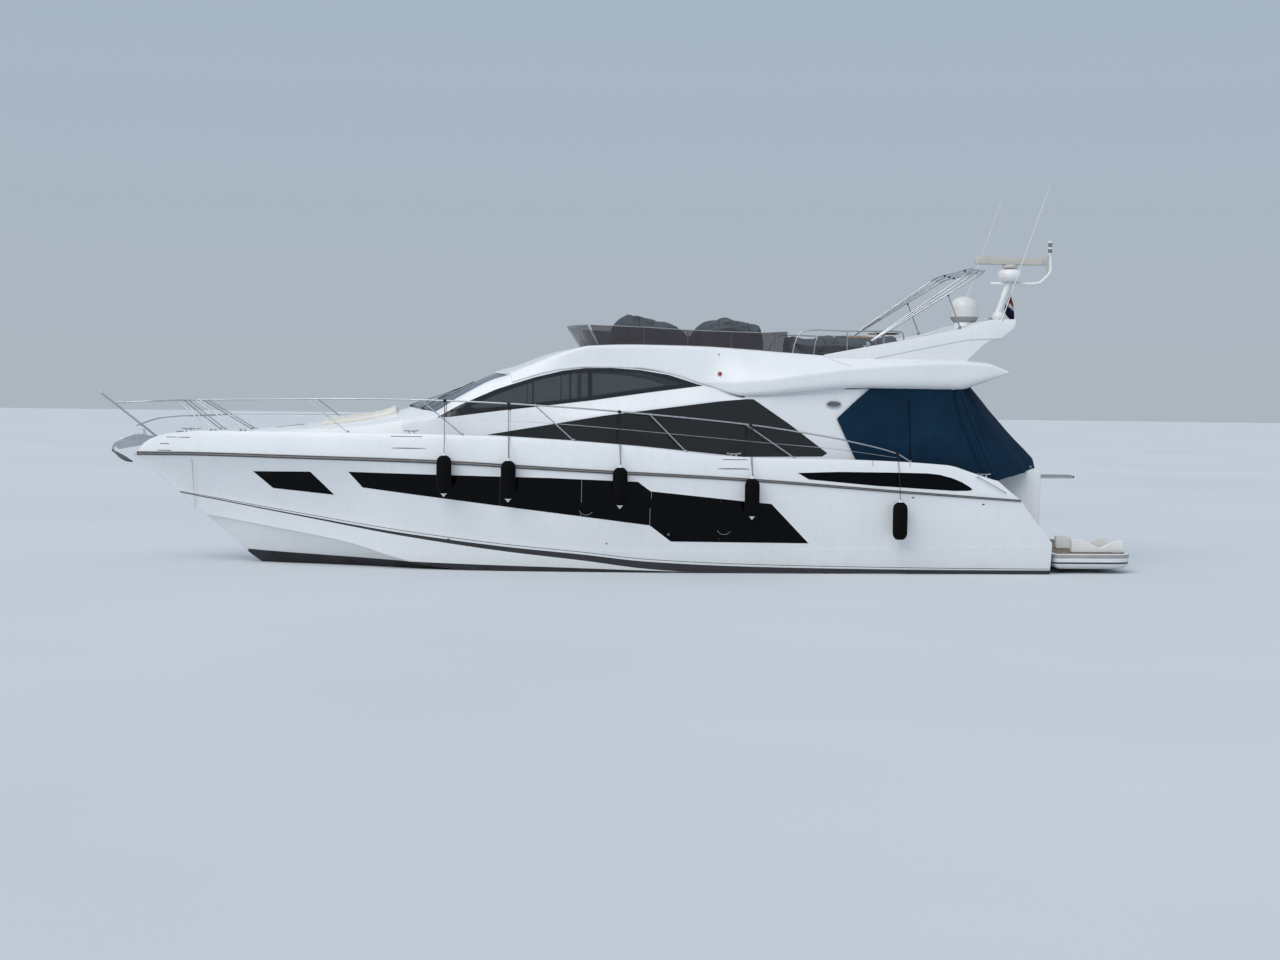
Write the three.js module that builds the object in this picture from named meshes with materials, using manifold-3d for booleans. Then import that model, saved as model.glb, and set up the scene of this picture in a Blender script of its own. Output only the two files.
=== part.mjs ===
// A flybridge motor yacht, 21.8 m over all, afloat with its hi-lo swim platform raised.
// Millimetres. +X points aft, +Y to starboard and +Z up. The origin is at the waterline on the
// centreline, amidships.
import * as THREE from "three";
import { mergeVertices } from "three/addons/utils/BufferGeometryUtils.js";
import Module from "manifold-3d";

const wasm = await Module();
wasm.setup();

// Driving dimensions
const GAP = 0.3; // between pieces that touch
const STEM_X = -10560;
const TRANSOM_X = 8600;
const HALF_BEAM = 2630;
const BOW_RUN = 11500; // length over which the deck line widens to the full beam
const BOW_FULLNESS = 2.6;
const STERN_TAPER = 130;
const BULWARK_THICK = 100;
const WALL = 60; // deckhouse wall
const GLASS = 14;
const SOLE_Z = 1550; // cockpit and saloon floor
const COCKPIT = { x0: 4600, x1: 7350, halfY: 1950 };
const SALOON = { x0: -3300, x1: 4610, halfY: 1750 };
const BULKHEAD = { x0: 4330, x1: 4390, doorHalfY: 520, doorTop: 3480 };
const TRANSOM_BLOCK = { x0: 7350, x1: 8690, halfY: 1250, top: 2150 };
const STAIR = { x0: 7400, y0: 1250, y1: 2080, bottom: 430, steps: 4 };
const GARAGE = { x0: 6900, halfY: 900, z0: 560, z1: 1440 };
const DOOR_THICK = 45;
const FLYBRIDGE_FLOOR = 4300;
const PLATFORM = { x0: 8730, x1: 10480, halfY: 2180, z0: 90, z1: 420 };
const LIFT_ARM = {
  y: 620, x0: 8640, z0: -330, x1: 9560, z1: 30, eyeRadius: 55, pinRadius: 20, shaftEnd: 690, earThick: 24,
};
const PIN_CLEARANCE = 0.3;
const SHAFT = { y: 1100, x0: 4700, z0: -570, x1: 7300, z1: -960, radius: 36 };
const PROP_RADIUS = 370;
const RUDDER = { x: 8020, y: 1100, top: -470, bottom: -1370, chord: 560 };
const TAB = { x0: 8270, x1: 8590, y0: 1280, y1: 1840, thick: 14, knuckle: 12 };
const HATCH = { x0: -7560, x1: -6960, z: 2872, halfY: 300, depth: 45, slope: 6.56 };
const RAIL_RADIUS = 16;
const JACKSTAFF_RADIUS = 22;
const BIMINI = {
  x: 4750, z: 4775, radius: 19, slope: 32, slopeStep: 1.6, legY: 1850, length: 2960, pinRadius: 9,
};
const STRUT = { x: 6700, z: 5140, topX: 6440, topZ: 5795, radius: 14, pinRadius: 7 };
const FLY_RAIL = { y: 1665, top: 5030 };
const RADOME = { x: 7270, seat: 5330, radius: 305, height: 560 };
const MAST_FOOT = { x: 8030, z: 5345 };
const PASSERELLE = { x0: 7650, x1: 8900, y: 1010, z: 1930, halfWidth: 190, reach: 1230 };

// Lines of the hull: rows of [x, value]
const keelLine = through([
  [-10560, 2215], [-9900, 1720], [-9650, 1480], [-9050, 1000], [-8070, 140], [-7500, -230],
  [-7000, -450], [-6000, -720], [-4000, -920], [0, -980], [4000, -900], [8600, -720],
]);
const chineHalf = through([
  [-10560, 8], [-9900, 45], [-9040, 140], [-7790, 640], [-6050, 1260], [-4540, 1720],
  [-2000, 2120], [1500, 2290], [8600, 2250],
]);
const chineHeight = through([
  [-9040, 1010], [-7790, 820], [-6050, 530], [-4540, 130], [-3000, -30], [0, -80], [8600, -60],
]);
const sheerLine = through([
  [-10560, 2280], [-9070, 2300], [-6950, 2280], [-4500, 2240], [-1190, 2090], [2090, 1940],
  [5280, 1720], [8600, 1500],
]);
const bulwarkLine = through([
  [-10560, 2300], [-10260, 2560], [-9850, 2700], [-9080, 2790], [-5960, 2800], [-4500, 2790],
  [-3230, 2770], [-1410, 2690], [-60, 2590], [2050, 2400], [4370, 2365], [6340, 2270],
  [6860, 2120], [7390, 1960], [8600, 1750],
]);
const deckDrop = through([[-10560, 30], [-9900, 160], [-9000, 250], [6000, 250], [8600, 60]]);
const flare = through([[-10560, 0.42], [-7000, 0.36], [-3000, 0.55], [0, 0.64], [8600, 0.66]]);
const hullStations = [
  -10560, -10300, -9850, -9300, -8600, -7700, -6700, -5700, -4500, -3000, -1200, 900, 3000, 5000,
  6300, 7000, 7800, 8600,
];

// Long black window along each side of the hull, as [x, z]
const HULL_WINDOW = [
  [-5970, 2000], [-1890, 1940], [-90, 1880], [170, 1690], [2100, 1500], [2660, 1450], [3470, 630],
  [610, 650], [170, 980], [-1300, 1160], [-2910, 1350], [-5670, 1670],
];
// The topside is cut away aft of the quarter, as [x, z]
const QUARTER_CUT = [
  [7390, 1975], [7580, 1800], [7890, 1550], [8150, 1200], [8580, 690], [8800, 480], [8800, 3000],
  [7300, 3000],
];

// Deckhouse sections: half-breadths and heights of the base, the lower window's head (belt), the
// upper window's sill and head, the roof edge and the crown.
const deckhouseRows = [
  // x, baseY, beltY, beltZ, sillY, sillZ, headY, headZ, edgeY, edgeZ, crownZ
  [-4900, 1500, 1490, 2650, 1470, 2960, 1450, 3000, 1380, 3060, 3280],
  [-4230, 1840, 1830, 2700, 1790, 3095, 1765, 3135, 1710, 3200, 3520],
  [-3750, 1910, 1895, 2760, 1850, 3150, 1800, 3380, 1715, 3510, 3725],
  [-2950, 1990, 1975, 2840, 1905, 3265, 1835, 3730, 1720, 3930, 4075],
  [-2200, 2045, 2030, 2955, 1930, 3360, 1835, 3990, 1720, 4110, 4200],
  [-1600, 2080, 2065, 3070, 1935, 3435, 1830, 4140, 1720, 4190, 4230],
  [-600, 2110, 2095, 3255, 1930, 3570, 1825, 4205, 1720, 4230, 4250],
  [600, 2120, 2100, 3415, 1925, 3740, 1860, 4080, 1760, 4120, 4150],
  [1350, 2120, 2100, 3525, 1940, 3835, 1925, 3855, 1860, 3872, 3880],
  [2200, 2120, 2100, 3600, 2000, 3618, 1980, 3625, 1900, 3630, 3635],
  [3200, 2110, 2090, 3690, 2000, 3708, 1980, 3715, 1900, 3720, 3725],
  [4400, 2100, 2080, 3780, 2000, 3798, 1980, 3805, 1900, 3810, 3815],
];
const UPPER_WINDOW = [
  [-4180, 3120], [-3740, 3370], [-2960, 3720], [-2180, 3975], [-1590, 4120], [-1120, 4180],
  [-600, 4190], [-10, 4155], [590, 4060], [1290, 3845], [200, 3695], [-990, 3515], [-2170, 3365],
  [-2950, 3270], [-3930, 3135],
];
const LOWER_WINDOW = [
  [-3150, 2785], [-760, 3205], [-20, 3305], [1630, 3530], [2210, 3585], [2330, 3580], [3080, 3080],
  [3890, 2480], [3780, 2410], [2120, 2390], [950, 2500], [-10, 2590], [-1380, 2690],
];

// Coachroof ahead of the windscreen: half-breadths, shoulder height and crown
const coachroofRows = [
  // x, baseY, shoulderY, shoulderZ, crownZ
  [-8550, 230, 180, 2680, 2735],
  [-7700, 660, 560, 2770, 2865],
  [-6700, 1010, 880, 2850, 2980],
  [-5700, 1290, 1150, 2920, 3110],
  [-4900.3, 1500, 1380, 3060, 3280],
];

// Flybridge moulding with its brow and the overhang aft
const flybridgeRows = [
  // x, bottomY, bottomZ, creaseY, creaseZ, topY, topZ, crownZ
  [-2950, 1850, 3740, 1800, 3860, 1735, 3975, 4110],
  [-2520, 1852, 3900, 1825, 3960, 1745, 4130, 4230],
  [-1960, 1852, 4070, 1835, 4130, 1755, 4360, 4450],
  [-1550, 1850, 4150, 1830, 4220, 1765, 4520, 4570],
  [-1030, 1845, 4195, 1825, 4270, 1770, 4645, 4655],
  [-80, 1845, 4190, 1830, 4270, 1780, 4680, 4685],
  [600, 1880, 4085, 1880, 4160, 1800, 4675, 4680],
  [1350, 1950, 3860, 1975, 3900, 1820, 4660, 4665],
  [2200, 2170, 3640, 2190, 3940, 1840, 4615, 4620],
  [3260, 2270, 3740, 2290, 4090, 1860, 4545, 4550],
  [4500, 2290, 3835, 2310, 4260, 1890, 4480, 4485],
  [6580, 2240, 3820, 2260, 4390, 1960, 4450, 4455],
  [7180, 2200, 3985, 2220, 4370, 1970, 4420, 4425],
  [7680, 2120, 4185, 2130, 4220, 1970, 4260, 4265],
];
const FLYBRIDGE_WELL = { x0: -930, x1: 7100, halfY: 1640 };

// Wing of the radar arch, as [x, z]
const ARCH_WING = [
  [3800, 4300], [3800, 4520], [5540, 4860], [6900, 5140], [7320, 5300], [7820, 5230], [7860, 5160],
  [7560, 4910], [7370, 4900], [7180, 4770], [6700, 4300],
];
const ARCH_BEAM = [
  [6780, 5090], [7320, 5300], [8260, 5345], [8300, 5300], [8240, 5240], [7560, 5130], [6900, 4990],
];

// Anchor shank as [x, z]: its upper edge going forward, then its lower edge coming back
const ANCHOR_SHANK = [
  [-10200, 2650], [-10500, 2640], [-10790, 2600], [-10930, 2530], [-11010, 2420], [-11010, 2300],
  [-10960, 2300], [-10960, 2410], [-10895, 2490], [-10780, 2545], [-10500, 2595], [-10200, 2610],
];

const ANCHOR_FLUKE = [
  // x, half-breadth, top z, keel x, keel z
  [-11010, 30, 2345, -10990, 2290], [-10800, 170, 2240, -10800, 2140], [-10590, 30, 2110, -10590, 2085],
];

// Guard rail: its top line as [x, z], and its stanchions as [foot x, head x]
const railLine = through([
  [-10930, 3345], [-9270, 3420], [-7800, 3450], [-5320, 3490], [-4010, 3470], [-2710, 3430],
  [-870, 3320], [2190, 3060], [3360, 2900], [4290, 2740], [5270, 2500], [5580, 2330],
]);
const STANCHIONS = [
  [-8850, -9590], [-8210, -9210], [-5970, -6840], [-3640, -4490], [-1390, -2190], [900, 150],
  [3140, 2120],
];
const RAIL_POINTS = [
  -10930, -10600, -10200, -9800, -9200, -8400, -7400, -6200, -4800, -3200, -1400, 400, 2200, 3300,
  4300, 5290, 5560,
];
const FENDERS = [
  // x, top z, bottom z
  [-4010, 2420, 1550], [-2720, 2330, 1460], [-470, 2220, 1350], [2220, 2020, 1150],
  [5290, 1560, 690],
];
const FENDER_RADIUS = 155;

const colours = {
  gelcoat: [0.91, 0.92, 0.93, 0.22, 0],
  black: [0.02, 0.022, 0.026, 0.12, 0],
  smoke: [0.05, 0.055, 0.06, 0.1, 0],
  steel: [0.72, 0.73, 0.75, 0.2, 1],
  bronze: [0.62, 0.47, 0.26, 0.35, 1],
  navy: [0.1, 0.2, 0.33, 0.85, 0],
  grey: [0.33, 0.36, 0.42, 0.9, 0],
  white: [0.9, 0.9, 0.88, 0.35, 0],
  teak: [0.55, 0.4, 0.26, 0.7, 0],
  cushion: [0.86, 0.84, 0.79, 0.85, 0],
};

// A smooth function through rows of [x, value] that never overshoots them.
function through(rows) {
  const slope = rows.slice(1).map(([x, v], i) => (v - rows[i][1]) / (x - rows[i][0]));
  const tangent = rows.map((row, i) => {
    if (i === 0) return slope[0];
    if (i === rows.length - 1) return slope[i - 1];
    const [before, after] = [slope[i - 1], slope[i]];
    return before * after <= 0 ? 0 : (2 * before * after) / (before + after);
  });
  return (x) => {
    if (x <= rows[0][0]) return rows[0][1];
    if (x >= rows[rows.length - 1][0]) return rows[rows.length - 1][1];
    let i = 0;
    while (x > rows[i + 1][0]) i += 1;
    const span = rows[i + 1][0] - rows[i][0];
    const t = (x - rows[i][0]) / span;
    const start = rows[i][1] + t * t * (3 - 2 * t) * (rows[i + 1][1] - rows[i][1]);
    const lead = t * (1 - t) * (1 - t) * span * tangent[i];
    const tail = t * t * (t - 1) * span * tangent[i + 1];
    return start + lead + tail;
  };
}

// Solids from three.js geometry
function solid(geometry) {
  const bare = geometry.clone();
  bare.deleteAttribute("normal");
  bare.deleteAttribute("uv");
  const merged = mergeVertices(bare, 1e-3);
  return new wasm.Manifold(
    new wasm.Mesh({
      numProp: 3,
      vertProperties: merged.attributes.position.array,
      triVerts: new Uint32Array(merged.index.array),
    }),
  );
}

function geometryOf(made) {
  const mesh = made.getMesh();
  const points = new Float32Array(mesh.numVert * 3);
  for (let i = 0; i < mesh.numVert; i += 1) {
    points.set(mesh.vertProperties.subarray(i * mesh.numProp, i * mesh.numProp + 3), i * 3);
  }
  const geometry = new THREE.BufferGeometry();
  geometry.setAttribute("position", new THREE.BufferAttribute(points, 3));
  geometry.setIndex(new THREE.BufferAttribute(new Uint32Array(mesh.triVerts), 1));
  geometry.computeVertexNormals();
  return geometry;
}

// A closed skin over rings of equal length, capped at both ends. Each ring is a list of Vector3.
// The caps are flat when seen along the given axis.
function loft(rings, axis = "x") {
  const count = rings[0].length;
  const flat = (p) => (axis === "x" ? new THREE.Vector2(p.y, p.z) : new THREE.Vector2(p.x, p.y));
  const triangles = [];
  rings.slice(1).forEach((_, i) => {
    for (let j = 0; j < count; j += 1) {
      const k = (j + 1) % count;
      const [a, b, c, d] = [i * count + j, i * count + k, (i + 1) * count + k, (i + 1) * count + j];
      triangles.push([a, b, c], [a, c, d]);
    }
  });
  const cap = (ring, base, reversed) => {
    const contour = ring.map(flat);
    const turn = Math.sign(THREE.ShapeUtils.area(contour));
    THREE.ShapeUtils.triangulateShape(contour, []).forEach(([a, b, c]) => {
      const sameWay = Math.sign(THREE.ShapeUtils.area([contour[a], contour[b], contour[c]])) === turn;
      const forward = sameWay !== reversed;
      triangles.push(forward ? [base + a, base + b, base + c] : [base + a, base + c, base + b]);
    });
  };
  cap(rings[0], 0, true);
  cap(rings[rings.length - 1], (rings.length - 1) * count, false);
  const points = rings.flat();
  const volume = triangles.reduce(
    (sum, [a, b, c]) => sum + points[a].dot(points[b].clone().cross(points[c])),
    0,
  );
  const index = triangles.flatMap(([a, b, c]) => (volume < 0 ? [a, c, b] : [a, b, c]));
  const geometry = new THREE.BufferGeometry().setFromPoints(points);
  geometry.setIndex(index);
  return solid(geometry);
}

// A ring symmetric about the centreline, from half of it: [y, z] pairs that start and end at y = 0.
function symmetricRing(x, half) {
  const starboard = half.map(([y, z]) => new THREE.Vector3(x, y, z));
  const port = half.slice(1, -1).reverse().map(([y, z]) => new THREE.Vector3(x, -y, z));
  return [...starboard, ...port];
}

function outline(points) {
  return new THREE.Shape(points.map(([u, v]) => new THREE.Vector2(u, v)));
}

// A prism on an outline of [x, z] points, from y0 to y1
function prismXZ(points, y0, y1) {
  const geometry = new THREE.ExtrudeGeometry(outline(points), { depth: y1 - y0, bevelEnabled: false });
  return solid(geometry.rotateX(Math.PI / 2).translate(0, y1, 0));
}

// A prism on an outline of [x, y] points, from z0 to z1
function prismXY(points, z0, z1) {
  const geometry = new THREE.ExtrudeGeometry(outline(points), { depth: z1 - z0, bevelEnabled: false });
  return solid(geometry.translate(0, 0, z0));
}

function box(x0, x1, y0, y1, z0, z1) {
  const geometry = new THREE.BoxGeometry(x1 - x0, y1 - y0, z1 - z0);
  return solid(geometry.translate((x0 + x1) / 2, (y0 + y1) / 2, (z0 + z1) / 2));
}

// A round bar between two points
function bar(from, to, radius, sides = 10, endRadius = radius) {
  const a = new THREE.Vector3(...from);
  const b = new THREE.Vector3(...to);
  const along = b.clone().sub(a);
  const geometry = new THREE.CylinderGeometry(endRadius, radius, along.length(), sides);
  const turn = new THREE.Quaternion();
  turn.setFromUnitVectors(new THREE.Vector3(0, 1, 0), along.clone().normalize());
  geometry.applyQuaternion(turn);
  const middle = a.add(b).multiplyScalar(0.5);
  return solid(geometry.translate(middle.x, middle.y, middle.z));
}

// A tube along a smooth curve through points
function tube(points, radius, steps, sides = 6) {
  const path = new THREE.CatmullRomCurve3(points.map((p) => new THREE.Vector3(...p)), false, "centripetal");
  const section = new THREE.Shape();
  section.absarc(0, 0, radius, 0, 2 * Math.PI);
  const settings = { steps, extrudePath: path, bevelEnabled: false, curveSegments: sides / 2 };
  return solid(new THREE.ExtrudeGeometry(section, settings));
}

// A hole along Y for a round pin, with running clearance
function pinHole(x, y, z, halfLength, pinRadius) {
  const sides = 12;
  const radius = (pinRadius + PIN_CLEARANCE) / Math.cos(Math.PI / sides);
  return bar([x, y - halfLength, z], [x, y + halfLength, z], radius, sides);
}

function joined(solids) {
  return solids.reduce((sum, next) => sum.add(next));
}

const mirrored = (made) => made.mirror([0, 1, 0]);
const degrees = (value) => (value * Math.PI) / 180;

// Half-breadth of the deck line at x
function sheerHalf(x) {
  const u = Math.min(Math.max((x - STEM_X + 40) / BOW_RUN, 0), 1);
  const taper = STERN_TAPER * Math.max(0, x / TRANSOM_X) ** 2;
  return HALF_BEAM * (1 - (1 - u) ** BOW_FULLNESS) - taper;
}

function bulwarkHalf(x) {
  return sheerHalf(x) - Math.min(70, 0.3 * sheerHalf(x));
}

const deckHeight = (x) => bulwarkLine(x) - deckDrop(x);

// Hull section at x with its skin set in by the given amount
function hullHalfSection(x, inset) {
  const keel = keelLine(x);
  const chineZ = Math.max(chineHeight(x), keel + 30);
  const chineY = Math.min(chineHalf(x), 0.9 * sheerHalf(x));
  const sheerZ = Math.max(sheerLine(x), keel + 50);
  const topY = bulwarkHalf(x);
  const innerY = Math.max(topY - BULWARK_THICK, 0.5 * topY);
  const middle = [chineY + flare(x) * (sheerHalf(x) - chineY), (chineZ + sheerZ) / 2];
  const flat = [chineY - Math.min(60, 0.3 * chineY), chineZ - 8];
  const skin = [flat, [chineY, chineZ], middle, [sheerHalf(x), sheerZ]];
  const inside = skin.map(([y, z]) => [Math.max(y - inset, 2), z]);
  const top = [
    [Math.max(topY - inset, 2), bulwarkLine(x)],
    [innerY - inset * 0.5, bulwarkLine(x)],
    [Math.max(innerY - 20 - inset * 0.5, 1), deckHeight(x)],
    [0, deckHeight(x)],
  ];
  return [[0, keel], ...inside, ...top];
}

function hullLoft(inset = 0) {
  return loft(hullStations.map((x) => symmetricRing(x, hullHalfSection(x, inset))));
}

function stairs() {
  const rise = (SOLE_Z - STAIR.bottom) / (STAIR.steps + 1);
  const run = (TRANSOM_X - STAIR.x0) / (STAIR.steps + 0.5);
  const steps = [];
  for (let i = 0; i < STAIR.steps; i += 1) {
    const top = SOLE_Z - rise * (i + 1);
    const x0 = STAIR.x0 + run * i;
    steps.push(box(x0 - 5, x0 + run, STAIR.y0 - 5, STAIR.y1 + 5, STAIR.bottom - 5, top));
  }
  return joined(steps);
}

const SHAFT_AXIS = new THREE.Vector3(SHAFT.x1 - SHAFT.x0, 0, SHAFT.z1 - SHAFT.z0).normalize();
function shaftPoint(x, side) {
  const t = (x - SHAFT.x0) / (SHAFT.x1 - SHAFT.x0);
  return [x, side * SHAFT.y, SHAFT.z0 + t * (SHAFT.z1 - SHAFT.z0)];
}

// Starboard shaft boss, rudder boss and bearing ear of the lift shaft
function underwaterFittings() {
  const shaftBoss = bar(shaftPoint(4200, 1), shaftPoint(SHAFT.x0, 1), 75, 16);
  const rudderBoss = bar([RUDDER.x, RUDDER.y, -200], [RUDDER.x, RUDDER.y, RUDDER.top], 85, 16);
  const { x0, z0, shaftEnd, earThick } = LIFT_ARM;
  const ear = box(TRANSOM_X - 100, x0 + 55, shaftEnd, shaftEnd + earThick, z0 - 60, z0 + 60);
  return joined([shaftBoss, rudderBoss, ear]);
}

function hull() {
  const block = TRANSOM_BLOCK;
  let made = hullLoft().subtract(prismXZ(QUARTER_CUT, -3000, 3000));
  made = made.subtract(box(COCKPIT.x0, COCKPIT.x1 + 100, -COCKPIT.halfY, COCKPIT.halfY, SOLE_Z, 3500));
  made = made.subtract(box(SALOON.x0, SALOON.x1, -SALOON.halfY, SALOON.halfY, SOLE_Z, 3500));
  const well = box(STAIR.x0, 9000, STAIR.y0, STAIR.y1, STAIR.bottom, 3500);
  made = made.subtract(well).subtract(mirrored(well));
  made = made.add(stairs()).add(mirrored(stairs()));
  const profile = [
    [block.x0, 1200], [block.x0, 2000], [block.x0 + 200, block.top], [block.x1 - 40, block.top],
    [block.x1, block.top - 60], [TRANSOM_X + 60, 460], [TRANSOM_X - 60, 400], [TRANSOM_X - 400, 400],
  ];
  made = made.add(prismXZ(profile, -block.halfY, block.halfY));
  const lip = 35;
  const [insideY, low, high] = [GARAGE.halfY - lip, GARAGE.z0 + lip, GARAGE.z1 - lip];
  made = made.subtract(box(GARAGE.x0, TRANSOM_BLOCK.x1 + 50, -insideY, insideY, low, high));
  const rebate = garageDoorProfile(GARAGE.z0, GARAGE.z1, GAP, 300);
  made = made.subtract(prismXZ(rebate, -GARAGE.halfY, GARAGE.halfY)).subtract(passerelleCase(GAP));
  made = made.add(underwaterFittings()).add(mirrored(underwaterFittings()));
  const pocket = box(TAB.x0 - TAB.knuckle / 2 - GAP, 8700, TAB.y0 - 20, TAB.y1 + 20, -1000, -110);
  made = made.subtract(pocket).subtract(mirrored(pocket));
  const recess = prismXZ(HULL_WINDOW, -3000, -1000).subtract(hullLoft(30));
  return made.subtract(recess).subtract(mirrored(recess));
}

function hullWindow() {
  const pane = prismXZ(grown(HULL_WINDOW, -GAP), -3000, -1000);
  return pane.intersect(hullLoft(8)).subtract(hullLoft(30 - GAP));
}

// An outline moved outwards by a distance, or inwards if that is negative
function grown(points, distance) {
  const area = THREE.ShapeUtils.area(points.map(([u, v]) => new THREE.Vector2(u, v)));
  const turn = Math.sign(area);
  return points.map((p, i) => {
    const before = points[(i + points.length - 1) % points.length];
    const after = points[(i + 1) % points.length];
    const normal = ([u0, v0], [u1, v1]) => {
      const length = Math.hypot(u1 - u0, v1 - v0);
      return [(turn * (v1 - v0)) / length, (-turn * (u1 - u0)) / length];
    };
    const [n, m] = [normal(before, p), normal(p, after)];
    const scale = distance / (1 + n[0] * m[0] + n[1] * m[1]);
    return [p[0] + (n[0] + m[0]) * scale, p[1] + (n[1] + m[1]) * scale];
  });
}

function deckhouseLoft(inset) {
  const rings = deckhouseRows.map((row) => {
    const [x, baseY, beltY, beltZ, sillY, sillZ, headY, headZ, edgeY, edgeZ, crownZ] = row;
    const base = deckHeight(x) - 150;
    const half = [
      [0, base], [baseY - inset, base], [beltY - inset, beltZ - 0.3 * inset],
      [sillY - inset, sillZ - 0.5 * inset], [headY - inset, headZ - 0.5 * inset],
      [edgeY - inset, edgeZ - inset], [0, crownZ - inset],
    ];
    return symmetricRing(x + (x < -4800 ? inset * 0.7 : 0), half);
  });
  return loft(rings);
}

// Plan of the windscreen glass as [x, y], between its lower and upper edges
function windscreenPlan(margin) {
  const lower = (y) => -4760 + 560 * (y / 1650) ** 2;
  const upper = (y) => -2960 + 400 * (y / 1650) ** 2;
  const steps = [-1, -0.66, -0.33, 0, 0.33, 0.66, 1];
  const half = 1600;
  const first = steps.map((t) => [lower(t * half), t * half]);
  const second = steps.map((t) => [upper(t * half), t * half]).reverse();
  return grown([...first, ...second], margin);
}

function deckhouse(onDeck) {
  const inner = deckhouseLoft(WALL).add(box(4300, 4500, -2020, 2020, 1500, 3700));
  let made = deckhouseLoft(0).subtract(inner).subtract(onDeck);
  for (const window of [UPPER_WINDOW, LOWER_WINDOW]) {
    const hole = prismXZ(window, -2600, -1500);
    made = made.subtract(hole).subtract(mirrored(hole));
  }
  return made.subtract(prismXY(windscreenPlan(0), 3000, 4300));
}

function sideGlass(window) {
  const skin = deckhouseLoft(8).subtract(deckhouseLoft(8 + GLASS));
  return prismXZ(grown(window, -GAP), -2600, -1500).intersect(skin);
}

function windscreen() {
  const skin = deckhouseLoft(8).subtract(deckhouseLoft(8 + GLASS));
  return prismXY(windscreenPlan(-GAP), 3000, 4300).intersect(skin);
}

function coachroof(onDeck) {
  const rings = coachroofRows.map(([x, baseY, shoulderY, shoulderZ, crownZ]) => {
    const base = deckHeight(x) - 100;
    return symmetricRing(x, [[0, base], [baseY, base], [shoulderY, shoulderZ], [0, crownZ]]);
  });
  return loft(rings).subtract(onDeck).subtract(hatchBlock(0, 0, 400));
}

// The foredeck hatch lies in a pocket of the coachroof, which slopes up going aft
function hatchBlock(edge, bottom, top) {
  const length = HATCH.x1 - HATCH.x0;
  const block = box(edge, length - edge, edge - HATCH.halfY, HATCH.halfY - edge, bottom - HATCH.depth, top);
  return block.rotate([0, -HATCH.slope, 0]).translate([HATCH.x0, 0, HATCH.z]);
}

function flybridge(aroundDeckhouse) {
  const rings = flybridgeRows.map(([x, bottomY, bottomZ, creaseY, creaseZ, topY, topZ, crownZ]) => {
    const half = [[0, bottomZ], [bottomY, bottomZ], [creaseY, creaseZ], [topY, topZ], [0, crownZ]];
    return symmetricRing(x, half);
  });
  const well = FLYBRIDGE_WELL;
  const ahead = windscreenPlan(0).slice(7).map(([x, y]) => [x + GAP, y * 1.25]);
  const front = [...ahead, [-3500, -2200], [-3500, 2200]];
  const made = loft(rings).subtract(aroundDeckhouse).subtract(prismXY(front, 3500, 4600));
  const wellBox = box(well.x0, well.x1, -well.halfY, well.halfY, FLYBRIDGE_FLOOR, 5200);
  return made.subtract(wellBox);
}

function radarArch(aboveFlybridge) {
  const wing = prismXZ(ARCH_WING, -1940, -1800);
  const beam = prismXZ(ARCH_BEAM, -1880, 1880);
  const plan = [
    [6000, -2000], [7860, -2000], [8120, -1200], [8300, -600], [8300, 600], [8120, 1200],
    [7860, 2000], [6000, 2000],
  ];
  const spread = beam.intersect(prismXY(plan, 4500, 6000));
  const whip = bar([7560, -1870, 5230], [8580, -1870, 8200], 14, 6, 6);
  const y = BIMINI.legY;
  const ear = (at) => box(STRUT.x - 30, STRUT.x + 30, at - 5, at + 5, STRUT.z - 90, STRUT.z + 30);
  const pin = bar([STRUT.x, -y - 30, STRUT.z], [STRUT.x, -y + 30, STRUT.z], STRUT.pinRadius, 8);
  const side = joined([wing, whip, ear(-y - 28), ear(-y + 28), pin]);
  const rise = RADOME.seat - 5150;
  const plinth = lathed([[0, 0], [235, 0], [215, rise], [0, rise]], 16, RADOME.x, 0, 5150);
  return joined([spread, side, mirrored(side), plinth]).subtract(aboveFlybridge);
}

function windDeflector() {
  const edge = (t, thick) => [-1120 + 280 * t * t + thick, 1480 * t];
  const steps = [-1, -0.7, -0.35, 0, 0.35, 0.7, 1];
  const ring = (z, lean) => [
    ...steps.map((t) => new THREE.Vector3(edge(t, 0)[0] + lean, edge(t, 0)[1], z)),
    ...steps.map((t) => new THREE.Vector3(edge(t, 14)[0] + lean, edge(t, 14)[1], z)).reverse(),
  ];
  return loft([ring(4640, 0), ring(5090, -300)], "z");
}

// Soft covers over the helm console, the helm seats and the sofa on the flybridge, as [x, z]
const CONSOLE_COVER = [
  [-700, 0], [-480, 4900], [-160, 5360], [260, 5270], [750, 5220], [950, 5080], [1180, 4880],
  [1230, 0],
];
const SEAT_COVER = [
  [1290, 0], [1330, 4880], [1420, 5070], [1640, 5230], [1930, 5320], [2650, 5170], [2720, 0],
];
const SOFA_COVER = [[3300, 0], [3360, 4960], [5660, 5000], [5800, 0]];
function softCover(points, halfY) {
  const floor = FLYBRIDGE_FLOOR + GAP;
  return prismXZ(points.map(([x, z]) => [x, z || floor]), -halfY, halfY);
}

function flybridgeRail(aboveFlybridge) {
  const y = -FLY_RAIL.y;
  const top = FLY_RAIL.top;
  const line = [
    [3180, y, 4480], [3260, y, 4800], [3370, y, 4985], [3520, y, top], [4400, y, top], [5480, y, top],
  ];
  const rail = tube(line, 15, 14, 6);
  const posts = [3950, 4700, 5450].map((x) => bar([x, y, 4350], [x, y, top], 12, 8));
  return joined([rail, ...posts]).subtract(aboveFlybridge);
}

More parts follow.
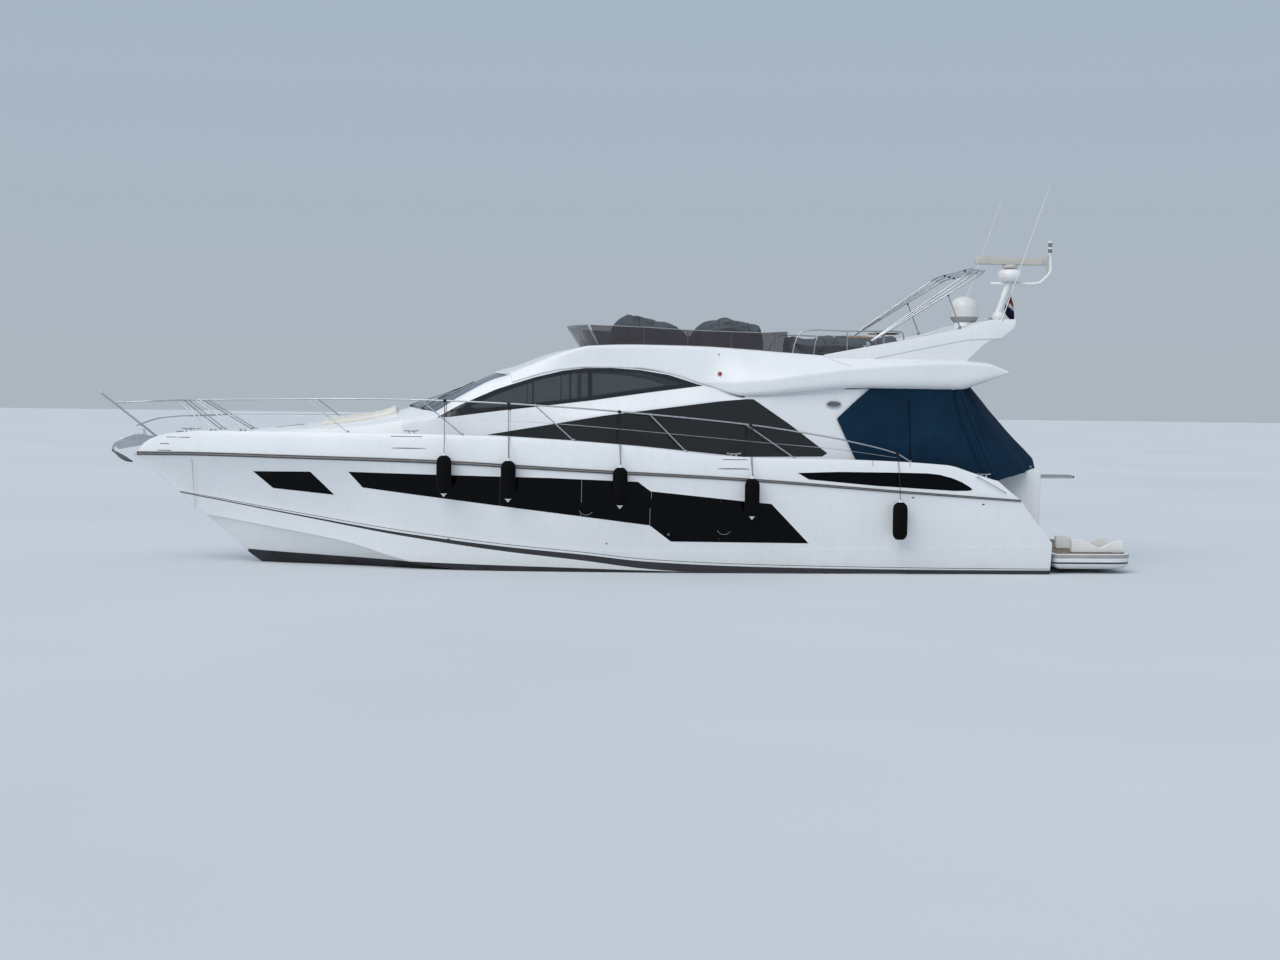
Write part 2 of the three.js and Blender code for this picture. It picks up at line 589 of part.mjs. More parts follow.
// Canvas walls that close the cockpit, from the hardtop down to the coaming. They lean in and rake
// aft, and hang steeper near the foot.
const CANVAS_LEVELS = [
  // z, corner x, corner y, aft x
  [1830, 7560, 2100, 8735], [2370, 7330, 2092, 8650], [3900, 6680, 2070, 7235],
];
function cockpitCover(neighbours) {
  const ring = ([z, corner, cornerY, aft]) => {
    const bend = corner + (aft - corner) * 0.62;
    const path = [[4560, 2130], [corner, cornerY], [bend, 1500], [aft, 700]];
    const outer = [...path, ...path.map(([x, y]) => [x, -y]).reverse()];
    const inner = outer.map(([x, y]) => [x < 4600 ? x : x - 24, y - Math.sign(y) * 24]).reverse();
    return [...outer, ...inner].map(([x, y]) => new THREE.Vector3(x, y, z));
  };
  const walls = loft(CANVAS_LEVELS.map(ring), "z");
  const p = PASSERELLE;
  const slot = box(p.x0 - 50, p.x1 + 50, p.y - 200, p.y + 200, 1500, p.z + 100);
  const block = TRANSOM_BLOCK;
  const side = block.halfY + 25;
  const overBlock = box(block.x0, block.x1 + 100, -side, side, 1500, block.top + 2 * GAP);
  return [slot, overBlock, ...neighbours].reduce((left, next) => left.subtract(next), walls);
}

function saloonBulkhead(neighbours) {
  const b = BULKHEAD;
  const low = box(b.x0, b.x1, GAP - SALOON.halfY, SALOON.halfY - GAP, SOLE_Z + GAP, 2400);
  const above = box(b.x0, b.x1, -2100, 2100, deckHeight(b.x0) + 1, 3900);
  const high = above.intersect(deckhouseLoft(WALL + GAP));
  const opening = box(b.x0 - 50, b.x1 + 50, -b.doorHalfY, b.doorHalfY, SOLE_Z, b.doorTop);
  return neighbours.reduce((left, next) => left.subtract(next), low.add(high)).subtract(opening);
}

function saloonDoor() {
  const b = BULKHEAD;
  return box(b.x1 + 6, b.x1 + 46, -b.doorHalfY - 40, b.doorHalfY + 40, SOLE_Z + GAP, b.doorTop + 30);
}

function swimPlatform() {
  const p = PLATFORM;
  const plan = [
    [p.x0, -p.halfY + 60], [p.x0 + 60, -p.halfY], [p.x1 - 420, -p.halfY], [p.x1 - 120, -p.halfY + 110],
    [p.x1, -p.halfY + 420], [p.x1 + 40, 0], [p.x1, p.halfY - 420], [p.x1 - 120, p.halfY - 110],
    [p.x1 - 420, p.halfY], [p.x0 + 60, p.halfY], [p.x0, p.halfY - 60],
  ];
  const slots = [-1, 1].map((side) => {
    const y = side * LIFT_ARM.y;
    return box(p.x0 - 50, LIFT_ARM.x1 + 90, y - 60, y + 60, p.z0 - 50, p.z0 + 175);
  });
  const made = prismXY(plan, p.z0, p.z1).subtract(slots[0]).subtract(slots[1]);
  const chocks = [-1780, -700].map((y) =>
    joined([
      box(9200, 9520, y - 110, y + 110, p.z1 - 5, 720),
      box(10020, 10340, y - 110, y + 110, p.z1 - 5, 640),
      box(9400, 10150, y - 60, y + 60, p.z1 - 5, 520),
    ]),
  );
  const lugs = [-1, 1].map((side) => {
    const y = side * LIFT_ARM.y;
    const { x1, z1 } = LIFT_ARM;
    const lug = (at) => box(x1 - 80, x1 + 80, at - 15, at + 15, z1 - 60, p.z0 + 5);
    return joined([lug(y - 75), lug(y + 75)]);
  });
  const pins = [-1, 1].map((side) => {
    const y = side * LIFT_ARM.y;
    const { x1, z1, pinRadius } = LIFT_ARM;
    return bar([x1, y - 80, z1], [x1, y + 80, z1], pinRadius, 12);
  });
  return joined([made, ...chocks, ...lugs, ...pins]);
}

// Both lift arms with the shaft that joins them
function liftArms() {
  const a = LIFT_ARM;
  const arm = (y) => {
    const beam = bar([a.x0, y, a.z0], [a.x1, y, a.z1], 42, 8);
    const eye = bar([a.x1, y - 50, a.z1], [a.x1, y + 50, a.z1], a.eyeRadius, 14);
    return beam.add(eye).subtract(pinHole(a.x1, y, a.z1, 90, a.pinRadius));
  };
  const end = a.shaftEnd - GAP;
  const shaft = bar([a.x0, -end, a.z0], [a.x0, end, a.z0], 36, 12);
  return joined([arm(-a.y), arm(a.y), shaft]);
}

// The garage door lies in a rebate of the raked transom, flush with it
function garageDoorProfile(low, high, behind, proud) {
  const face = (z) => TRANSOM_BLOCK.x1 - ((TRANSOM_BLOCK.top - 60 - z) / 1630) * 30;
  const back = DOOR_THICK + behind;
  return [
    [face(low) - back, low], [face(high) - back, high], [face(high) + proud, high],
    [face(low) + proud, low],
  ];
}

function garageDoor() {
  const clear = 8;
  const profile = garageDoorProfile(GARAGE.z0 + clear, GARAGE.z1 - clear, 0, 0);
  return prismXZ(profile, clear - GARAGE.halfY, GARAGE.halfY - clear);
}

// Fender under its line, outside the topside at x
function fender(x, top, bottom, side) {
  const outside = Math.max(sheerHalf(x), sheerHalf(x + 100)) + 45 + FENDER_RADIUS;
  const r = FENDER_RADIUS;
  const height = top - bottom;
  const profile = [
    [0, 0], [0.6 * r, 0.02 * height], [r, 0.15 * height], [r, 0.85 * height], [0.5 * r, 0.98 * height],
    [0, height],
  ];
  const points = profile.map(([u, v]) => new THREE.Vector2(u, v));
  const body = new THREE.LatheGeometry(points, 10).rotateX(Math.PI / 2);
  const placed = solid(body.translate(x, side * outside, bottom));
  const edge = [x, side * (bulwarkHalf(x) + 24), bulwarkLine(x) + 14];
  const head = railPoint(x, side);
  const past = head.map((value, i) => value + 0.05 * (value - edge[i]));
  const hanging = bar([x, side * outside, top - 20], edge, 9, 5);
  return joined([placed, hanging, bar(edge, past, 9, 5)]);
}

function railPoint(x, side) {
  const inset = x < -9000 ? 60 : 130;
  const half = Math.max(bulwarkHalf(Math.max(x, STEM_X)) - inset, 0);
  const pulpit = x < -10000 ? half * Math.max(0, (x + 10930) / 930) + 20 : half;
  return [x, side * pulpit, railLine(x)];
}

function guardRail(side, onDeck) {
  const rail = tube(RAIL_POINTS.map((x) => railPoint(x, side)), RAIL_RADIUS, 50);
  const posts = STANCHIONS.map(([foot, head]) => {
    const half = bulwarkHalf(foot) - BULWARK_THICK / 2;
    return bar([foot, side * half, bulwarkLine(foot) - 60], railPoint(head, side), 13, 6);
  });
  const end = railPoint(5560, side);
  const footY = side * (bulwarkHalf(end[0]) - BULWARK_THICK / 2);
  const foot = bar([end[0], footY, 2250], [end[0], end[1], end[2] + 5], 14, 6);
  const fenders = FENDERS.map(([x, top, bottom]) => fender(x, top, bottom, side));
  const made = joined([rail, ...posts, foot, ...fenders]).subtract(onDeck);
  const middle = RAIL_RADIUS + GAP;
  const [y0, y1] = side < 0 ? [-4000, -middle] : [middle, 4000];
  return made.intersect(box(-12000, 7000, y0, y1, 0, 5000));
}

function jackstaff(onDeck) {
  return bar([-9890, 0, 2487], [-11260, 0, 3560], JACKSTAFF_RADIUS, 12).subtract(onDeck);
}

function bowRoller(onDeck) {
  const cheek = [
    [-10150, 2640], [-10500, 2700], [-10860, 2560], [-10940, 2440], [-10860, 2360], [-10550, 2420],
    [-10150, 2500],
  ];
  const plates = [-95, 80].map((y) => prismXZ(cheek, y, y + 15));
  const sole = [
    [-10050, 2470], [-10050, 2580], [-10560, 2520], [-10860, 2400], [-10850, 2370], [-10550, 2440],
  ];
  const floor = prismXZ(sole, -90, 90);
  const wheel = bar([-10850, -90, 2455.8], [-10850, 90, 2455.8], 50, 16);
  return joined([...plates, floor, wheel]).subtract(onDeck);
}

function anchor() {
  const shank = prismXZ(ANCHOR_SHANK, -14, 14);
  const fluke = loft(ANCHOR_FLUKE.map(([x, halfY, topZ, keelX, keelZ]) => [
    new THREE.Vector3(x, -halfY, topZ), new THREE.Vector3(x, halfY, topZ), new THREE.Vector3(keelX, 0, keelZ),
  ]));
  return shank.add(fluke);
}

function windlass(onDeck) {
  const base = box(-9750, -9450, -150, 150, 2400, 2620);
  const drum = bar([-9600, -210, 2680], [-9600, 210, 2680], 80, 18);
  return joined([base, box(-9660, -9540, -60, 60, 2600, 2740), drum]).subtract(onDeck);
}

function lathed(profile, segments, x, y, z) {
  const points = profile.map(([u, v]) => new THREE.Vector2(u, v));
  return solid(new THREE.LatheGeometry(points, segments).rotateX(Math.PI / 2).translate(x, y, z));
}

function radarMast(aboveArch) {
  const footProfile = [[0, 0], [150, 0], [150, 90], [70, 230], [0, 230]];
  const foot = lathed(footProfile, 16, MAST_FOOT.x, 0, MAST_FOOT.z - 20);
  const pole = bar([8010, 0, 5500], [8270, 0, 6250], 48, 10, 42);
  const spar = bar([7860, 0, 6180], [8900, 0, 6220], 24, 8);
  const arm = tube([[8880, 0, 6220], [9090, 0, 6300], [9170, 0, 6480], [9170, 0, 6850]], 22, 8);
  const lanternProfile = [[0, 0], [62, 0], [62, 110], [40, 140], [58, 170], [58, 290], [0, 330]];
  const lantern = lathed(lanternProfile, 10, 9165, 0, 6840);
  const housingProfile = [[0, 0], [150, 0], [270, 60], [270, 200], [150, 270], [0, 270]];
  const housing = lathed(housingProfile, 16, 8270, 0, 6230);
  return joined([foot, pole, spar, arm, lantern, housing]).subtract(aboveArch);
}

function radarScanner() {
  const stub = bar([8270, 0, 6500 + GAP], [8270, 0, 6600], 55, 12);
  return stub.add(box(7490, 9050, -55, 55, 6585, 6770));
}

function radome() {
  const { radius: r, height: h } = RADOME;
  const profile = [
    [0, 0], [0.82 * r, 0], [r, 0.12 * h], [r, 0.56 * h], [0.93 * r, 0.74 * h], [0.65 * r, 0.92 * h],
    [0, h],
  ];
  return lathed(profile, 18, RADOME.x, 0, RADOME.seat + GAP);
}

// One folded bow of the bimini frame: two legs and the cross tube, leaning aft on its foot pins.
// The second bow stands inside the first and the third inside the second.
function biminiBow(order) {
  const halfY = BIMINI.legY - 55 * order;
  const length = BIMINI.length - 80 * order;
  const slope = degrees(BIMINI.slope + BIMINI.slopeStep * order);
  const at = (r, y) => [BIMINI.x + r * Math.cos(slope), y, BIMINI.z + r * Math.sin(slope)];
  const corner = 260;
  const path = [
    at(0, -halfY), at(length * 0.5, -halfY), at(length - corner, -halfY), at(length - 70, 70 - halfY),
    at(length, corner - halfY), at(length, 0), at(length, halfY - corner), at(length - 70, halfY - 70),
    at(length - corner, halfY), at(length * 0.5, halfY), at(0, halfY),
  ];
  const eye = (y) => bar([BIMINI.x, y - 12, BIMINI.z], [BIMINI.x, y + 12, BIMINI.z], 32, 12);
  const hole = pinHole(BIMINI.x, 0, BIMINI.z, 2500, BIMINI.pinRadius);
  return joined([tube(path, BIMINI.radius, 26), eye(-halfY), eye(halfY)]).subtract(hole);
}

// Foot for the bimini: a pad on the arch wing, an outer plate and the pin that the bows turn on
function biminiFoot(below) {
  const y = -BIMINI.legY - 40;
  const plate = box(BIMINI.x - 40, BIMINI.x + 40, y - 8, y + 8, 4600, BIMINI.z + 35);
  const pad = box(BIMINI.x - 100, BIMINI.x + 100, y - 8, -1806, 4600, BIMINI.z - 45);
  const pin = bar([BIMINI.x, y, BIMINI.z], [BIMINI.x, -1712, BIMINI.z], BIMINI.pinRadius, 10);
  return below.reduce((left, next) => left.subtract(next), joined([plate, pad, pin]));
}

// Strut that props the folded bows, on its pin on top of the arch wing
function biminiStrut() {
  const y = -BIMINI.legY;
  const rod = bar([STRUT.x, y, STRUT.z], [STRUT.topX, y, STRUT.topZ], STRUT.radius, 8);
  const eye = bar([STRUT.x, y - 16, STRUT.z], [STRUT.x, y + 16, STRUT.z], 24, 12);
  return rod.add(eye).subtract(pinHole(STRUT.x, y, STRUT.z, 40, STRUT.pinRadius));
}

function passerelleCase(margin) {
  const p = PASSERELLE;
  const [y0, y1] = [p.y - p.halfWidth - margin, p.y + p.halfWidth + margin];
  return box(p.x0 - margin, p.x1, y0, y1, p.z - 60 - margin, p.z + 70 + margin);
}

function passerelleOuter() {
  const p = PASSERELLE;
  const tunnel = box(p.x0 + 40, p.x1 + 10, p.y - 172, p.y + 172, p.z - 42, p.z + 52);
  const postX = p.x1 - 40;
  const posts = [-180, 180].map((dy) => {
    return bar([postX, p.y + dy, p.z + 60], [postX, p.y + dy, p.z + 400], 9, 8);
  });
  return joined([passerelleCase(0).subtract(tunnel), ...posts]);
}

function passerelleInner() {
  const p = PASSERELLE;
  const end = p.x1 + p.reach - 60;
  return box(p.x1 - 160, end, p.y - 165, p.y + 165, p.z - 42 + GAP, p.z + 36);
}

// Four-bladed propeller on its shaft, along the sloping shaft line
function propeller(side) {
  const start = new THREE.Vector3(...shaftPoint(SHAFT.x0, side)).addScaledVector(SHAFT_AXIS, GAP);
  const end = new THREE.Vector3(...shaftPoint(SHAFT.x1 + 130, side));
  const hubFrom = new THREE.Vector3(...shaftPoint(SHAFT.x1 - 110, side));
  const hubTo = new THREE.Vector3(...shaftPoint(SHAFT.x1 + 110, side));
  const shaft = bar(start.toArray(), end.toArray(), SHAFT.radius, 12);
  const hub = bar(hubFrom.toArray(), hubTo.toArray(), 72, 12, 58);
  const blade = new THREE.Shape();
  blade.moveTo(-60, 0);
  blade.quadraticCurveTo(-190, 0.6 * PROP_RADIUS, 0, PROP_RADIUS);
  blade.quadraticCurveTo(190, 0.6 * PROP_RADIUS, 60, 0);
  const pitch = degrees(side * 32);
  const tilt = new THREE.Quaternion().setFromUnitVectors(new THREE.Vector3(1, 0, 0), SHAFT_AXIS);
  const centre = shaftPoint(SHAFT.x1, side);
  const blades = [0, 90, 180, 270].map((turn) => {
    const geometry = new THREE.ExtrudeGeometry(blade, { depth: 16, bevelEnabled: false, curveSegments: 4 });
    geometry.translate(0, 0, -8);
    geometry.rotateY(Math.PI / 2 - pitch).rotateX(degrees(turn));
    return solid(geometry.applyQuaternion(tilt).translate(...centre));
  });
  return joined([shaft, hub, ...blades]);
}

function shaftBracket(side, underHull) {
  const from = shaftPoint(6960, side);
  const to = shaftPoint(7140, side);
  const ring = bar(from, to, 72, 18);
  const bore = bar(shaftPoint(6800, side), shaftPoint(7300, side), SHAFT.radius + 1.3, 18);
  const middle = shaftPoint(7050, side);
  const strut = box(6985, 7115, middle[1] - 14, middle[1] + 14, middle[2], -300);
  return strut.add(ring).subtract(bore).subtract(underHull);
}

function rudder(side) {
  const r = RUDDER;
  const y = side * r.y;
  const top = r.top - 70;
  const plan = (chord, thick) => [
    [-0.34 * chord, 0], [-0.2 * chord, 0.5 * thick], [0.1 * chord, 0.45 * thick],
    [0.66 * chord, 0.08 * thick], [0.66 * chord, -0.08 * thick], [0.1 * chord, -0.45 * thick],
    [-0.2 * chord, -0.5 * thick],
  ];
  const ring = (chord, thick, z) => plan(chord, thick).map(([u, v]) => new THREE.Vector3(r.x + u, y + v, z));
  const blade = loft([ring(r.chord, 80, top), ring(r.chord * 0.8, 56, r.bottom)], "z");
  return blade.add(bar([r.x, y, top - 30], [r.x, y, r.top - GAP], 38, 18));
}

function trimTab(side) {
  const t = TAB;
  const z = (y) => keelLine(8400) + ((chineHeight(8400) - keelLine(8400)) * y) / chineHalf(8400);
  const corners = [[t.y0, 20], [t.y1, 20], [t.y1, 20 + t.thick], [t.y0, 20 + t.thick]];
  const ring = (x) => corners.map(([y, above]) => new THREE.Vector3(x, side * y, z(y) + above));
  const plate = loft([ring(t.x0), ring(t.x1)]);
  const at = (y) => [t.x0 + t.knuckle / 2, side * y, z(y) + 20 + t.thick / 2];
  return plate.add(bar(at(t.y0), at(t.y1), t.knuckle, 12));
}

function sunpad(coachroofSolid) {
  const plan = [
    [-6620, -560], [-6540, -640], [-5100, -760], [-5000, -660], [-5000, 660], [-5100, 760],
    [-6540, 640], [-6620, 560],
  ];
  const pad = prismXY(plan, 2900, 3400);
  const skin = coachroofSolid.translate([0, 0, 85]).subtract(coachroofSolid.translate([0, 0, GAP]));
  return pad.intersect(skin);
}

const yacht = new THREE.Group();
function add(name, made, colour) {
  const [red, green, blue, roughness, metalness] = colours[colour];
  const material = new THREE.MeshStandardMaterial({ roughness, metalness });
  material.color.setRGB(red, green, blue);
  const mesh = new THREE.Mesh(geometryOf(made), material);
  mesh.name = name;
  yacht.add(mesh);
}

const hullSolid = hull();
const onDeck = hullSolid.translate([0, 0, GAP]);
const underHull = hullSolid.translate([0, 0, -GAP]);
const deckhouseSolid = deckhouse(onDeck);
const roofClear = deckhouseLoft(-GAP);
const flybridgeSolid = flybridge(roofClear);
const aboveFlybridge = flybridgeSolid.translate([0, 0, GAP]);
const underFlybridge = flybridgeSolid.translate([0, 0, -GAP]);
const coachroofSolid = coachroof(onDeck);
const archSolid = radarArch(aboveFlybridge);
const aboveArch = archSolid.translate([0, 0, GAP]);

add("hull", hullSolid, "gelcoat");
add("hull_window_port", hullWindow(), "black");
add("hull_window_starboard", mirrored(hullWindow()), "black");
add("foredeck_coachroof", coachroofSolid, "gelcoat");
add("foredeck_hatch", hatchBlock(8, GAP, 0), "smoke");
add("foredeck_sunpad", sunpad(coachroofSolid), "cushion");
add("deckhouse", deckhouseSolid, "gelcoat");
add("windscreen", windscreen(), "smoke");
add("upper_side_glass_port", sideGlass(UPPER_WINDOW), "smoke");
add("upper_side_glass_starboard", mirrored(sideGlass(UPPER_WINDOW)), "smoke");
add("lower_side_glass_port", sideGlass(LOWER_WINDOW), "smoke");
add("lower_side_glass_starboard", mirrored(sideGlass(LOWER_WINDOW)), "smoke");
add("flybridge", flybridgeSolid, "gelcoat");
add("radar_arch", archSolid, "gelcoat");
add("wind_deflector", windDeflector().subtract(aboveFlybridge), "smoke");
add("helm_console_cover", softCover(CONSOLE_COVER, 1350), "grey");
add("helm_seat_cover", softCover(SEAT_COVER, 1300), "grey");
add("sofa_cover", softCover(SOFA_COVER, 900), "grey");
add("flybridge_rail_port", flybridgeRail(aboveFlybridge), "steel");
add("flybridge_rail_starboard", mirrored(flybridgeRail(aboveFlybridge)), "steel");
add("cockpit_cover", cockpitCover([onDeck, underFlybridge]), "navy");
add("saloon_bulkhead", saloonBulkhead([onDeck, underFlybridge]), "gelcoat");
add("saloon_door", saloonDoor(), "smoke");
add("swim_platform", swimPlatform(), "gelcoat");
add("platform_lift_arms", liftArms(), "steel");
add("garage_door", garageDoor(), "gelcoat");
add("guard_rail_port", guardRail(-1, onDeck), "steel");
add("guard_rail_starboard", guardRail(1, onDeck), "steel");
add("jackstaff", jackstaff(onDeck), "steel");
add("bow_roller", bowRoller(onDeck), "steel");
add("anchor", anchor(), "steel");
add("windlass", windlass(onDeck), "steel");
add("radar_mast", radarMast(aboveArch), "white");
add("radar_scanner", radarScanner(), "white");
add("radome", radome(), "white");
add("bimini_foot_port", biminiFoot([aboveFlybridge, aboveArch]), "steel");
add("bimini_foot_starboard", mirrored(biminiFoot([aboveFlybridge, aboveArch])), "steel");
add("bimini_bow_outer", biminiBow(0), "steel");
add("bimini_bow_middle", biminiBow(1), "steel");
add("bimini_bow_inner", biminiBow(2), "steel");
add("bimini_strut_port", biminiStrut(), "steel");
add("bimini_strut_starboard", mirrored(biminiStrut()), "steel");
add("passerelle_case", passerelleOuter(), "steel");
add("passerelle", passerelleInner(), "teak");
for (const [name, side] of [["port", -1], ["starboard", 1]]) {
  add("propeller_" + name, propeller(side), "bronze");
  add("shaft_bracket_" + name, shaftBracket(side, underHull), "bronze");
  add("rudder_" + name, rudder(side), "bronze");
  add("trim_tab_" + name, trimTab(side), "steel");
}

export default yacht;
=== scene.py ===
import math

import bmesh
import bpy
from mathutils import Matrix, Vector
from mathutils import noise as field
from mathutils.bvhtree import BVHTree


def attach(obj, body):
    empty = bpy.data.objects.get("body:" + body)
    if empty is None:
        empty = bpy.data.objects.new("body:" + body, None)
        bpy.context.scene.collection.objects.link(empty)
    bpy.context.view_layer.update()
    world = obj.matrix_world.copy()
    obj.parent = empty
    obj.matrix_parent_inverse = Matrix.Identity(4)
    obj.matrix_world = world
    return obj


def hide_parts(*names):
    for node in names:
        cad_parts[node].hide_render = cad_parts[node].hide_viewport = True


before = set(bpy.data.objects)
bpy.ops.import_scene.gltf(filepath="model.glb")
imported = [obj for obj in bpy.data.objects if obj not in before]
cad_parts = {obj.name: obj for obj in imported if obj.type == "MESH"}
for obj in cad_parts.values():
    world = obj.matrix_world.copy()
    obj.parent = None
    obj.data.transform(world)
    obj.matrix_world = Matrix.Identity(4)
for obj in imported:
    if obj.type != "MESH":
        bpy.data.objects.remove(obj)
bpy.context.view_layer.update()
ROOT = "yacht"
MM = 0.001
SIDES = ((-1, "port"), (1, "starboard"))
AFT, UP, ACROSS = (1, 0, 0), (0, 0, 1), (0, 1, 0)


# Lines of the boat
def through(rows):
    """A smooth function through rows of (x, value) that never overshoots them."""
    slope = [(b[1] - a[1]) / (b[0] - a[0]) for a, b in zip(rows, rows[1:])]
    tangent = []
    for i in range(len(rows)):
        if i == 0 or i == len(rows) - 1:
            tangent.append(slope[0] if i == 0 else slope[-1])
            continue
        p, q = slope[i - 1], slope[i]
        tangent.append(0 if p * q <= 0 else 2 * p * q / (p + q))

    def value(x):
        if x <= rows[0][0]:
            return rows[0][1]
        if x >= rows[-1][0]:
            return rows[-1][1]
        i = 0
        while x > rows[i + 1][0]:
            i += 1
        span = rows[i + 1][0] - rows[i][0]
        t = (x - rows[i][0]) / span
        start = rows[i][1] + t * t * (3 - 2 * t) * (rows[i + 1][1] - rows[i][1])
        return start + t * (1 - t) ** 2 * span * tangent[i] + t * t * (t - 1) * span * tangent[i + 1]

    return value


def straight(rows):
    """A broken line through rows of (x, value)."""

    def value(x):
        if x <= rows[0][0]:
            return rows[0][1]
        for a, b in zip(rows, rows[1:]):
            if x <= b[0]:
                return a[1] + (b[1] - a[1]) * (x - a[0]) / (b[0] - a[0])
        return rows[-1][1]

    return value


STEM_X, TRANSOM_X, HALF_BEAM = -10560, 8600, 2630
keel_line = through([
    (-10560, 2215), (-9900, 1720), (-9650, 1480), (-9050, 1000), (-8070, 140), (-7500, -230),
    (-7000, -450), (-6000, -720), (-4000, -920), (0, -980), (4000, -900), (8600, -720)])
chine_half = through([
    (-10560, 8), (-9900, 45), (-9040, 140), (-7790, 640), (-6050, 1260), (-4540, 1720), (-2000, 2120),
    (1500, 2290), (8600, 2250)])
chine_height = through([
    (-9040, 1010), (-7790, 820), (-6050, 530), (-4540, 130), (-3000, -30), (0, -80), (8600, -60)])
sheer_line = through([
    (-10560, 2280), (-9070, 2300), (-6950, 2280), (-4500, 2240), (-1190, 2090), (2090, 1940),
    (5280, 1720), (8600, 1500)])
bulwark_line = through([
    (-10560, 2300), (-10410, 2432), (-10250, 2560), (-10090, 2632), (-9850, 2700), (-9450, 2752),
    (-9080, 2785), (-5960, 2800), (-4500, 2790), (-3230, 2770), (-1410, 2690), (-60, 2590), (2050, 2400),
    (4370, 2365), (6340, 2270), (6860, 2120), (7390, 1960), (8600, 1750)])
deck_drop = through([(-10560, 30), (-9900, 160), (-9000, 250), (6000, 250), (8600, 60)])
flare = through([(-10560, 0.42), (-7000, 0.36), (-3000, 0.55), (0, 0.64), (8600, 0.66)])
antifoul_line = through([(-8400, 290), (-7870, 260), (-4890, 160), (-1980, 100), (1650, 20), (8600, 0)])
stripe_line = through([
    (-9640, 1500), (-6880, 1090), (-4900, 810), (-2820, 570), (-1160, 420), (90, 290), (1640, 215),
    (2890, 180), (5430, 140), (6760, 128), (8600, 120)])
stripe_gap = through([(-9640, 4), (-7500, 25), (-5000, 42), (1600, 42), (5430, 34), (8600, 22)])
stripe_depth = through([
    (-9640, 18), (-7000, 32), (-5000, 60), (-3000, 95), (-1000, 130), (1200, 165), (3000, 120), (5430, 85),
    (6500, 140), (8600, 160)])
knuckle_line = straight([(-10560, 450), (600, 450), (8600, 600)])
rail_line = through([
    (-10930, 3345), (-9270, 3420), (-7800, 3450), (-5320, 3490), (-4010, 3470), (-2710, 3430),
    (-870, 3320), (2190, 3060), (3360, 2900), (4290, 2740), (5270, 2500), (5580, 2330)])
HULL_WINDOW = [
    (-5970, 2000), (-1890, 1940), (-90, 1880), (170, 1690), (2100, 1500), (2660, 1450), (3470, 630),
    (610, 650), (170, 980), (-1300, 1160), (-2910, 1350), (-5670, 1670)]
BOW_WINDOW = [(-7970, 1965), (-6750, 1985), (-6250, 1500), (-7550, 1610)]
QUARTER_VENT = [
    (3170, 2090), (4070, 2120), (5330, 2114), (5900, 2104), (6163, 2078), (6436, 2008), (6633, 1926),
    (6790, 1835), (6868, 1770), (6773, 1742), (6481, 1738), (4830, 1830), (3420, 1950)]
QUARTER_CUT = [
    (7390, 1975), (7580, 1800), (7890, 1550), (8150, 1200), (8580, 690), (8800, 480), (8800, 3000),
    (7300, 3000)]
DECKHOUSE = [
    # x, base y, belt y, belt z, sill y, sill z, head y, head z, edge y, edge z, crown z
    (-4900, 1500, 1490, 2650, 1470, 2960, 1450, 3000, 1380, 3060, 3280),
    (-4230, 1840, 1830, 2700, 1790, 3095, 1765, 3135, 1710, 3200, 3520),
    (-3750, 1910, 1895, 2760, 1850, 3150, 1800, 3380, 1715, 3510, 3725),
    (-2950, 1990, 1975, 2840, 1905, 3265, 1835, 3730, 1720, 3930, 4075),
    (-2200, 2045, 2030, 2955, 1930, 3360, 1835, 3990, 1720, 4110, 4200),
    (-1600, 2080, 2065, 3070, 1935, 3435, 1830, 4140, 1720, 4190, 4230),
    (-600, 2110, 2095, 3255, 1930, 3570, 1825, 4205, 1720, 4230, 4250),
    (600, 2120, 2100, 3415, 1925, 3740, 1860, 4080, 1760, 4120, 4150),
    (1350, 2120, 2100, 3525, 1940, 3835, 1925, 3855, 1860, 3872, 3880),
    (2200, 2120, 2100, 3600, 2000, 3618, 1980, 3625, 1900, 3630, 3635),
    (3200, 2110, 2090, 3690, 2000, 3708, 1980, 3715, 1900, 3720, 3725),
    (4400, 2100, 2080, 3780, 2000, 3798, 1980, 3805, 1900, 3810, 3815)]
UPPER_WINDOW = [
    (-4180, 3120), (-3740, 3370), (-2960, 3720), (-2180, 3975), (-1590, 4120), (-1120, 4180),
    (-600, 4190), (-10, 4155), (590, 4060), (1290, 3845), (200, 3695), (-990, 3515), (-2170, 3365),
    (-2950, 3270), (-3930, 3135)]
LOWER_WINDOW = [
    (-3150, 2785), (-760, 3205), (-20, 3305), (1630, 3530), (2210, 3585), (2330, 3580), (3080, 3080),
    (3890, 2480), (3780, 2410), (2120, 2390), (950, 2500), (-10, 2590), (-1380, 2690)]
COACHROOF = [
    # x, base y, shoulder y, shoulder z, crown z
    (-8550, 230, 180, 2680, 2735), (-7700, 660, 560, 2770, 2865), (-6700, 1010, 880, 2850, 2980),
    (-5700, 1290, 1150, 2920, 3110), (-4900.3, 1500, 1380, 3060, 3280)]
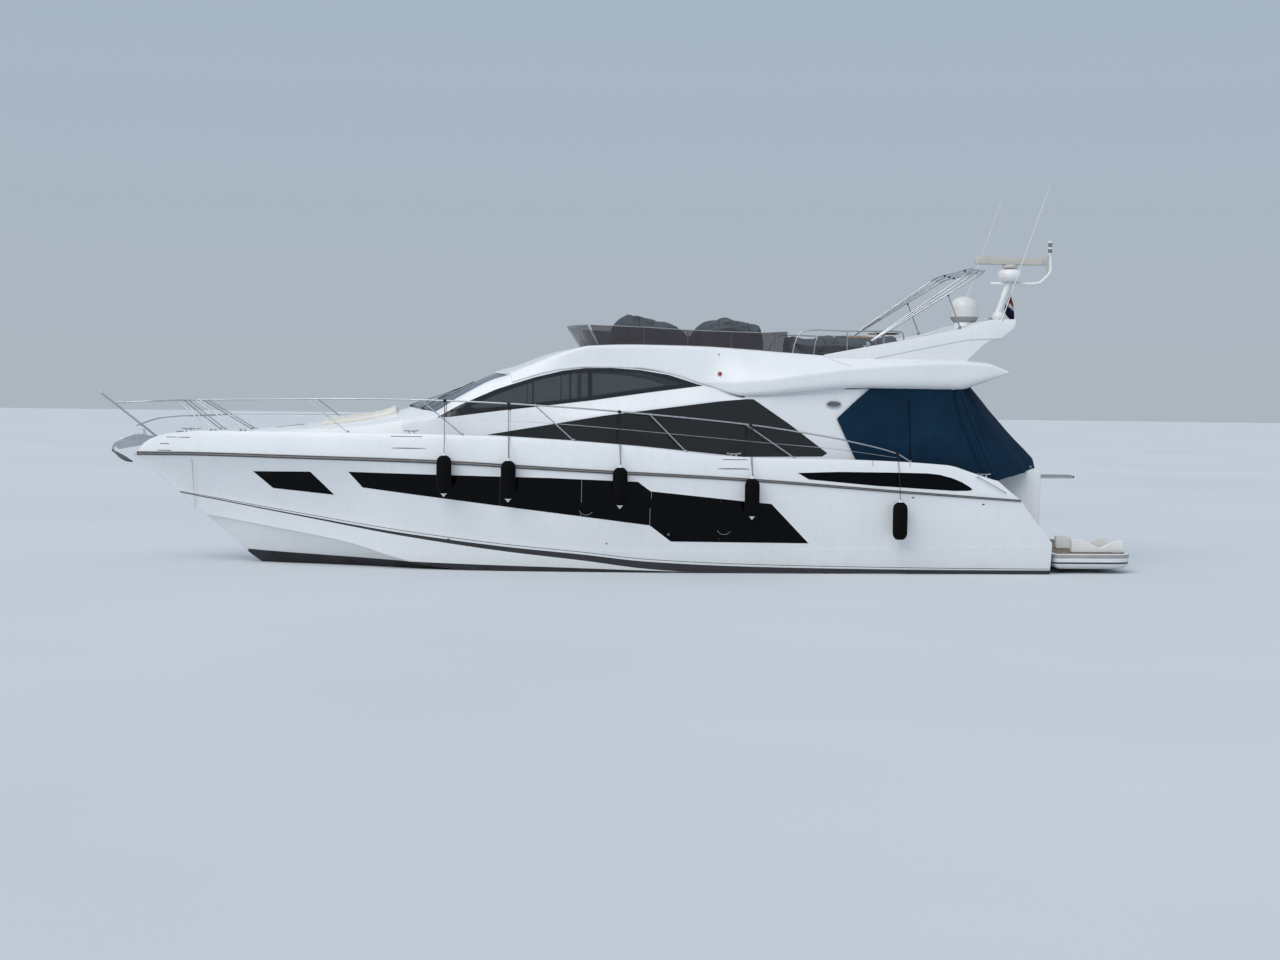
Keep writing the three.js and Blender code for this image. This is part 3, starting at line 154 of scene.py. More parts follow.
FLYBRIDGE = [
    # x, bottom y, bottom z, crease y, crease z, top y, top z, crown z
    (-2950, 1850, 3740, 1800, 3860, 1735, 3975, 4110), (-2520, 1852, 3900, 1825, 3960, 1745, 4130, 4230),
    (-1960, 1852, 4070, 1835, 4130, 1755, 4360, 4450), (-1550, 1850, 4150, 1830, 4220, 1765, 4520, 4570),
    (-1030, 1845, 4195, 1825, 4270, 1770, 4645, 4655), (-80, 1845, 4190, 1830, 4270, 1780, 4680, 4685),
    (600, 1880, 4085, 1880, 4160, 1800, 4675, 4680), (1350, 1950, 3860, 1975, 3900, 1820, 4660, 4665),
    (2200, 2170, 3640, 2190, 3940, 1840, 4615, 4620), (3260, 2270, 3740, 2290, 4090, 1860, 4545, 4550),
    (4500, 2290, 3835, 2310, 4260, 1890, 4480, 4485), (6580, 2240, 3820, 2260, 4390, 1960, 4450, 4455),
    (7180, 2200, 3985, 2220, 4370, 1970, 4420, 4425), (7680, 2120, 4185, 2130, 4220, 1970, 4260, 4265)]
WELL = dict(x0=-930, x1=7100, half=1640, floor=4300)
ARCH_WING = [
    (3800, 4300), (3800, 4520), (5540, 4860), (6900, 5140), (7320, 5300), (7820, 5230), (7860, 5160),
    (7560, 4910), (7370, 4900), (7180, 4770), (6700, 4300)]
ARCH_BEAM = [(6780, 5090), (7320, 5300), (8260, 5345), (8300, 5300), (8240, 5240), (7560, 5130),
        (6900, 4990)]
STANCHIONS = [
    (-8850, -9590), (-8210, -9210), (-5970, -6840), (-3640, -4490), (-1390, -2190), (900, 150),
    (3140, 2120)]
RAIL_POINTS = [
    -10930, -10600, -10200, -9800, -9200, -8400, -7400, -6200, -4800, -3200, -1400, 400, 2200, 3300,
    4300, 5290, 5560]
FENDERS = [(-4010, 2420, 1550), (-2720, 2330, 1460), (-470, 2220, 1350), (2220, 2020, 1150),
        (5290, 1560, 690)]


def sheer_half(x):
    u = min(max((x - STEM_X + 40) / 11500, 0), 1)
    return HALF_BEAM * (1 - (1 - u) ** 2.6) - 130 * max(0, x / TRANSOM_X) ** 2


def bulwark_half(x):
    return sheer_half(x) - min(70, 0.3 * sheer_half(x))


def deck_height(x):
    return bulwark_line(x) - deck_drop(x)


def topside(x, z):
    """Half-breadth of the topside at x and height z, between chine and sheer."""
    chine = max(chine_height(x), keel_line(x) + 30)
    low = min(chine_half(x), 0.9 * sheer_half(x))
    top = max(sheer_line(x), keel_line(x) + 50)
    if z > top:
        t = min((z - top) / max(bulwark_line(x) - top, 1), 1)
        return sheer_half(x) - (sheer_half(x) - bulwark_half(x)) * t ** 1.6
    t = max((z - chine) / max(top - chine, 1), 0)
    spread = sheer_half(x) - low
    return low + (4 * flare(x) - 1) * spread * t + (2 - 4 * flare(x)) * spread * t * t


# Geometry: every maker returns (points in mm, faces, material index of each face)
def frange(a, b, step):
    n = max(1, round((b - a) / step))
    return [a + (b - a) * i / n for i in range(n + 1)]


def loft(rings, tags=None, closed=True, caps=True):
    """A skin over rings of equal length. tags(i, j) gives a face's material index."""
    n = len(rings[0])
    points = [p for ring in rings for p in ring]
    faces, mats = [], []
    for i in range(len(rings) - 1):
        for j in range(n if closed else n - 1):
            k = (j + 1) % n
            faces.append((i * n + j, i * n + k, (i + 1) * n + k, (i + 1) * n + j))
            mats.append(tags(i, j) if tags else 0)
    if caps and closed:
        last = (len(rings) - 1) * n
        faces += [tuple(range(n - 1, -1, -1)), tuple(range(last, last + n))]
        mats += [0, 0]
    return points, faces, mats


def ring_of(x, half):
    """A ring symmetric about the centreline from (y, z) pairs that start and end at y = 0."""
    return [(x, y, z) for y, z in half] + [(x, -y, z) for y, z in reversed(half[1:-1])]


def corner(a, p, b, radius, steps):
    """Points of a round corner at p, from the side towards a to the side towards b."""
    la, lb = math.dist(a, p), math.dist(b, p)
    r = min(radius, 0.45 * la, 0.45 * lb)
    start = tuple(u + (v - u) * r / la for u, v in zip(p, a))
    end = tuple(u + (v - u) * r / lb for u, v in zip(p, b))

    def at(t):
        return tuple((1 - t) ** 2 * u + 2 * t * (1 - t) * v + t * t * w for u, v, w in zip(start, p, end))

    return [start] + [at(s / steps) for s in range(1, steps + 1)]


def fillet(points, radii, steps=4, straights=2):
    """An open line with its inner corners rounded. A radius of None keeps the bare point."""
    out = [points[0]]

    def lead(to):
        a = out[-1]
        for s in range(1, straights):
            t = s / straights
            out.append(tuple(u + (v - u) * t for u, v in zip(a, to)))
        out.append(to)

    for a, p, b, radius in zip(points, points[1:], points[2:], radii):
        if radius is None:
            out.append(p)
            continue
        start, *rest = corner(a, p, b, radius, steps)
        lead(start)
        out += rest
    lead(points[-1])
    return out


def round_outline(points, radius, steps=4):
    """A closed outline with every corner rounded."""
    ahead = points[1:] + points[:1]
    return [q for i, p in enumerate(points) for q in corner(points[i - 1], p, ahead[i], radius, steps)]


def grown(points, distance):
    """A closed outline moved outwards by a distance."""
    n = len(points)
    area = sum(points[i - 1][0] * points[i][1] - points[i][0] * points[i - 1][1] for i in range(n))
    turn = 1 if area > 0 else -1
    out = []
    for i in range(n):
        a, p, b = points[i - 1], points[i], points[(i + 1) % n]
        n1 = (turn * (p[1] - a[1]) / math.dist(a, p), -turn * (p[0] - a[0]) / math.dist(a, p))
        n2 = (turn * (b[1] - p[1]) / math.dist(b, p), -turn * (b[0] - p[0]) / math.dist(b, p))
        s = distance / (1 + n1[0] * n2[0] + n1[1] * n2[1])
        out.append((p[0] + (n1[0] + n2[0]) * s, p[1] + (n1[1] + n2[1]) * s))
    return out


def rectangle(x0, x1, z0, z1):
    return [(x0, z0), (x1, z0), (x1, z1), (x0, z1)]


def soft_rectangle(x0, x1, z0, z1, radius, steps=4):
    return round_outline(rectangle(x0, x1, z0, z1), radius, steps)


def painted(made, mat):
    """A made form with all its faces in one material."""
    return made[0], made[1], [mat] * len(made[1])


def arrays(bm, mat=0):
    """The made form of a bmesh, which is freed."""
    bm.verts.index_update()
    points = [tuple(v.co) for v in bm.verts]
    faces = [tuple(v.index for v in f.verts) for f in bm.faces]
    bm.free()
    return points, faces, [mat] * len(faces)


def prism(outline, low, high, plane="xz", bevel=0, segments=3, mat=0):
    """An outline carried from low to high across its plane, with its edges rounded."""
    ways = {
        "xz": lambda u, v, w: (u, w, v), "xy": lambda u, v, w: (u, v, w),
        "yz": lambda u, v, w: (w, u, v)}
    put = ways[plane]
    bm = bmesh.new()
    a = [bm.verts.new(put(u, v, low)) for u, v in outline]
    b = [bm.verts.new(put(u, v, high)) for u, v in outline]
    bm.faces.new(a)
    bm.faces.new(b)
    for i in range(len(a)):
        bm.faces.new((a[i - 1], a[i], b[i], b[i - 1]))
    bmesh.ops.recalc_face_normals(bm, faces=bm.faces)
    if bevel:
        edges = [e for e in bm.edges if e.calc_face_angle(0) > 0.5]
        bmesh.ops.bevel(bm, geom=edges, offset=bevel, segments=segments, profile=0.5, affect="EDGES",
                clamp_overlap=True)
    return arrays(bm, mat)


def block(x0, x1, y0, y1, z0, z1, bevel=0, segments=3, mat=0):
    return prism(rectangle(x0, x1, y0, y1), z0, z1, "xy", bevel, segments, mat)


def curve_points(points, count):
    """Points evenly in parameter along a centripetal curve through the given ones."""
    pts = [Vector(p) for p in points]
    pts = [pts[0] * 2 - pts[1]] + pts + [pts[-1] * 2 - pts[-2]]
    out = []
    spans = len(pts) - 3
    for s in range(count + 1):
        u = s / count * spans
        i = min(int(u), spans - 1)
        t = u - i
        p0, p1, p2, p3 = pts[i:i + 4]
        knots = [0]
        for a, b in ((p0, p1), (p1, p2), (p2, p3)):
            knots.append(knots[-1] + max((b - a).length, 1e-6) ** 0.5)
        k = knots[1] + t * (knots[2] - knots[1])

        def mix(a, b, lo, hi):
            return a * ((hi - k) / (hi - lo)) + b * ((k - lo) / (hi - lo))

        a1 = mix(p0, p1, knots[0], knots[1])
        a2 = mix(p1, p2, knots[1], knots[2])
        a3 = mix(p2, p3, knots[2], knots[3])
        b1, b2 = mix(a1, a2, knots[0], knots[2]), mix(a2, a3, knots[1], knots[3])
        out.append(mix(b1, b2, knots[1], knots[2]))
    return out


def tube(points, radius, sides=12, smooth=0, mat=0, end_radius=None):
    """A round tube along points, or along a smooth curve through them in that many steps."""
    pts = curve_points(points, smooth) if smooth else [Vector(p) for p in points]
    tangent = [((pts[min(i + 1, len(pts) - 1)] - pts[max(i - 1, 0)])).normalized() for i in range(len(pts))]
    side = tangent[0].orthogonal().normalized()
    rings = []
    for i, (p, t) in enumerate(zip(pts, tangent)):
        side = (side - t * side.dot(t)).normalized()
        up = t.cross(side)
        share = i / max(len(pts) - 1, 1)
        r = radius if end_radius is None else radius + (end_radius - radius) * share
        rings.append([tuple(p + (side * math.cos(a) + up * math.sin(a)) * r)
                      for a in (2 * math.pi * k / sides for k in range(sides))])
    return painted(loft(rings), mat)


def lathe(profile, at=(0, 0, 0), axis=(0, 0, 1), segments=28, mat=0):
    """A turned form. profile is (radius, height) along the axis from at."""
    turn = Vector((0, 0, 1)).rotation_difference(Vector(axis)).to_matrix()
    points, faces = [], []
    rows = []
    for r, h in profile:
        if r < 1e-4:
            rows.append([len(points)])
            points.append(tuple(turn @ Vector((0, 0, h)) + Vector(at)))
            continue
        rows.append(list(range(len(points), len(points) + segments)))
        for k in range(segments):
            a = 2 * math.pi * k / segments
            points.append(tuple(turn @ Vector((r * math.cos(a), r * math.sin(a), h)) + Vector(at)))
    for low, high in zip(rows, rows[1:]):
        for k in range(segments):
            m = (k + 1) % segments
            if len(low) == 1 and len(high) == 1:
                continue
            if len(low) == 1:
                faces.append((low[0], high[m], high[k]))
            elif len(high) == 1:
                faces.append((low[k], low[m], high[0]))
            else:
                faces.append((low[k], low[m], high[m], high[k]))
    for row, flip in ((rows[0], True), (rows[-1], False)):
        if len(row) > 1:
            faces.append(tuple(reversed(row)) if flip else tuple(row))
    return points, faces, [mat] * len(faces)


def moved(made, offset=(0, 0, 0), matrix=None, mirror=False, mat=None):
    """A copy of a made form, turned, mirrored to the other side or given another material."""
    points, faces, mats = made
    turn = matrix or Matrix()
    points = [tuple(turn @ Vector(p) + Vector(offset)) for p in points]
    if mirror:
        points = [(x, -y, z) for x, y, z in points]
        faces = [tuple(reversed(f)) for f in faces]
    return points, faces, (list(mats) if mat is None else [mat] * len(faces))


def both(made):
    return [made, moved(made, mirror=True)]


def build(name, forms, materials, body=ROOT, slot=None, replaces=(), angle=32, ride=True):
    """One piece from made forms, with its edges over the angle sharp. The slot argument is not used."""
    forms = forms if isinstance(forms, list) else [forms]
    points, faces, mats = [], [], []
    for p, f, m in forms:
        base = len(points)
        points += [tuple(c * MM for c in q) for q in p]
        faces += [tuple(i + base for i in face) for face in f]
        mats += m
    mesh = bpy.data.meshes.new(name)
    mesh.from_pydata(points, [], faces)
    for material in materials:
        mesh.materials.append(material)
    mesh.polygons.foreach_set("material_index", mats)
    obj = bpy.data.objects.new(name, mesh)
    bpy.context.scene.collection.objects.link(obj)
    sharpen(obj, angle)
    if ride:
        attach(obj, body)
        if replaces:
            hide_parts(*replaces)
    return obj


def sharpen(obj, angle=32):
    bm = bmesh.new()
    bm.from_mesh(obj.data)
    bmesh.ops.recalc_face_normals(bm, faces=bm.faces)
    limit = math.radians(angle)
    for face in bm.faces:
        face.smooth = True
    for edge in bm.edges:
        edge.smooth = edge.is_boundary or edge.calc_face_angle(0) < limit
    bm.to_mesh(obj.data)
    bm.free()


def boolean(obj, cutter, operation="DIFFERENCE"):
    """Cuts, joins or clips obj by a form and keeps the result in its mesh."""
    tool = build("cutter", cutter, list(obj.data.materials), ride=False)
    change = obj.modifiers.new("cut", "BOOLEAN")
    change.operation = operation
    change.solver = "MANIFOLD"
    change.object = tool
    graph = bpy.context.evaluated_depsgraph_get()
    mesh = bpy.data.meshes.new_from_object(obj.evaluated_get(graph))
    obj.modifiers.clear()
    old = obj.data
    obj.data = mesh
    bpy.data.meshes.remove(old)
    bpy.data.objects.remove(tool)
    if not mesh.polygons:
        raise SystemExit(obj.name + " is empty after a cut")
    return obj


def cut(obj, *forms):
    for form in forms:
        boolean(obj, form)
    return obj


def clip(obj, *forms):
    for form in forms:
        boolean(obj, form, "INTERSECT")
    return obj


def settle(obj, angle=32):
    """Splits the many-sided faces that a cut leaves and sets the sharp edges again."""
    bm = bmesh.new()
    bm.from_mesh(obj.data)
    bmesh.ops.triangulate(bm, faces=[face for face in bm.faces if len(face.verts) > 6])
    bm.to_mesh(obj.data)
    bm.free()
    sharpen(obj, angle)
    return obj


def in_one(obj, material):
    """Puts every face of obj in one material."""
    obj.data.materials.clear()
    obj.data.materials.append(material)
    for polygon in obj.data.polygons:
        polygon.material_index = 0


def form_of(obj, keep=False):
    """The mesh of an object as a made form, in mm."""
    mesh = obj.data
    points = [tuple(c / MM for c in v.co) for v in mesh.vertices]
    faces = [tuple(p.vertices) for p in mesh.polygons]
    mats = [p.material_index for p in mesh.polygons]
    if not keep:
        bpy.data.objects.remove(obj)
    return points, faces, mats


def mirrored(obj, name, angle=32, **more):
    """The same piece on the starboard side."""
    form = moved(form_of(obj, keep=True), mirror=True)
    return settle(build(name, form, list(obj.data.materials), **more), angle)


# Materials
def shader(name, color, rough=0.4, metal=0.0, **more):
    mat = bpy.data.materials.new(name)
    mat.use_nodes = True
    surface = mat.node_tree.nodes["Principled BSDF"]
    surface.inputs["Base Color"].default_value = (*color, 1)
    surface.inputs["Roughness"].default_value = rough
    surface.inputs["Metallic"].default_value = metal
    for key, value in more.items():
        surface.inputs[key.replace("_", " ")].default_value = value
    mat.diffuse_color = (*color, 1)
    return mat, mat.node_tree, surface


def add(tree, kind, links=(), **values):
    node = tree.nodes.new(kind)
    for key, value in values.items():
        if hasattr(node, key):
            setattr(node, key, value)
        else:
            node.inputs[key.replace("_", " ")].default_value = value
    for socket, source in links:
        tree.links.new(source, node.inputs[socket])
    return node


def noise(tree, scale, detail=4, stretch=(1, 1, 1)):
    coords = add(tree, "ShaderNodeTexCoord")
    place = add(tree, "ShaderNodeMapping", [("Vector", coords.outputs["Object"])])
    place.inputs["Scale"].default_value = stretch
    grain = add(tree, "ShaderNodeTexNoise", [("Vector", place.outputs[0])], Scale=scale, Detail=detail)
    return grain.outputs["Fac"]


def ramp(tree, source, stops):
    node = add(tree, "ShaderNodeValToRGB", [("Fac", source)])
    while len(node.color_ramp.elements) < len(stops):
        node.color_ramp.elements.new(0.5)
    for element, (place, color) in zip(node.color_ramp.elements, stops):
        element.position = place
        element.color = (*color, 1)
    return node.outputs["Color"]


def soft_tone(tree, scale, detail, color, dark):
    """A colour that goes down to a share of itself in soft patches."""
    return ramp(tree, noise(tree, scale, detail), [(0.3, tuple(c * dark for c in color)), (0.7, color)])


def spread(tree, source, low, high, start=0.3, end=0.7):
    node = add(tree, "ShaderNodeMapRange", [("Value", source)])
    for key, value in (("From Min", start), ("From Max", end), ("To Min", low), ("To Max", high)):
        node.inputs[key].default_value = value
    return node.outputs["Result"]


def bump(tree, surface, height, strength, distance):
    node = add(tree, "ShaderNodeBump", [("Height", height)], Strength=strength, Distance=distance)
    before = surface.inputs["Normal"].links
    if before:
        tree.links.new(before[0].from_socket, node.inputs["Normal"])
    tree.links.new(node.outputs["Normal"], surface.inputs["Normal"])


def finish(name, color, rough, metal=0.0, shade=0.06, patch=1.5, wear=0.06, grain=0.0, grain_scale=300,
           stretch=(1, 1, 1), distance=0.0005, **more):
    """A surface whose colour and gloss vary in soft patches, with a fine grain."""
    mat, tree, surface = shader(name, color, rough, metal, **more)
    patches = noise(tree, patch, 6, stretch)
    dark = tuple(max(c * (1 - shade), 0) for c in color)
    light = tuple(min(c * (1 + shade * 0.6), 1) for c in color)
    tree.links.new(ramp(tree, patches, [(0.3, dark), (0.7, light)]), surface.inputs["Base Color"])
    gloss = spread(tree, noise(tree, patch * 4, 5, stretch), max(rough - wear, 0.02), rough + wear)
    tree.links.new(gloss, surface.inputs["Roughness"])
    if grain:
        bump(tree, surface, noise(tree, grain_scale, 3, stretch), grain, distance)
    return mat


def axes_of(tree):
    coords = add(tree, "ShaderNodeTexCoord")
    split = add(tree, "ShaderNodeSeparateXYZ", [("Vector", coords.outputs["Object"])])
    return split.outputs


def gelcoat_material(name, color, rough=0.3):
    """Polished moulding with faint waves, rain streaks and a scum line just over the water."""
    mat, tree, surface = shader(name, color, rough, Coat_Weight=0.12, Coat_Roughness=0.12)
    base = soft_tone(tree, 0.7, 5, color, 0.95)
    streaks = noise(tree, 5.0, 4, (2.2, 2.2, 0.12))
    streak = add(tree, "ShaderNodeMix", data_type="RGBA")
    tree.links.new(spread(tree, streaks, 0.0, 0.35, 0.55, 0.8), streak.inputs["Factor"])
    tree.links.new(base, streak.inputs[6])
    streak.inputs[7].default_value = (color[0] * 0.84, color[1] * 0.84, color[2] * 0.80, 1)
    scum = add(tree, "ShaderNodeMix", data_type="RGBA")
    level = spread(tree, axes_of(tree)["Z"], 0.5, 0.0, 0.02, 0.35)
    ragged = add(tree, "ShaderNodeMath", [(0, level), (1, noise(tree, 3.0, 6))], operation="MULTIPLY")
    tree.links.new(ragged.outputs[0], scum.inputs["Factor"])
    tree.links.new(streak.outputs[2], scum.inputs[6])
    scum.inputs[7].default_value = (0.50, 0.50, 0.38, 1)
    tree.links.new(scum.outputs[2], surface.inputs["Base Color"])
    tree.links.new(spread(tree, noise(tree, 2.5, 5), rough - 0.06, rough + 0.08),
            surface.inputs["Roughness"])
    bump(tree, surface, noise(tree, 1.1, 2), 0.05, 0.01)
    bump(tree, surface, noise(tree, 140, 2), 0.03, 0.0005)
    return mat


def glass_material(name, color, alpha, rough=0.04, gloss=0.5):
    mat, tree, surface = shader(name, color, rough, Specular_IOR_Level=gloss)
    surface.inputs["Alpha"].default_value = alpha
    tree.links.new(spread(tree, noise(tree, 6, 5), rough, rough + 0.06), surface.inputs["Roughness"])
    tree.links.new(soft_tone(tree, 0.9, 3, color, 0.8), surface.inputs["Base Color"])
    bump(tree, surface, noise(tree, 0.8, 2), 0.04, 0.01)
    return mat


def weave_material(name, color, scale, rough=0.85, shade=0.15, strength=0.4, dust=0.5):
    """Woven cloth: crossing threads, soft fading and an uneven dusty bump."""
    mat, tree, surface = shader(name, color, rough, Specular_IOR_Level=0.12)
    coords = add(tree, "ShaderNodeTexCoord")
    threads = []
    for direction in ("X", "Z"):
        wave = add(tree, "ShaderNodeTexWave", [("Vector", coords.outputs["Object"])], wave_type="BANDS",
                   bands_direction=direction, Scale=scale, Distortion=0.6)
        threads.append(wave.outputs["Fac"])
    both_ways = add(tree, "ShaderNodeMath", [(0, threads[0]), (1, threads[1])], operation="MAXIMUM")
    faded = ramp(tree, noise(tree, 1.6, 6), [
        (0.28, tuple(c * (1 - shade) for c in color)), (0.55, color),
        (0.75, tuple(min(c * (1 + shade), 1) for c in color))])
    tree.links.new(faded, surface.inputs["Base Color"])
    bump(tree, surface, both_ways.outputs[0], strength, 0.0006)
    bump(tree, surface, noise(tree, 5, 5), dust, 0.004)
    return mat


def teak_material(name, plank=0.06, tone=1.0):
    """Planks with dark seams and long grain, weathered to silver-brown."""
    mat, tree, surface = shader(name, (0.42, 0.30, 0.19), 0.7)
    scaled = add(tree, "ShaderNodeMath", [(0, axes_of(tree)["Y"])], operation="DIVIDE")
    scaled.inputs[1].default_value = plank
    part = add(tree, "ShaderNodeMath", [(0, scaled.outputs[0])], operation="FRACT")
    seam = spread(tree, part.outputs[0], 0.0, 1.0, 0.0, 0.07)
    grain = noise(tree, 30, 6, (0.06, 1, 1))
    wood = ramp(tree, grain, [(at, tuple(c * tone for c in tint)) for at, tint in (
        (0.25, (0.26, 0.18, 0.11)), (0.5, (0.44, 0.32, 0.21)), (0.8, (0.56, 0.45, 0.33)))])
    joined = add(tree, "ShaderNodeMix", data_type="RGBA")
    joined.inputs[6].default_value = (0.02, 0.02, 0.02, 1)
    tree.links.new(wood, joined.inputs[7])
    tree.links.new(seam, joined.inputs["Factor"])
    tree.links.new(joined.outputs[2], surface.inputs["Base Color"])
    bump(tree, surface, seam, 0.5, 0.002)
    bump(tree, surface, grain, 0.25, 0.0008)
    return mat


def nonskid_material(name, color):
    mat, tree, surface = shader(name, color, 0.6)
    coords = add(tree, "ShaderNodeTexCoord")
    cells = add(tree, "ShaderNodeTexVoronoi", [("Vector", coords.outputs["Object"])], Scale=120)
    tree.links.new(soft_tone(tree, 1.3, 6, color, 0.9), surface.inputs["Base Color"])
    bump(tree, surface, cells.outputs["Distance"], 0.6, 0.0015)
    return mat


WHITE = gelcoat_material("gelcoat", (0.80, 0.815, 0.83))
STRIPE = finish("stripe_paint", (0.012, 0.013, 0.016), 0.14, shade=0.4, patch=0.8, grain=0.04,
        grain_scale=150, Coat_Weight=0.5)
ANTIFOUL = finish("antifouling", (0.018, 0.02, 0.024), 0.6, shade=0.5, patch=2.2, wear=0.1, grain=0.3,
        grain_scale=60, distance=0.002)
NONSKID = nonskid_material("deck_nonskid", (0.70, 0.71, 0.70))
STEEL = finish("stainless", (0.50, 0.51, 0.53), 0.30, 1.0, shade=0.12, patch=3.0, wear=0.06, grain=0.015,
        grain_scale=160, distance=0.0002)
WORN_STEEL = finish("worn_steel", (0.50, 0.50, 0.50), 0.34, 1.0, shade=0.25, patch=9.0, wear=0.12,
        grain=0.2, grain_scale=90, distance=0.001)
BRONZE = finish("bronze", (0.52, 0.36, 0.18), 0.36, 1.0, shade=0.3, patch=7.0, wear=0.12, grain=0.15,
        grain_scale=160)
BLACK_GLASS = glass_material("black_glass", (0.0015, 0.002, 0.0032), 1.0, 0.04, 0.09)
TINTED = glass_material("tinted_glass", (0.040, 0.048, 0.050), 0.50, 0.04, 0.9)
SCREEN_GLASS = glass_material("screen_glass", (0.10, 0.125, 0.15), 0.76, 0.04, 0.9)
DARK_TINT = glass_material("dark_tint", (0.016, 0.018, 0.019), 0.88, 0.04, 0.5)
SMOKE = glass_material("smoked_acrylic", (0.060, 0.052, 0.060), 0.56, 0.06, 0.4)
FRIT = finish("black_border", (0.012, 0.013, 0.014), 0.12, shade=0.3, patch=2.0, wear=0.04, grain=0.03,
        grain_scale=200)
NAVY = weave_material("navy_canvas", (0.0048, 0.023, 0.050), 450, shade=0.2, dust=0.35)
GREY_CLOTH = weave_material("cover_cloth", (0.090, 0.100, 0.111), 420, shade=0.2, dust=0.5)
BLACK_CLOTH = weave_material("fender_cover", (0.002, 0.002, 0.0025), 300, shade=0.4, strength=0.8, dust=0.6)
VINYL = finish("vinyl", (0.72, 0.69, 0.62), 0.48, shade=0.08, patch=4.0, grain=0.25, grain_scale=260,
        distance=0.0006)
RUBBER = finish("rubber", (0.02, 0.02, 0.021), 0.55, shade=0.3, patch=6.0, grain=0.2, grain_scale=220)
PLASTIC = finish("white_plastic", (0.74, 0.745, 0.73), 0.34, shade=0.06, patch=3.0, grain=0.06,
        grain_scale=300)
GREY_PLASTIC = finish("grey_plastic", (0.33, 0.34, 0.34), 0.5, shade=0.12, patch=4.0, grain=0.15,
        grain_scale=240)
RADAR_GREY = finish("radar_plastic", (0.50, 0.49, 0.44), 0.4, shade=0.08, patch=3.0, grain=0.08,
        grain_scale=260)
PAINT = finish("white_paint", (0.78, 0.785, 0.78), 0.3, shade=0.07, patch=3.0, grain=0.08, grain_scale=200,
        Coat_Weight=0.3)
ROPE_WHITE = finish("rope_pale", (0.52, 0.50, 0.46), 0.85, shade=0.2, patch=30.0, grain=0.8,
        grain_scale=300, distance=0.002)
ROPE_BLACK = finish("rope_black", (0.010, 0.009, 0.012), 0.8, shade=0.4, patch=30.0, grain=0.8,
        grain_scale=300, distance=0.002)
TEAK = teak_material("teak")
WET_TEAK = teak_material("wet_teak", tone=0.42)
DARK_TRIM = finish("dark_trim", (0.03, 0.031, 0.033), 0.4, shade=0.3, patch=5.0, grain=0.1, grain_scale=200)
STRAKE = finish("strake_base", (0.075, 0.07, 0.068), 0.45, shade=0.2, patch=3.0, grain=0.1, grain_scale=200)
STRAKE_CAP = finish("strake_cap", (0.30, 0.29, 0.28), 0.32, 0.8, shade=0.15, patch=4.0, grain=0.06,
        grain_scale=300)
# Painted shade: the fluke of the stainless anchor is given a dark steel for the shade on its underside.
FLUKE_SHADE = finish("fluke_painted_shade", (0.10, 0.10, 0.10), 0.35, 1.0, shade=0.3, patch=9.0, wear=0.12, grain=0.2,
        grain_scale=90)
RED = glass_material("red_lens", (0.35, 0.01, 0.01), 1.0, 0.08)
GREEN = glass_material("green_lens", (0.01, 0.22, 0.06), 1.0, 0.08)
CLEAR = glass_material("clear_lens", (0.24, 0.24, 0.22), 0.85, 0.08)
CABIN = finish("cabin_lining", (0.30, 0.24, 0.18), 0.6, shade=0.2, patch=2.0, grain=0.1)


# Hull
def bottom_rows(x, keel, chine, half):
    """Rows from the keel to the flat at the chine, with one on the edge of the antifouling."""
    paint = antifoul_line(x)
    flat = min(60, 0.3 * half)
    wet = 1 if paint > keel else 0

    def row(z, tag):
        return (half - flat) * max((z - keel) / (chine - 8 - keel), 0) ** 0.94, z, tag

    mark = min(max(paint, keel + 1), chine - 10)
    rows = [(0, keel, wet)]
    rows += [row(keel + (mark - keel) * t / 6, wet) for t in range(1, 6)]
    rows += [row(mark + (chine - 9 - mark) * t / 4, 0) for t in range(4)]
    return rows + [(half - flat, chine - 8, 1 if paint > chine else 0)]


def topside_rows(x, chine, top):
    """Rows from the chine to the sheer, with one on each edge of the paints and on the step."""
    paint, line = antifoul_line(x), stripe_line(x)
    band = line - 12 - stripe_gap(x)
    striped = 2 if x > STRIPE_START_X else 0
    marks = [
        (chine, 2, 1 if paint > chine else 0), (paint, 5, 0), (band - stripe_depth(x), 1, striped),
        (band, 1, 0), (line - 12, 1, striped), (line, 4, 0), (max(knuckle_line(x), line + 20), 14, 0),
        (top, 0, 0)]
    fixed = []
    level = chine
    for z, count, tag in marks:
        ceiling = top - 0.6 * (len(marks) - len(fixed)) if len(fixed) < len(marks) - 1 else top
        level = min(max(z, level + 0.6), ceiling)
        fixed.append((level, count, tag))
    step = 14 * min(max((x - 600) / 600, 0), 1)
    rows = []
    for i, (z, count, tag) in enumerate(fixed[:-1]):
        after = fixed[i + 1][0]
        proud = step if i < 6 else 0
        for s in range(count):
            at = z + (after - z) * s / count
            rows.append((topside(x, at) + proud, at, tag))
        if i == 5:
            rows.append((topside(x, after) + proud, after - 0.4, 0))
    return rows


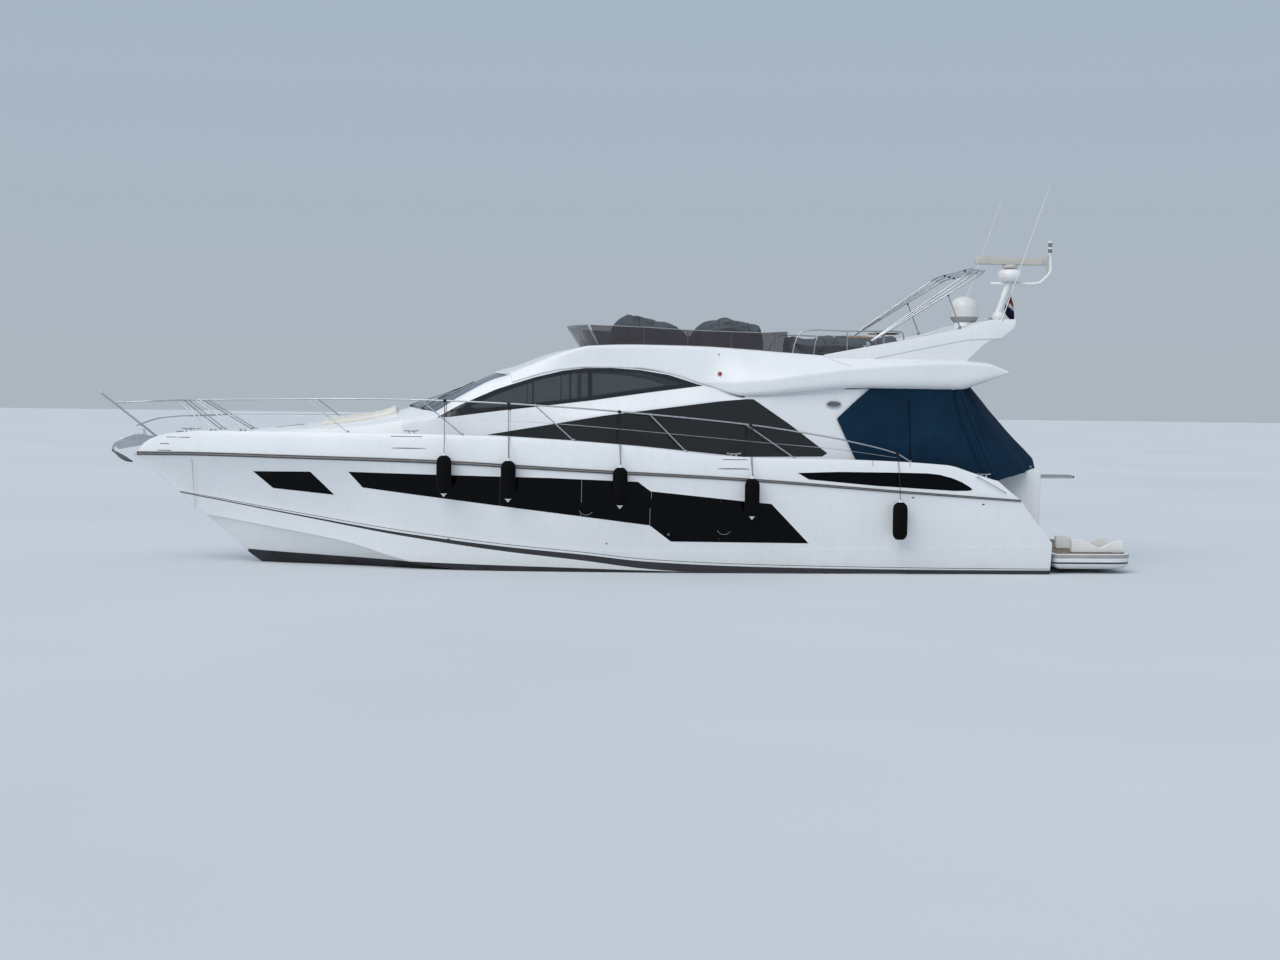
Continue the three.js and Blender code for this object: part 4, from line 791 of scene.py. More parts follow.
def bulwark_rows(x, top):
    """Rows up the bulwark, over its rounded rim and across the deck to the centreline."""
    rim, out, deck = bulwark_line(x), bulwark_half(x), deck_height(x)
    rows = []
    for s in range(6):
        z = top + (rim - 24 - top) * s / 6
        rows.append((topside(x, z), z, 0))
    inner = max(out - 100, 0.5 * out)
    r = min(22, 0.25 * (out - inner))
    rows += [
        (out, rim - r, 0), (out - 0.3 * r, rim - 0.3 * r, 0), (out - r, rim, 0),
        (inner + r, rim, 0), (inner + 0.3 * r, rim - 0.3 * r, 0), (inner, rim - r, 0)]
    edge = max(inner - 20, 1)
    rows += [(inner - 8, deck + 60 if rim - deck > 100 else (rim + deck) / 2, 0), (edge, deck, 3)]
    for s in range(1, 5):
        y = edge * (1 - s / 5)
        rows.append((y, deck + DECK_CAMBER * (1 - (y / edge) ** 2), 3))
    return rows + [(0, deck + DECK_CAMBER, 0)]


def hull_section(x, inset=0):
    """Half of the hull's ring as (y, z, material index of the strip that follows)."""
    keel = keel_line(x)
    chine = max(chine_height(x), keel + 30)
    half = min(chine_half(x), 0.9 * sheer_half(x))
    top = max(sheer_line(x), keel + 50)
    rows = bottom_rows(x, keel, chine, half) + topside_rows(x, chine, top) + bulwark_rows(x, top)
    return [(max(y - inset, 0.0 if y == 0 else 1.0), z, t) for y, z, t in rows]


STRIPE_START_X = -9640
DECK_CAMBER = 14
HULL_STATIONS = frange(STEM_X, -8600, 70) + frange(-8600, -5000, 110)[1:] + frange(-5000, 8600, 160)[1:]
TRANSOM_BLOCK = [
    (7350, 1200), (7350, 2000), (7550, 2150), (8650, 2150), (8690, 2090), (8660, 460), (8540, 400),
    (8200, 400)]
WINDOWS = (
    ("hull_window", HULL_WINDOW, 5), ("bow_window", BOW_WINDOW, 5), ("quarter_vent", QUARTER_VENT, 9))


def hull_form(inset=0):
    sections = [hull_section(x, inset) for x in HULL_STATIONS]
    tags = []
    for rows in sections:
        n = len(rows)
        half = [t for _, _, t in rows]
        tags.append([half[j] if j < n - 1 else half[2 * n - 3 - j] for j in range(2 * n - 2)])
    rings = [ring_of(x, [(y, z) for y, z, _ in rows]) for x, rows in zip(HULL_STATIONS, sections)]
    return loft(rings, lambda i, j: tags[i][j])


def window_form(outline, margin, y0=-3000, y1=-400):
    return prism(round_outline(grown(outline, margin), 14, 2), y0, y1)


def transom_face(z):
    """The x of the raked transom at a height."""
    return 8690 - (2090 - z) / 1630 * 30


def hull_rooms(made):
    """Cuts the cockpit, saloon, stairs, garage, passerelle case and trim tab pockets out of the hull."""
    cut(made, block(4600, 7450, -1950, 1950, 1550, 3500), block(-3300, 4610, -1750, 1750, 1550, 3500))
    cut(made, *both(block(7400, 9000, 1250, 2080, 430, 3500)))
    cut(made, block(6900, 8740, -865, 865, 595, 1405))
    low, high = (transom_face(z) - 45.3 for z in (560, 1440))
    cut(made, prism([(low, 560), (high, 1440), (9000, 1440), (9000, 560)], -900, 900))
    cut(made, block(7649, 8990, 819, 1201, 1869, 2001))
    cut(made, *both(block(8263, 8700, 1260, 1860, -1000, -110)))


def window_recesses(made):
    shell = hull_form(24)
    for _, outline, _ in WINDOWS:
        inmost = -2470 if outline is QUARTER_VENT else -400
        plug = build("plug", window_form(outline, 4, y1=inmost), [WHITE], ride=False)
        boolean(plug, shell)
        cut(made, *both(form_of(plug)))


def window_panes():
    for name, outline, inset in WINDOWS:
        skin = hull_form(inset)
        inmost = -2475 if outline is QUARTER_VENT else -900
        stands_for = [["hull_window_" + side] if outline is HULL_WINDOW else () for _, side in SIDES]
        pane = build(name + "_port", window_form(outline, 1, y1=inmost), [BLACK_GLASS],
                replaces=stands_for[0])
        clip(pane, skin)
        cut(pane, hull_form(23.5))
        in_one(pane, BLACK_GLASS)
        settle(pane, 30)
        mirrored(pane, name + "_starboard", 30, replaces=stands_for[1])


def hull():
    made = build("hull_shell", hull_form(), [WHITE, ANTIFOUL, STRIPE, NONSKID], replaces=["hull"])
    cut(made, prism(QUARTER_CUT, -3000, 3000))
    boolean(made, prism(TRANSOM_BLOCK, -1249, 1249, bevel=28, segments=4), "UNION")
    hull_rooms(made)
    window_recesses(made)
    settle(made, 28)
    window_panes()


hull()


# Deckhouse, flybridge and arch
def table(rows):
    """Columns of a table as smooth functions of x."""
    columns = [through([(row[0], row[k]) for row in rows]) for k in range(1, len(rows[0]))]
    return lambda x: [c(x) for c in columns]


house_at = table(DECKHOUSE)
fly_at = table(FLYBRIDGE)
roof_at = table(COACHROOF)


def house_half(x, inset=0):
    base_y, belt_y, belt_z, sill_y, sill_z, head_y, head_z, edge_y, edge_z, crown = house_at(x)
    base = deck_height(x) - 150
    line = [
        (0, base), (base_y - inset, base), (belt_y - inset, belt_z - 0.3 * inset),
        (sill_y - inset, sill_z - 0.5 * inset), (head_y - inset, head_z - 0.5 * inset),
        (edge_y - inset, edge_z - inset)]
    radii = [1, 30, 30, 25, 45]
    top, low = crown - inset, edge_z - inset
    for s in range(1, 8):
        t = 1 - s / 8
        line.append(((edge_y - inset) * t, top - (top - low) * t * t))
        radii.append(None)
    line.append((0, top))
    return fillet(line, radii, 3, 3)


def house_form(inset=0):
    stations = frange(-4900, 4400, 75)
    return loft([ring_of(x + (inset * 0.7 if x < -4800 else 0), house_half(x, inset)) for x in stations])


def screen_foot_x(y):
    return -4760 + 560 * (y / SCREEN_HALF) ** 2


def screen_plan(margin):
    """The windscreen's outline from above, moved outwards by a margin."""
    lower = [(screen_foot_x(t * 1600), t * 1600) for t in (-1, -0.75, -0.5, -0.25, 0, 0.25, 0.5, 0.75, 1)]
    upper = [(-2960 + 400 * (y / SCREEN_HALF) ** 2, y) for _, y in reversed(lower)]
    return grown(lower + upper, margin)


def shell_piece(name, outer, inner, material, tool, replaces=(), slot=None):
    """A thin pane: the part of a tool form between two skins."""
    pane = build(name, tool, [material], slot=slot, replaces=replaces)
    clip(pane, outer)
    cut(pane, inner)
    in_one(pane, material)
    return settle(pane, 30)


SCREEN_HALF = 1650
UPPER_CLEAR = [
    (-3500, 3360), (-2960, 3610), (-2180, 3890), (-1590, 4040), (-1120, 4105), (-600, 4115), (-10, 4085),
    (560, 3985), (900, 3880), (180, 3770), (-990, 3585), (-2170, 3435), (-2950, 3345), (-3350, 3300)]
MULLIONS = ((-2210, 26), (-1450, 30), (-1040, 95))


def side_glass(skins, side, mirror):
    """The upper window with its black border and mullions, and the lower window."""
    face, behind, back = skins

    def turn(form):
        return moved(form, mirror=mirror)

    def pane(outline, margin):
        return turn(prism(grown(outline, margin), -2590, -1510))

    clear = turn(prism(UPPER_CLEAR, -2600, -1500))
    rim = build("rim", pane(UPPER_WINDOW, -1), [FRIT], ride=False)
    cut(rim, clear)
    shell_piece("upper_border_" + side, face, back, FRIT, form_of(rim), ["upper_side_glass_" + side])
    shell_piece("upper_glass_" + side, behind, back, TINTED, pane(UPPER_CLEAR, -0.5))
    shell_piece("lower_glass_" + side, face, back, DARK_TINT, pane(LOWER_WINDOW, -1),
                ["lower_side_glass_" + side], "black_glass")
    for i, (x, width) in enumerate(MULLIONS):
        post = turn(block(x - width / 2, x + width / 2, -2590, -1510, 3300, 4200))
        bar = build("post", post, [FRIT], ride=False)
        clip(bar, clear)
        shell_piece("upper_mullion_%d_%s" % (i, side), house_form(6), house_form(34), FRIT, form_of(bar))


def windscreen(skins):
    face, behind, back = skins
    glass = prism(screen_plan(-55), 3000, 4300, "xy")
    shell_piece("windscreen_glass", behind, back, SCREEN_GLASS, glass, ["windscreen"])
    rim = build("rim", prism(screen_plan(-1), 2990, 4310, "xy"), [FRIT], ride=False)
    cut(rim, prism(screen_plan(-54.5), 2900, 4400, "xy"))
    shell_piece("windscreen_border", face, back, FRIT, form_of(rim))


def deckhouse():
    outer, inner = house_form(), house_form(60)
    made = build("deckhouse_shell", outer, [WHITE], replaces=["deckhouse"])
    cut(made, inner, block(4300, 4500, -2020, 2020, 1500, 3700))
    for outline in (UPPER_WINDOW, LOWER_WINDOW):
        cut(made, *both(prism(outline, -2600, -1500)))
    cut(made, prism(screen_plan(0), 3000, 4300, "xy"))
    settle(made, 30)
    skins = house_form(7), house_form(10), house_form(26)
    for side, name in SIDES:
        side_glass(skins, name, side > 0)
    windscreen(skins)
    return outer


house_skin = deckhouse()


def flybridge():
    def half(x):
        bottom_y, bottom_z, crease_y, crease_z, top_y, top_z, crown = fly_at(x)
        line = [(0, bottom_z), (bottom_y, bottom_z), (crease_y, crease_z), (top_y, top_z), (0, crown)]
        under = 45 + 215 * min(max((x - 1800) / 1200, 0), 1)
        return fillet(line, [under, 60, 75], 7, 4)

    x0, x1, y1, floor = WELL["x0"], WELL["x1"], WELL["half"], WELL["floor"]
    rings = [ring_of(x, half(x)) for x in frange(-2950, 7680, 85)]
    made = build("flybridge_shell", loft(rings), [WHITE], replaces=["flybridge"])
    front = [(x + 0.3, y * 1.25) for x, y in screen_plan(0)[9:]] + [(-3500, -2200), (-3500, 2200)]
    cut(made, house_skin, prism(front, 3500, 4600, "xy"))
    cut(made, block(x0, x1, -y1, y1, floor, 5200, bevel=60, segments=4))
    settle(made, 28)
    sole = block(x0 + 40, x1 - 40, 40 - y1, y1 - 40, floor - 5, floor + 8, 4, 2)
    build("flybridge_sole", sole, [TEAK])


flybridge()


def arch_shell():
    beam = prism(round_outline(ARCH_BEAM, 40, 3), -1880, 1880, bevel=16, segments=3)
    made = build("arch_beam", beam, [PAINT], slot="gelcoat")
    plan = [
        (6000, -2000), (7860, -2000), (8120, -1200), (8300, -600), (8300, 600), (8120, 1200), (7860, 2000),
        (6000, 2000)]
    clip(made, prism(round_outline(plan, 220, 5), 4500, 6000, "xy"))
    in_one(made, PAINT)
    settle(made, 34)
    wing = prism(round_outline(ARCH_WING, 60, 3), -1940, -1800, bevel=26, segments=4)
    build("arch_wings", both(wing), [WHITE], replaces=["radar_arch"])


def arch_fittings():
    """The radome's plinth, and the eyes that hold the bimini's struts."""
    parts = [lathe([(0, 0), (238, 0), (238, 120), (228, 140), (218, 180), (0, 180)], (7270, 0, 5150))]
    for y in (-1878, -1822):
        parts += both(prism(soft_rectangle(6670, 6730, 5050, 5170, 26), y - 5, y + 5, bevel=1.5, mat=1))
    parts += both(tube([(6700, -1888, 5140), (6700, -1812, 5140)], 8, 14, mat=1))
    build("arch_fittings", parts, [WHITE, STEEL])


def arch_seam_shade():
    # Painted shade: grey lines along the flybridge seam, the wing's joint and the slit, for the shade in
    # these grooves.
    seam = []
    for step in range(9):
        t = 0.14 + 0.72 * step / 8
        x = 3830 + 590 * t
        _, _, crease_y, crease_z, top_y, top_z, _ = fly_at(x)
        seam.append((x, -(top_y + (crease_y - top_y) * t), top_z + (crease_z - top_z) * t))
    wing_seam = tube([(4345, -1939, 4339), (5600, -1939, 4612), (6810, -1939, 4868), (7370, -1939, 4904)],
            6, 8)
    slit = prism([(7392, 4893), (7560, 4904), (7560, 4914), (7392, 4904)], -1943, -1800)
    build("arch_seam_shade", both(tube(seam, 4, 8)) + both(wing_seam) + both(slit), [GREY_PLASTIC])


def whip_aerials():
    lean = (0.325, 0, 0.945)
    socket = [(0, 0), (34, 0), (34, 12), (24, 24), (22, 90), (16, 110), (14, 180), (0, 180)]
    foot = lathe(socket, (7560, -1870, 5200), lean, 20)
    path = [(7560 + 1020 * t, -1870, 5230 + 2970 * t) for t in (0.03, 0.35, 0.7, 1)]
    rod = tube(path, 11, 10, mat=1, end_radius=4)
    tip = lathe([(0, 0), (7, 2), (7, 14), (0, 18)], (8574, -1870, 8182), lean, 10, 1)
    for side, name in SIDES:
        forms = [moved(form, mirror=side > 0) for form in (foot, rod, tip)]
        build("whip_aerial_" + name, forms, [STEEL, PLASTIC], slot="white_plastic")


arch_shell()
arch_fittings()
arch_seam_shade()
whip_aerials()


# Cloth simulation
def cloth(made, pinned, frames=20, pressure=0.0, gravity=0.0, grow=0.0, cap=30, bend=0.5):
    """The points of a form after a run of cloth simulation. No point moves further than cap."""
    tool = build("cloth", made, [GREY_CLOTH], ride=False)
    group = tool.vertex_groups.new(name="pin")
    for index, weight in pinned.items():
        group.add([index], weight, "REPLACE")
    run = tool.modifiers.new("cloth", "CLOTH")
    run.settings.vertex_group_mass = "pin"
    run.settings.quality = 5
    run.settings.bending_stiffness = bend
    run.settings.effector_weights.gravity = gravity
    run.settings.shrink_min = -grow
    if pressure:
        run.settings.use_pressure = True
        run.settings.uniform_pressure_force = pressure
    run.point_cache.frame_start, run.point_cache.frame_end = 1, frames
    for at in range(1, frames + 1):
        bpy.context.scene.frame_set(at)
    graph = bpy.context.evaluated_depsgraph_get()
    shape = [v.co / MM for v in tool.evaluated_get(graph).data.vertices]
    bpy.context.scene.frame_set(1)
    bpy.data.objects.remove(tool)
    out = []
    for old, new in zip(made[0], shape):
        step = new - Vector(old)
        out.append(tuple(Vector(old) + step * min(1, cap / max(step.length, 1e-6))))
    return out


# Foredeck
HATCH_AT = (-7560, 0, 2872)
HATCH_SLOPE = Matrix.Rotation(math.radians(-6.56), 4, "Y")


def roof_height(x, y):
    _, shoulder_y, shoulder_z, crown = roof_at(x)
    t = min(abs(y) / shoulder_y, 1)
    return crown - (crown - shoulder_z) * t ** 1.7


def coachroof():
    def half(x):
        base_y, shoulder_y, shoulder_z, crown = roof_at(x)
        base = deck_height(x) - 100
        line = [(0, base), (base_y, base), (shoulder_y, shoulder_z)]
        radii = [1, 60]
        for s in range(1, 8):
            t = 1 - s / 8
            line.append((shoulder_y * t, crown - (crown - shoulder_z) * t ** 1.7))
            radii.append(None)
        return fillet(line + [(0, crown)], radii, 4, 3)

    rings = [ring_of(x, half(x)) for x in frange(-8550, -4900.3, 60)]
    made = build("coachroof_shell", loft(rings), [WHITE], replaces=["foredeck_coachroof"])
    cut(made, moved(block(0, 600, -300, 300, -45, 400, 0), HATCH_AT, HATCH_SLOPE))
    settle(made, 30)


def hatch_lid():
    forms = [block(8, 592, -292, 292, -44, -6, 6, 3), block(38, 562, -262, 262, -8, 0, 3, 2, mat=1)]
    forms += [tube([(10, y - 25, -6), (10, y + 25, -6)], 7, 10, mat=2) for y in (-180, 180)]
    build("hatch_lid", [moved(form, HATCH_AT, HATCH_SLOPE) for form in forms], [STEEL, DARK_TINT, STEEL],
          body="foredeck_hatch", slot="smoked_glass", replaces=["foredeck_hatch"])


def sunpad(number, y0, y1):
    """One of three cushions on the coachroof, sewn in channels, with a raised head end."""
    nx, ny = 90, 20
    rings, sewn = [], {}
    for a in range(nx + 1):
        u = a / nx
        x = -6600 + 1590 * u
        top, low = [], []
        for b in range(ny + 1):
            v = b / ny
            y = y0 + (y1 - y0) * v
            edge = min(1, min(u, 1 - u) * 22, min(v, 1 - v) * 9)
            puff = math.sqrt(max(0, 1 - (1 - edge) ** 2))
            channel = abs(math.sin(math.pi * u * 9)) ** 0.35
            if channel < 0.45 and b < ny:
                sewn[a * 2 * (ny + 1) + b] = 1.0
            sewn[a * 2 * (ny + 1) + ny + 1 + b] = 1.0
            lift = 30 + 42 * puff * (0.82 + 0.18 * channel) + 55 * max(0, (u - 0.8) / 0.2) ** 1.3 * puff
            ground = roof_height(x, y) + 2
            top.append((x, y, ground + lift * (0.25 + 0.75 * puff)))
            low.append((x, y, ground))
        rings.append(top + low[::-1])
    form = loft(rings)
    form = (cloth(form, sewn, 20, pressure=4.0, cap=16, bend=2.0), form[1], form[2])
    stands_for = ["foredeck_sunpad"] if number == 2 else ()
    made = build("sunpad_%d" % number, form, [VINYL], replaces=stands_for, angle=60)


coachroof()
hatch_lid()
for number, (y0, y1) in enumerate(((-640, -222), (-213, 213), (222, 640))):
    sunpad(number + 1, y0, y1)


# Rails, fenders and deck gear
RAIL_FOOT = [(0, 0), (38, 0), (38, 6), (22, 14), (18, 40), (0, 40)]
SECOND_FOOT = [(0, 0), (34, 0), (34, 6), (20, 14), (16, 36), (0, 36)]
RAIL_SOCKET = [(0, -18), (21, -18), (21, 18), (0, 18)]
RAIL_END_X = 5560


def rail_point(x, side, drop=0):
    """A point on the guard rail, or dropped by a share of its height over the bulwark."""
    inset = 60 if x < -9000 else 130
    half = max(bulwark_half(max(x, STEM_X)) - inset, 0)
    y = half * max(0, (x + 10930) / 930) + 20 if x < -10000 else half
    z = rail_line(x)
    foot = bulwark_line(max(x, STEM_X))
    return (x, side * y, z - (z - foot) * drop)


def rim_point(x, side):
    return (x, side * (bulwark_half(x) - 50), bulwark_line(x))


def guard_rail(side, name):
    forms = [tube([rail_point(x, side) for x in RAIL_POINTS], 16, 14, 150)]
    for foot, head in STANCHIONS:
        base, top = rim_point(foot, side), rail_point(head, side)
        forms.append(tube([base, top], 13, 12))
        if foot < -8000:
            second = rim_point(foot + 95, side)
            forms.append(tube([second, rail_point(head + 95, side)], 11, 12))
            forms.append(lathe(SECOND_FOOT, second, UP, 18))
        forms.append(lathe(RAIL_FOOT, base, UP, 18))
        along = Vector(rail_point(head + 20, side)) - Vector(top)
        forms.append(lathe(RAIL_SOCKET, top, along, 14))
    base = rim_point(RAIL_END_X, side)
    forms += [tube([base, rail_point(RAIL_END_X, side)], 14, 12), lathe(RAIL_FOOT, base, UP, 18)]
    wire = [rail_point(x, side, 0.52) for x in (-9350, -8700, -6500, -4200, -1900, 500, 2500, 4000, 5280)]
    forms.append(tube(wire, 5, 8, 90))
    mid = [rail_point(x, side, 0.5) for x in (-10500, -10100, -9700, -9300, -8700)]
    forms.append(tube(mid, 11, 10, 24))
    build("guard_rail_steel_" + name, forms, [STEEL], replaces=["guard_rail_" + name])


def fender(piece, x, y, top, bottom):
    """A cylindrical fender in a sewn cloth cover, with a plastic eye and foot."""
    r, height = 150, top - bottom
    cover = [
        (0, 60), (60, 52), (r * 0.62, 70), (r * 0.9, 120), (r, 180), (r * 1.01, height * 0.5),
        (r, height - 180), (r * 0.88, height - 110), (r * 0.55, height - 62), (r * 0.3, height - 48),
        (0, height - 46)]
    foot = [(0, 0), (16, 0), (22, 16), (30, 30), (62, 56), (84, 84), (0, 86)]
    eye = [(0, 0), (46, 2), (30, 22), (32, 44), (20, 52), (0, 52)]
    forms = [
        lathe(cover, (x, y, bottom), segments=32), lathe(foot, (x, y, bottom - 8), segments=24, mat=1),
        lathe(eye, (x, y, top - 50), segments=20, mat=1)]
    for a in (0.6, 3.74):
        heights = ((1, bottom + 150), (3, bottom + height / 2), (1, top - 160))
        seam = [(x + (r + out) * math.cos(a), y + (r + out) * math.sin(a), z) for out, z in heights]
        forms.append(tube(seam, 3, 6, 8))
    build(piece, forms, [BLACK_CLOTH, PLASTIC], angle=50)


def fender_line(label, i, side, x, y, top):
    """The rope from the rail over the bulwark to the fender's eye, with its turns, tail and twin."""
    edge = (x, side * (bulwark_half(x) + 20), bulwark_line(x) + 12)
    head = rail_point(x, side)
    eye = (x, y, top - 6)
    route = [
        (head[0], head[1] + side * 17, head[2] - 6),
        ((head[0] + edge[0]) / 2, (head[1] + edge[1]) / 2 + side * 10, (head[2] + edge[2]) / 2), edge,
        ((edge[0] + eye[0]) / 2, side * (abs(eye[1]) * 0.55 + abs(edge[1]) * 0.45), (edge[2] + eye[2]) / 2),
        eye]
    path = curve_points(route, 24)
    line = build("fender_line_" + label, tube(path, 6, 8), [ROPE_BLACK], angle=80)
    turns = []
    for k in range(5):
        loop = [(head[0] + 12 * (k - 2), head[1] + 25 * math.cos(a), head[2] + 25 * math.sin(a))
                for a in (2 * math.pi * s / 14 for s in range(15))]
        turns.append(tube(loop, 7, 8))
    drop = 330 if i == 0 else 120 + 25 * i
    tail = [
        (30, 30, 4), (36, 36, -0.3 * drop), (46, 34, -0.8 * drop), (34, 32, -drop), (16, 34, -0.8 * drop),
        (8, 36, -0.4 * drop)]
    turns.append(tube([(head[0] + dx, head[1] + side * dy, head[2] + dz) for dx, dy, dz in tail], 6, 8, 24))
    if i in (1, 2, 3):
        twin = [(p[0] + 26 + 10 * math.sin(0.25 * k), p[1] + side * 2, p[2]) for k, p in enumerate(path)]
        twin[-1] = path[-1][0] + 9, path[-1][1], path[-1][2]
        turns.append(tube(twin, 4.5, 8))
    knot = build("fender_hitch_" + label, turns, [ROPE_BLACK], angle=80)


for side, name in SIDES:
    guard_rail(side, name)
for side, name in SIDES:
    for i, (x, top, bottom) in enumerate(FENDERS):
        label = "%d_%s" % (i + 1, name)
        y = side * (max(sheer_half(x), sheer_half(x + 100)) + 45 + 155)
        fender("fender_" + label, x, y, top, bottom)
        fender_line(label, i, side, x, y, top)


# Fittings along the hull
LAMP_X, LAMP_Z = 1630, 4090
STRAKE_BODY = [(-40, -6), (-40, 12), (-30, 26), (30, 26), (40, 12), (40, -6)]
STRAKE_INSERT = [(-13, 22), (-13, 33), (-7, 38), (7, 38), (13, 33), (13, 22)]
strake_growth = through([(-10560, 1.0), (-4000, 0.95), (8600, 0.52)])


def side_point(x, z, out=0.0, side=-1):
    """A point on the topside, moved square to it by out."""
    dx = 20
    lean = (topside(x + dx, z) - topside(x - dx, z)) / (2 * dx)
    n = math.hypot(1, lean)
    return (x - out * lean / n, side * (topside(x, z) + out / n), z)


def strake(profile, mat, side):
    """A moulding along the sheer: the profile is (height from the line, proud)."""
    rings = []
    for x in frange(-10470, -8600, 60) + frange(-8600, 7880, 150)[1:]:
        z = sheer_line(x)
        rings.append([side_point(x, z + dz * strake_growth(x), out, side) for dz, out in profile])
    return painted(loft(rings), mat)


def shell_patch(outline, out, thick, mat, side=-1, bevel=2):
    """A thin plate on an outline of (x, z) points, lying on the topside."""
    rings = [[side_point(x, z, out + thick, side) for x, z in grown(outline, -bevel)],
             [side_point(x, z, out + thick - bevel, side) for x, z in outline],
             [side_point(x, z, out - 12, side) for x, z in outline]]
    return painted(loft(rings), mat)


def oval(x, z, a, b, count=28, power=2.0):
    return [(x + a * math.copysign(abs(math.cos(t)) ** (2 / power), math.cos(t)),
             z + b * math.copysign(abs(math.sin(t)) ** (2 / power), math.sin(t)))
            for t in (2 * math.pi * k / count for k in range(count))]


def arc_patch(x, z, radius, width, out, mat, side=-1, start=205, end=325, count=20):
    """A thin strip along an arc on the topside."""
    rings = []
    for k in range(count + 1):
        a = math.radians(start + (end - start) * k / count)
        rings.append([side_point(x + r * math.cos(a), z + r * math.sin(a), o, side)
                      for r, o in ((radius, -4), (radius, out), (radius + width, out),
                              (radius + width, -4))])
    return painted(loft(rings), mat)


def cleat(x, y, z, length=290, turn=0.0):
    post = [(0, 0), (26, 0), (20, 14), (15, 34), (18, 52), (0, 52)]
    horn = [(-length / 2, 0, 66), (-length / 4, 0, 58), (0, 0, 55), (length / 4, 0, 58),
            (length / 2, 0, 66)]
    forms = [lathe(post, (dx, 0, 0), segments=16) for dx in (-0.18 * length, 0.18 * length)]
    forms.append(tube(horn, 14, 12, 12))
    spin = Matrix.Rotation(turn, 4, "Z")
    return [moved(f, (x, y, z), spin) for f in forms]


def rubbing_strake():
    forms = []
    for side in (-1, 1):
        forms += [strake(STRAKE_BODY, 0, side), strake(STRAKE_INSERT, 1, side)]
    build("rubbing_strake", forms, [STRAKE, STRAKE_CAP], angle=40)


def side_seams(side):
    """Joints between the window panes, panel lines, drains and vent slots of one side. The drains and slots
    are dark patches of painted shade, and two light arcs are painted highlights on port rims.
    """
    seams = []

    def strip(x0, x1, z0, z1, out, thick, mat, bevel):
        seams.append(shell_patch(rectangle(x0, x1, z0, z1), out, thick, mat, side, bevel))

    for x, low, high, mat in (
            (-2880, 1352, 1962, 0), (-1230, 1440, 1920, 1), (-1240, 1156, 1200, 1), (190, 1540, 1690, 1),
            (170, 985, 1340, 1), (1610, 655, 1548, 0)):
        strip(x - 4, x + 4, low, high, -5, 3, mat, 1)
    # Painted highlight: light strips along the lower arcs of two round port rims, where light falls; the rest
    # of each rim is not drawn.
    for x, z in ((-1130, 1340), (1700, 960)):
        seams.append(arc_patch(x, z, 150, 7, -2, 1, side))
    strip(6588, 6592, 640, 1580, 0, 0.8, 1, 0.3)
    for x, low, high in ((4757, 2228, 2352), (5540, 2236, 2306)):
        strip(x - 4, x + 4, low, high, 0, 1.2, 0, 0.5)
    # Painted shade: each drain is a dark patch for the shade inside its opening.
    for x, z in ((5600, 1600), (7090, 1470), (-3910, 640)):
        drain = [(x - 34, z + 12), (x + 34, z + 12), (x + 20, z - 8), (x, z - 20), (x - 20, z - 8)]
        seams.append(shell_patch(drain, 0, 5, 0, side, 1.5))
    strip(-9270, -9267, 1150, 2200, 0, 0.4, 1, 0.1)
    # Painted shade: the slots below are dark strips for the shade inside the openings.
    for z, x0, x1 in ((2490, -9960, -9760), (2350, -10010, -9710), (2630, -9810, -9300)):
        strip(x0, x1, z, z + 14, 0, 3, 0, 1)
    for x0, x1, z in ((-5090, -4460, 2730), (1640, 2150, 2340)):
        strip(x0, x1, z, z + 12, 0, 2, 0, 1)
    return seams


def side_metal(side):
    """Fairleads, skin fittings, cleats and the quarter's hand rail on one side. The dark centres of the
    fairleads and skin fittings are painted shade in their openings.
    """
    metal = []
    for x0, x1, z in ((-5080, -4380, 2500), (1540, 2190, 2160)):
        middle, half = (x0 + x1) / 2, (x1 - x0) / 2
        metal.append(shell_patch(oval(middle, z, half, 11, 24, 4), 0, 7, 0, side))
        # Painted shade: the dark inner oval stands for the shade in the fairlead's opening.
        metal.append(shell_patch(oval(middle, z + 1, half - 90, 4, 20, 4), 5, 3, 1, side, 1))
    for x, z in ((-700, 600), (560, 800), (5600, 480), (6900, 450)):
        metal.append(shell_patch(oval(x, z, 21, 21, 22), 0, 6, 0, side))
        # Painted shade: the dark inner disc stands for the shade in the fitting's hole.
        metal.append(shell_patch(oval(x, z, 12, 12, 18), 4, 3, 1, side, 1))
    for x, turn in ((-4680, 0.2), (1875, 0.03)):
        metal += cleat(x, side * (bulwark_half(x) - 50), bulwark_line(x) - 1, 300, -side * turn)
    metal += cleat(-9350, side * (bulwark_half(-9350) - 52), bulwark_line(-9350) - 1, 260, -side * 0.3)
    metal += cleat(7150, side * 2290, bulwark_line(7150) - 4, 300, 0)
    rail = [side_point(x, z, out, side) for x, z, out in (
        (6950, 2035, 0), (6965, 2030, 45), (7100, 1958, 55), (7300, 1850, 55), (7540, 1722, 45),
        (7555, 1714, 0))]
    metal.append(tube(rail, 10, 12, 36))
    return metal


def window_rims():
    skin_out, skin_in = hull_form(-3), hull_form(7)
    for name, outline in (
            ("bow_window_rim_", BOW_WINDOW), ("hull_window_rim_", HULL_WINDOW),
            ("vent_rim_", QUARTER_VENT)):
        inmost = -2480 if outline is QUARTER_VENT else -900
        rim = build(name + "port", window_form(outline, 7, y1=inmost), [PAINT])
        cut(rim, prism(round_outline(grown(outline, -4), 12, 2), -3100, -300))
        clip(rim, skin_out)
        cut(rim, skin_in)
        in_one(rim, PAINT)
        settle(rim)
        mirrored(rim, name + "starboard")


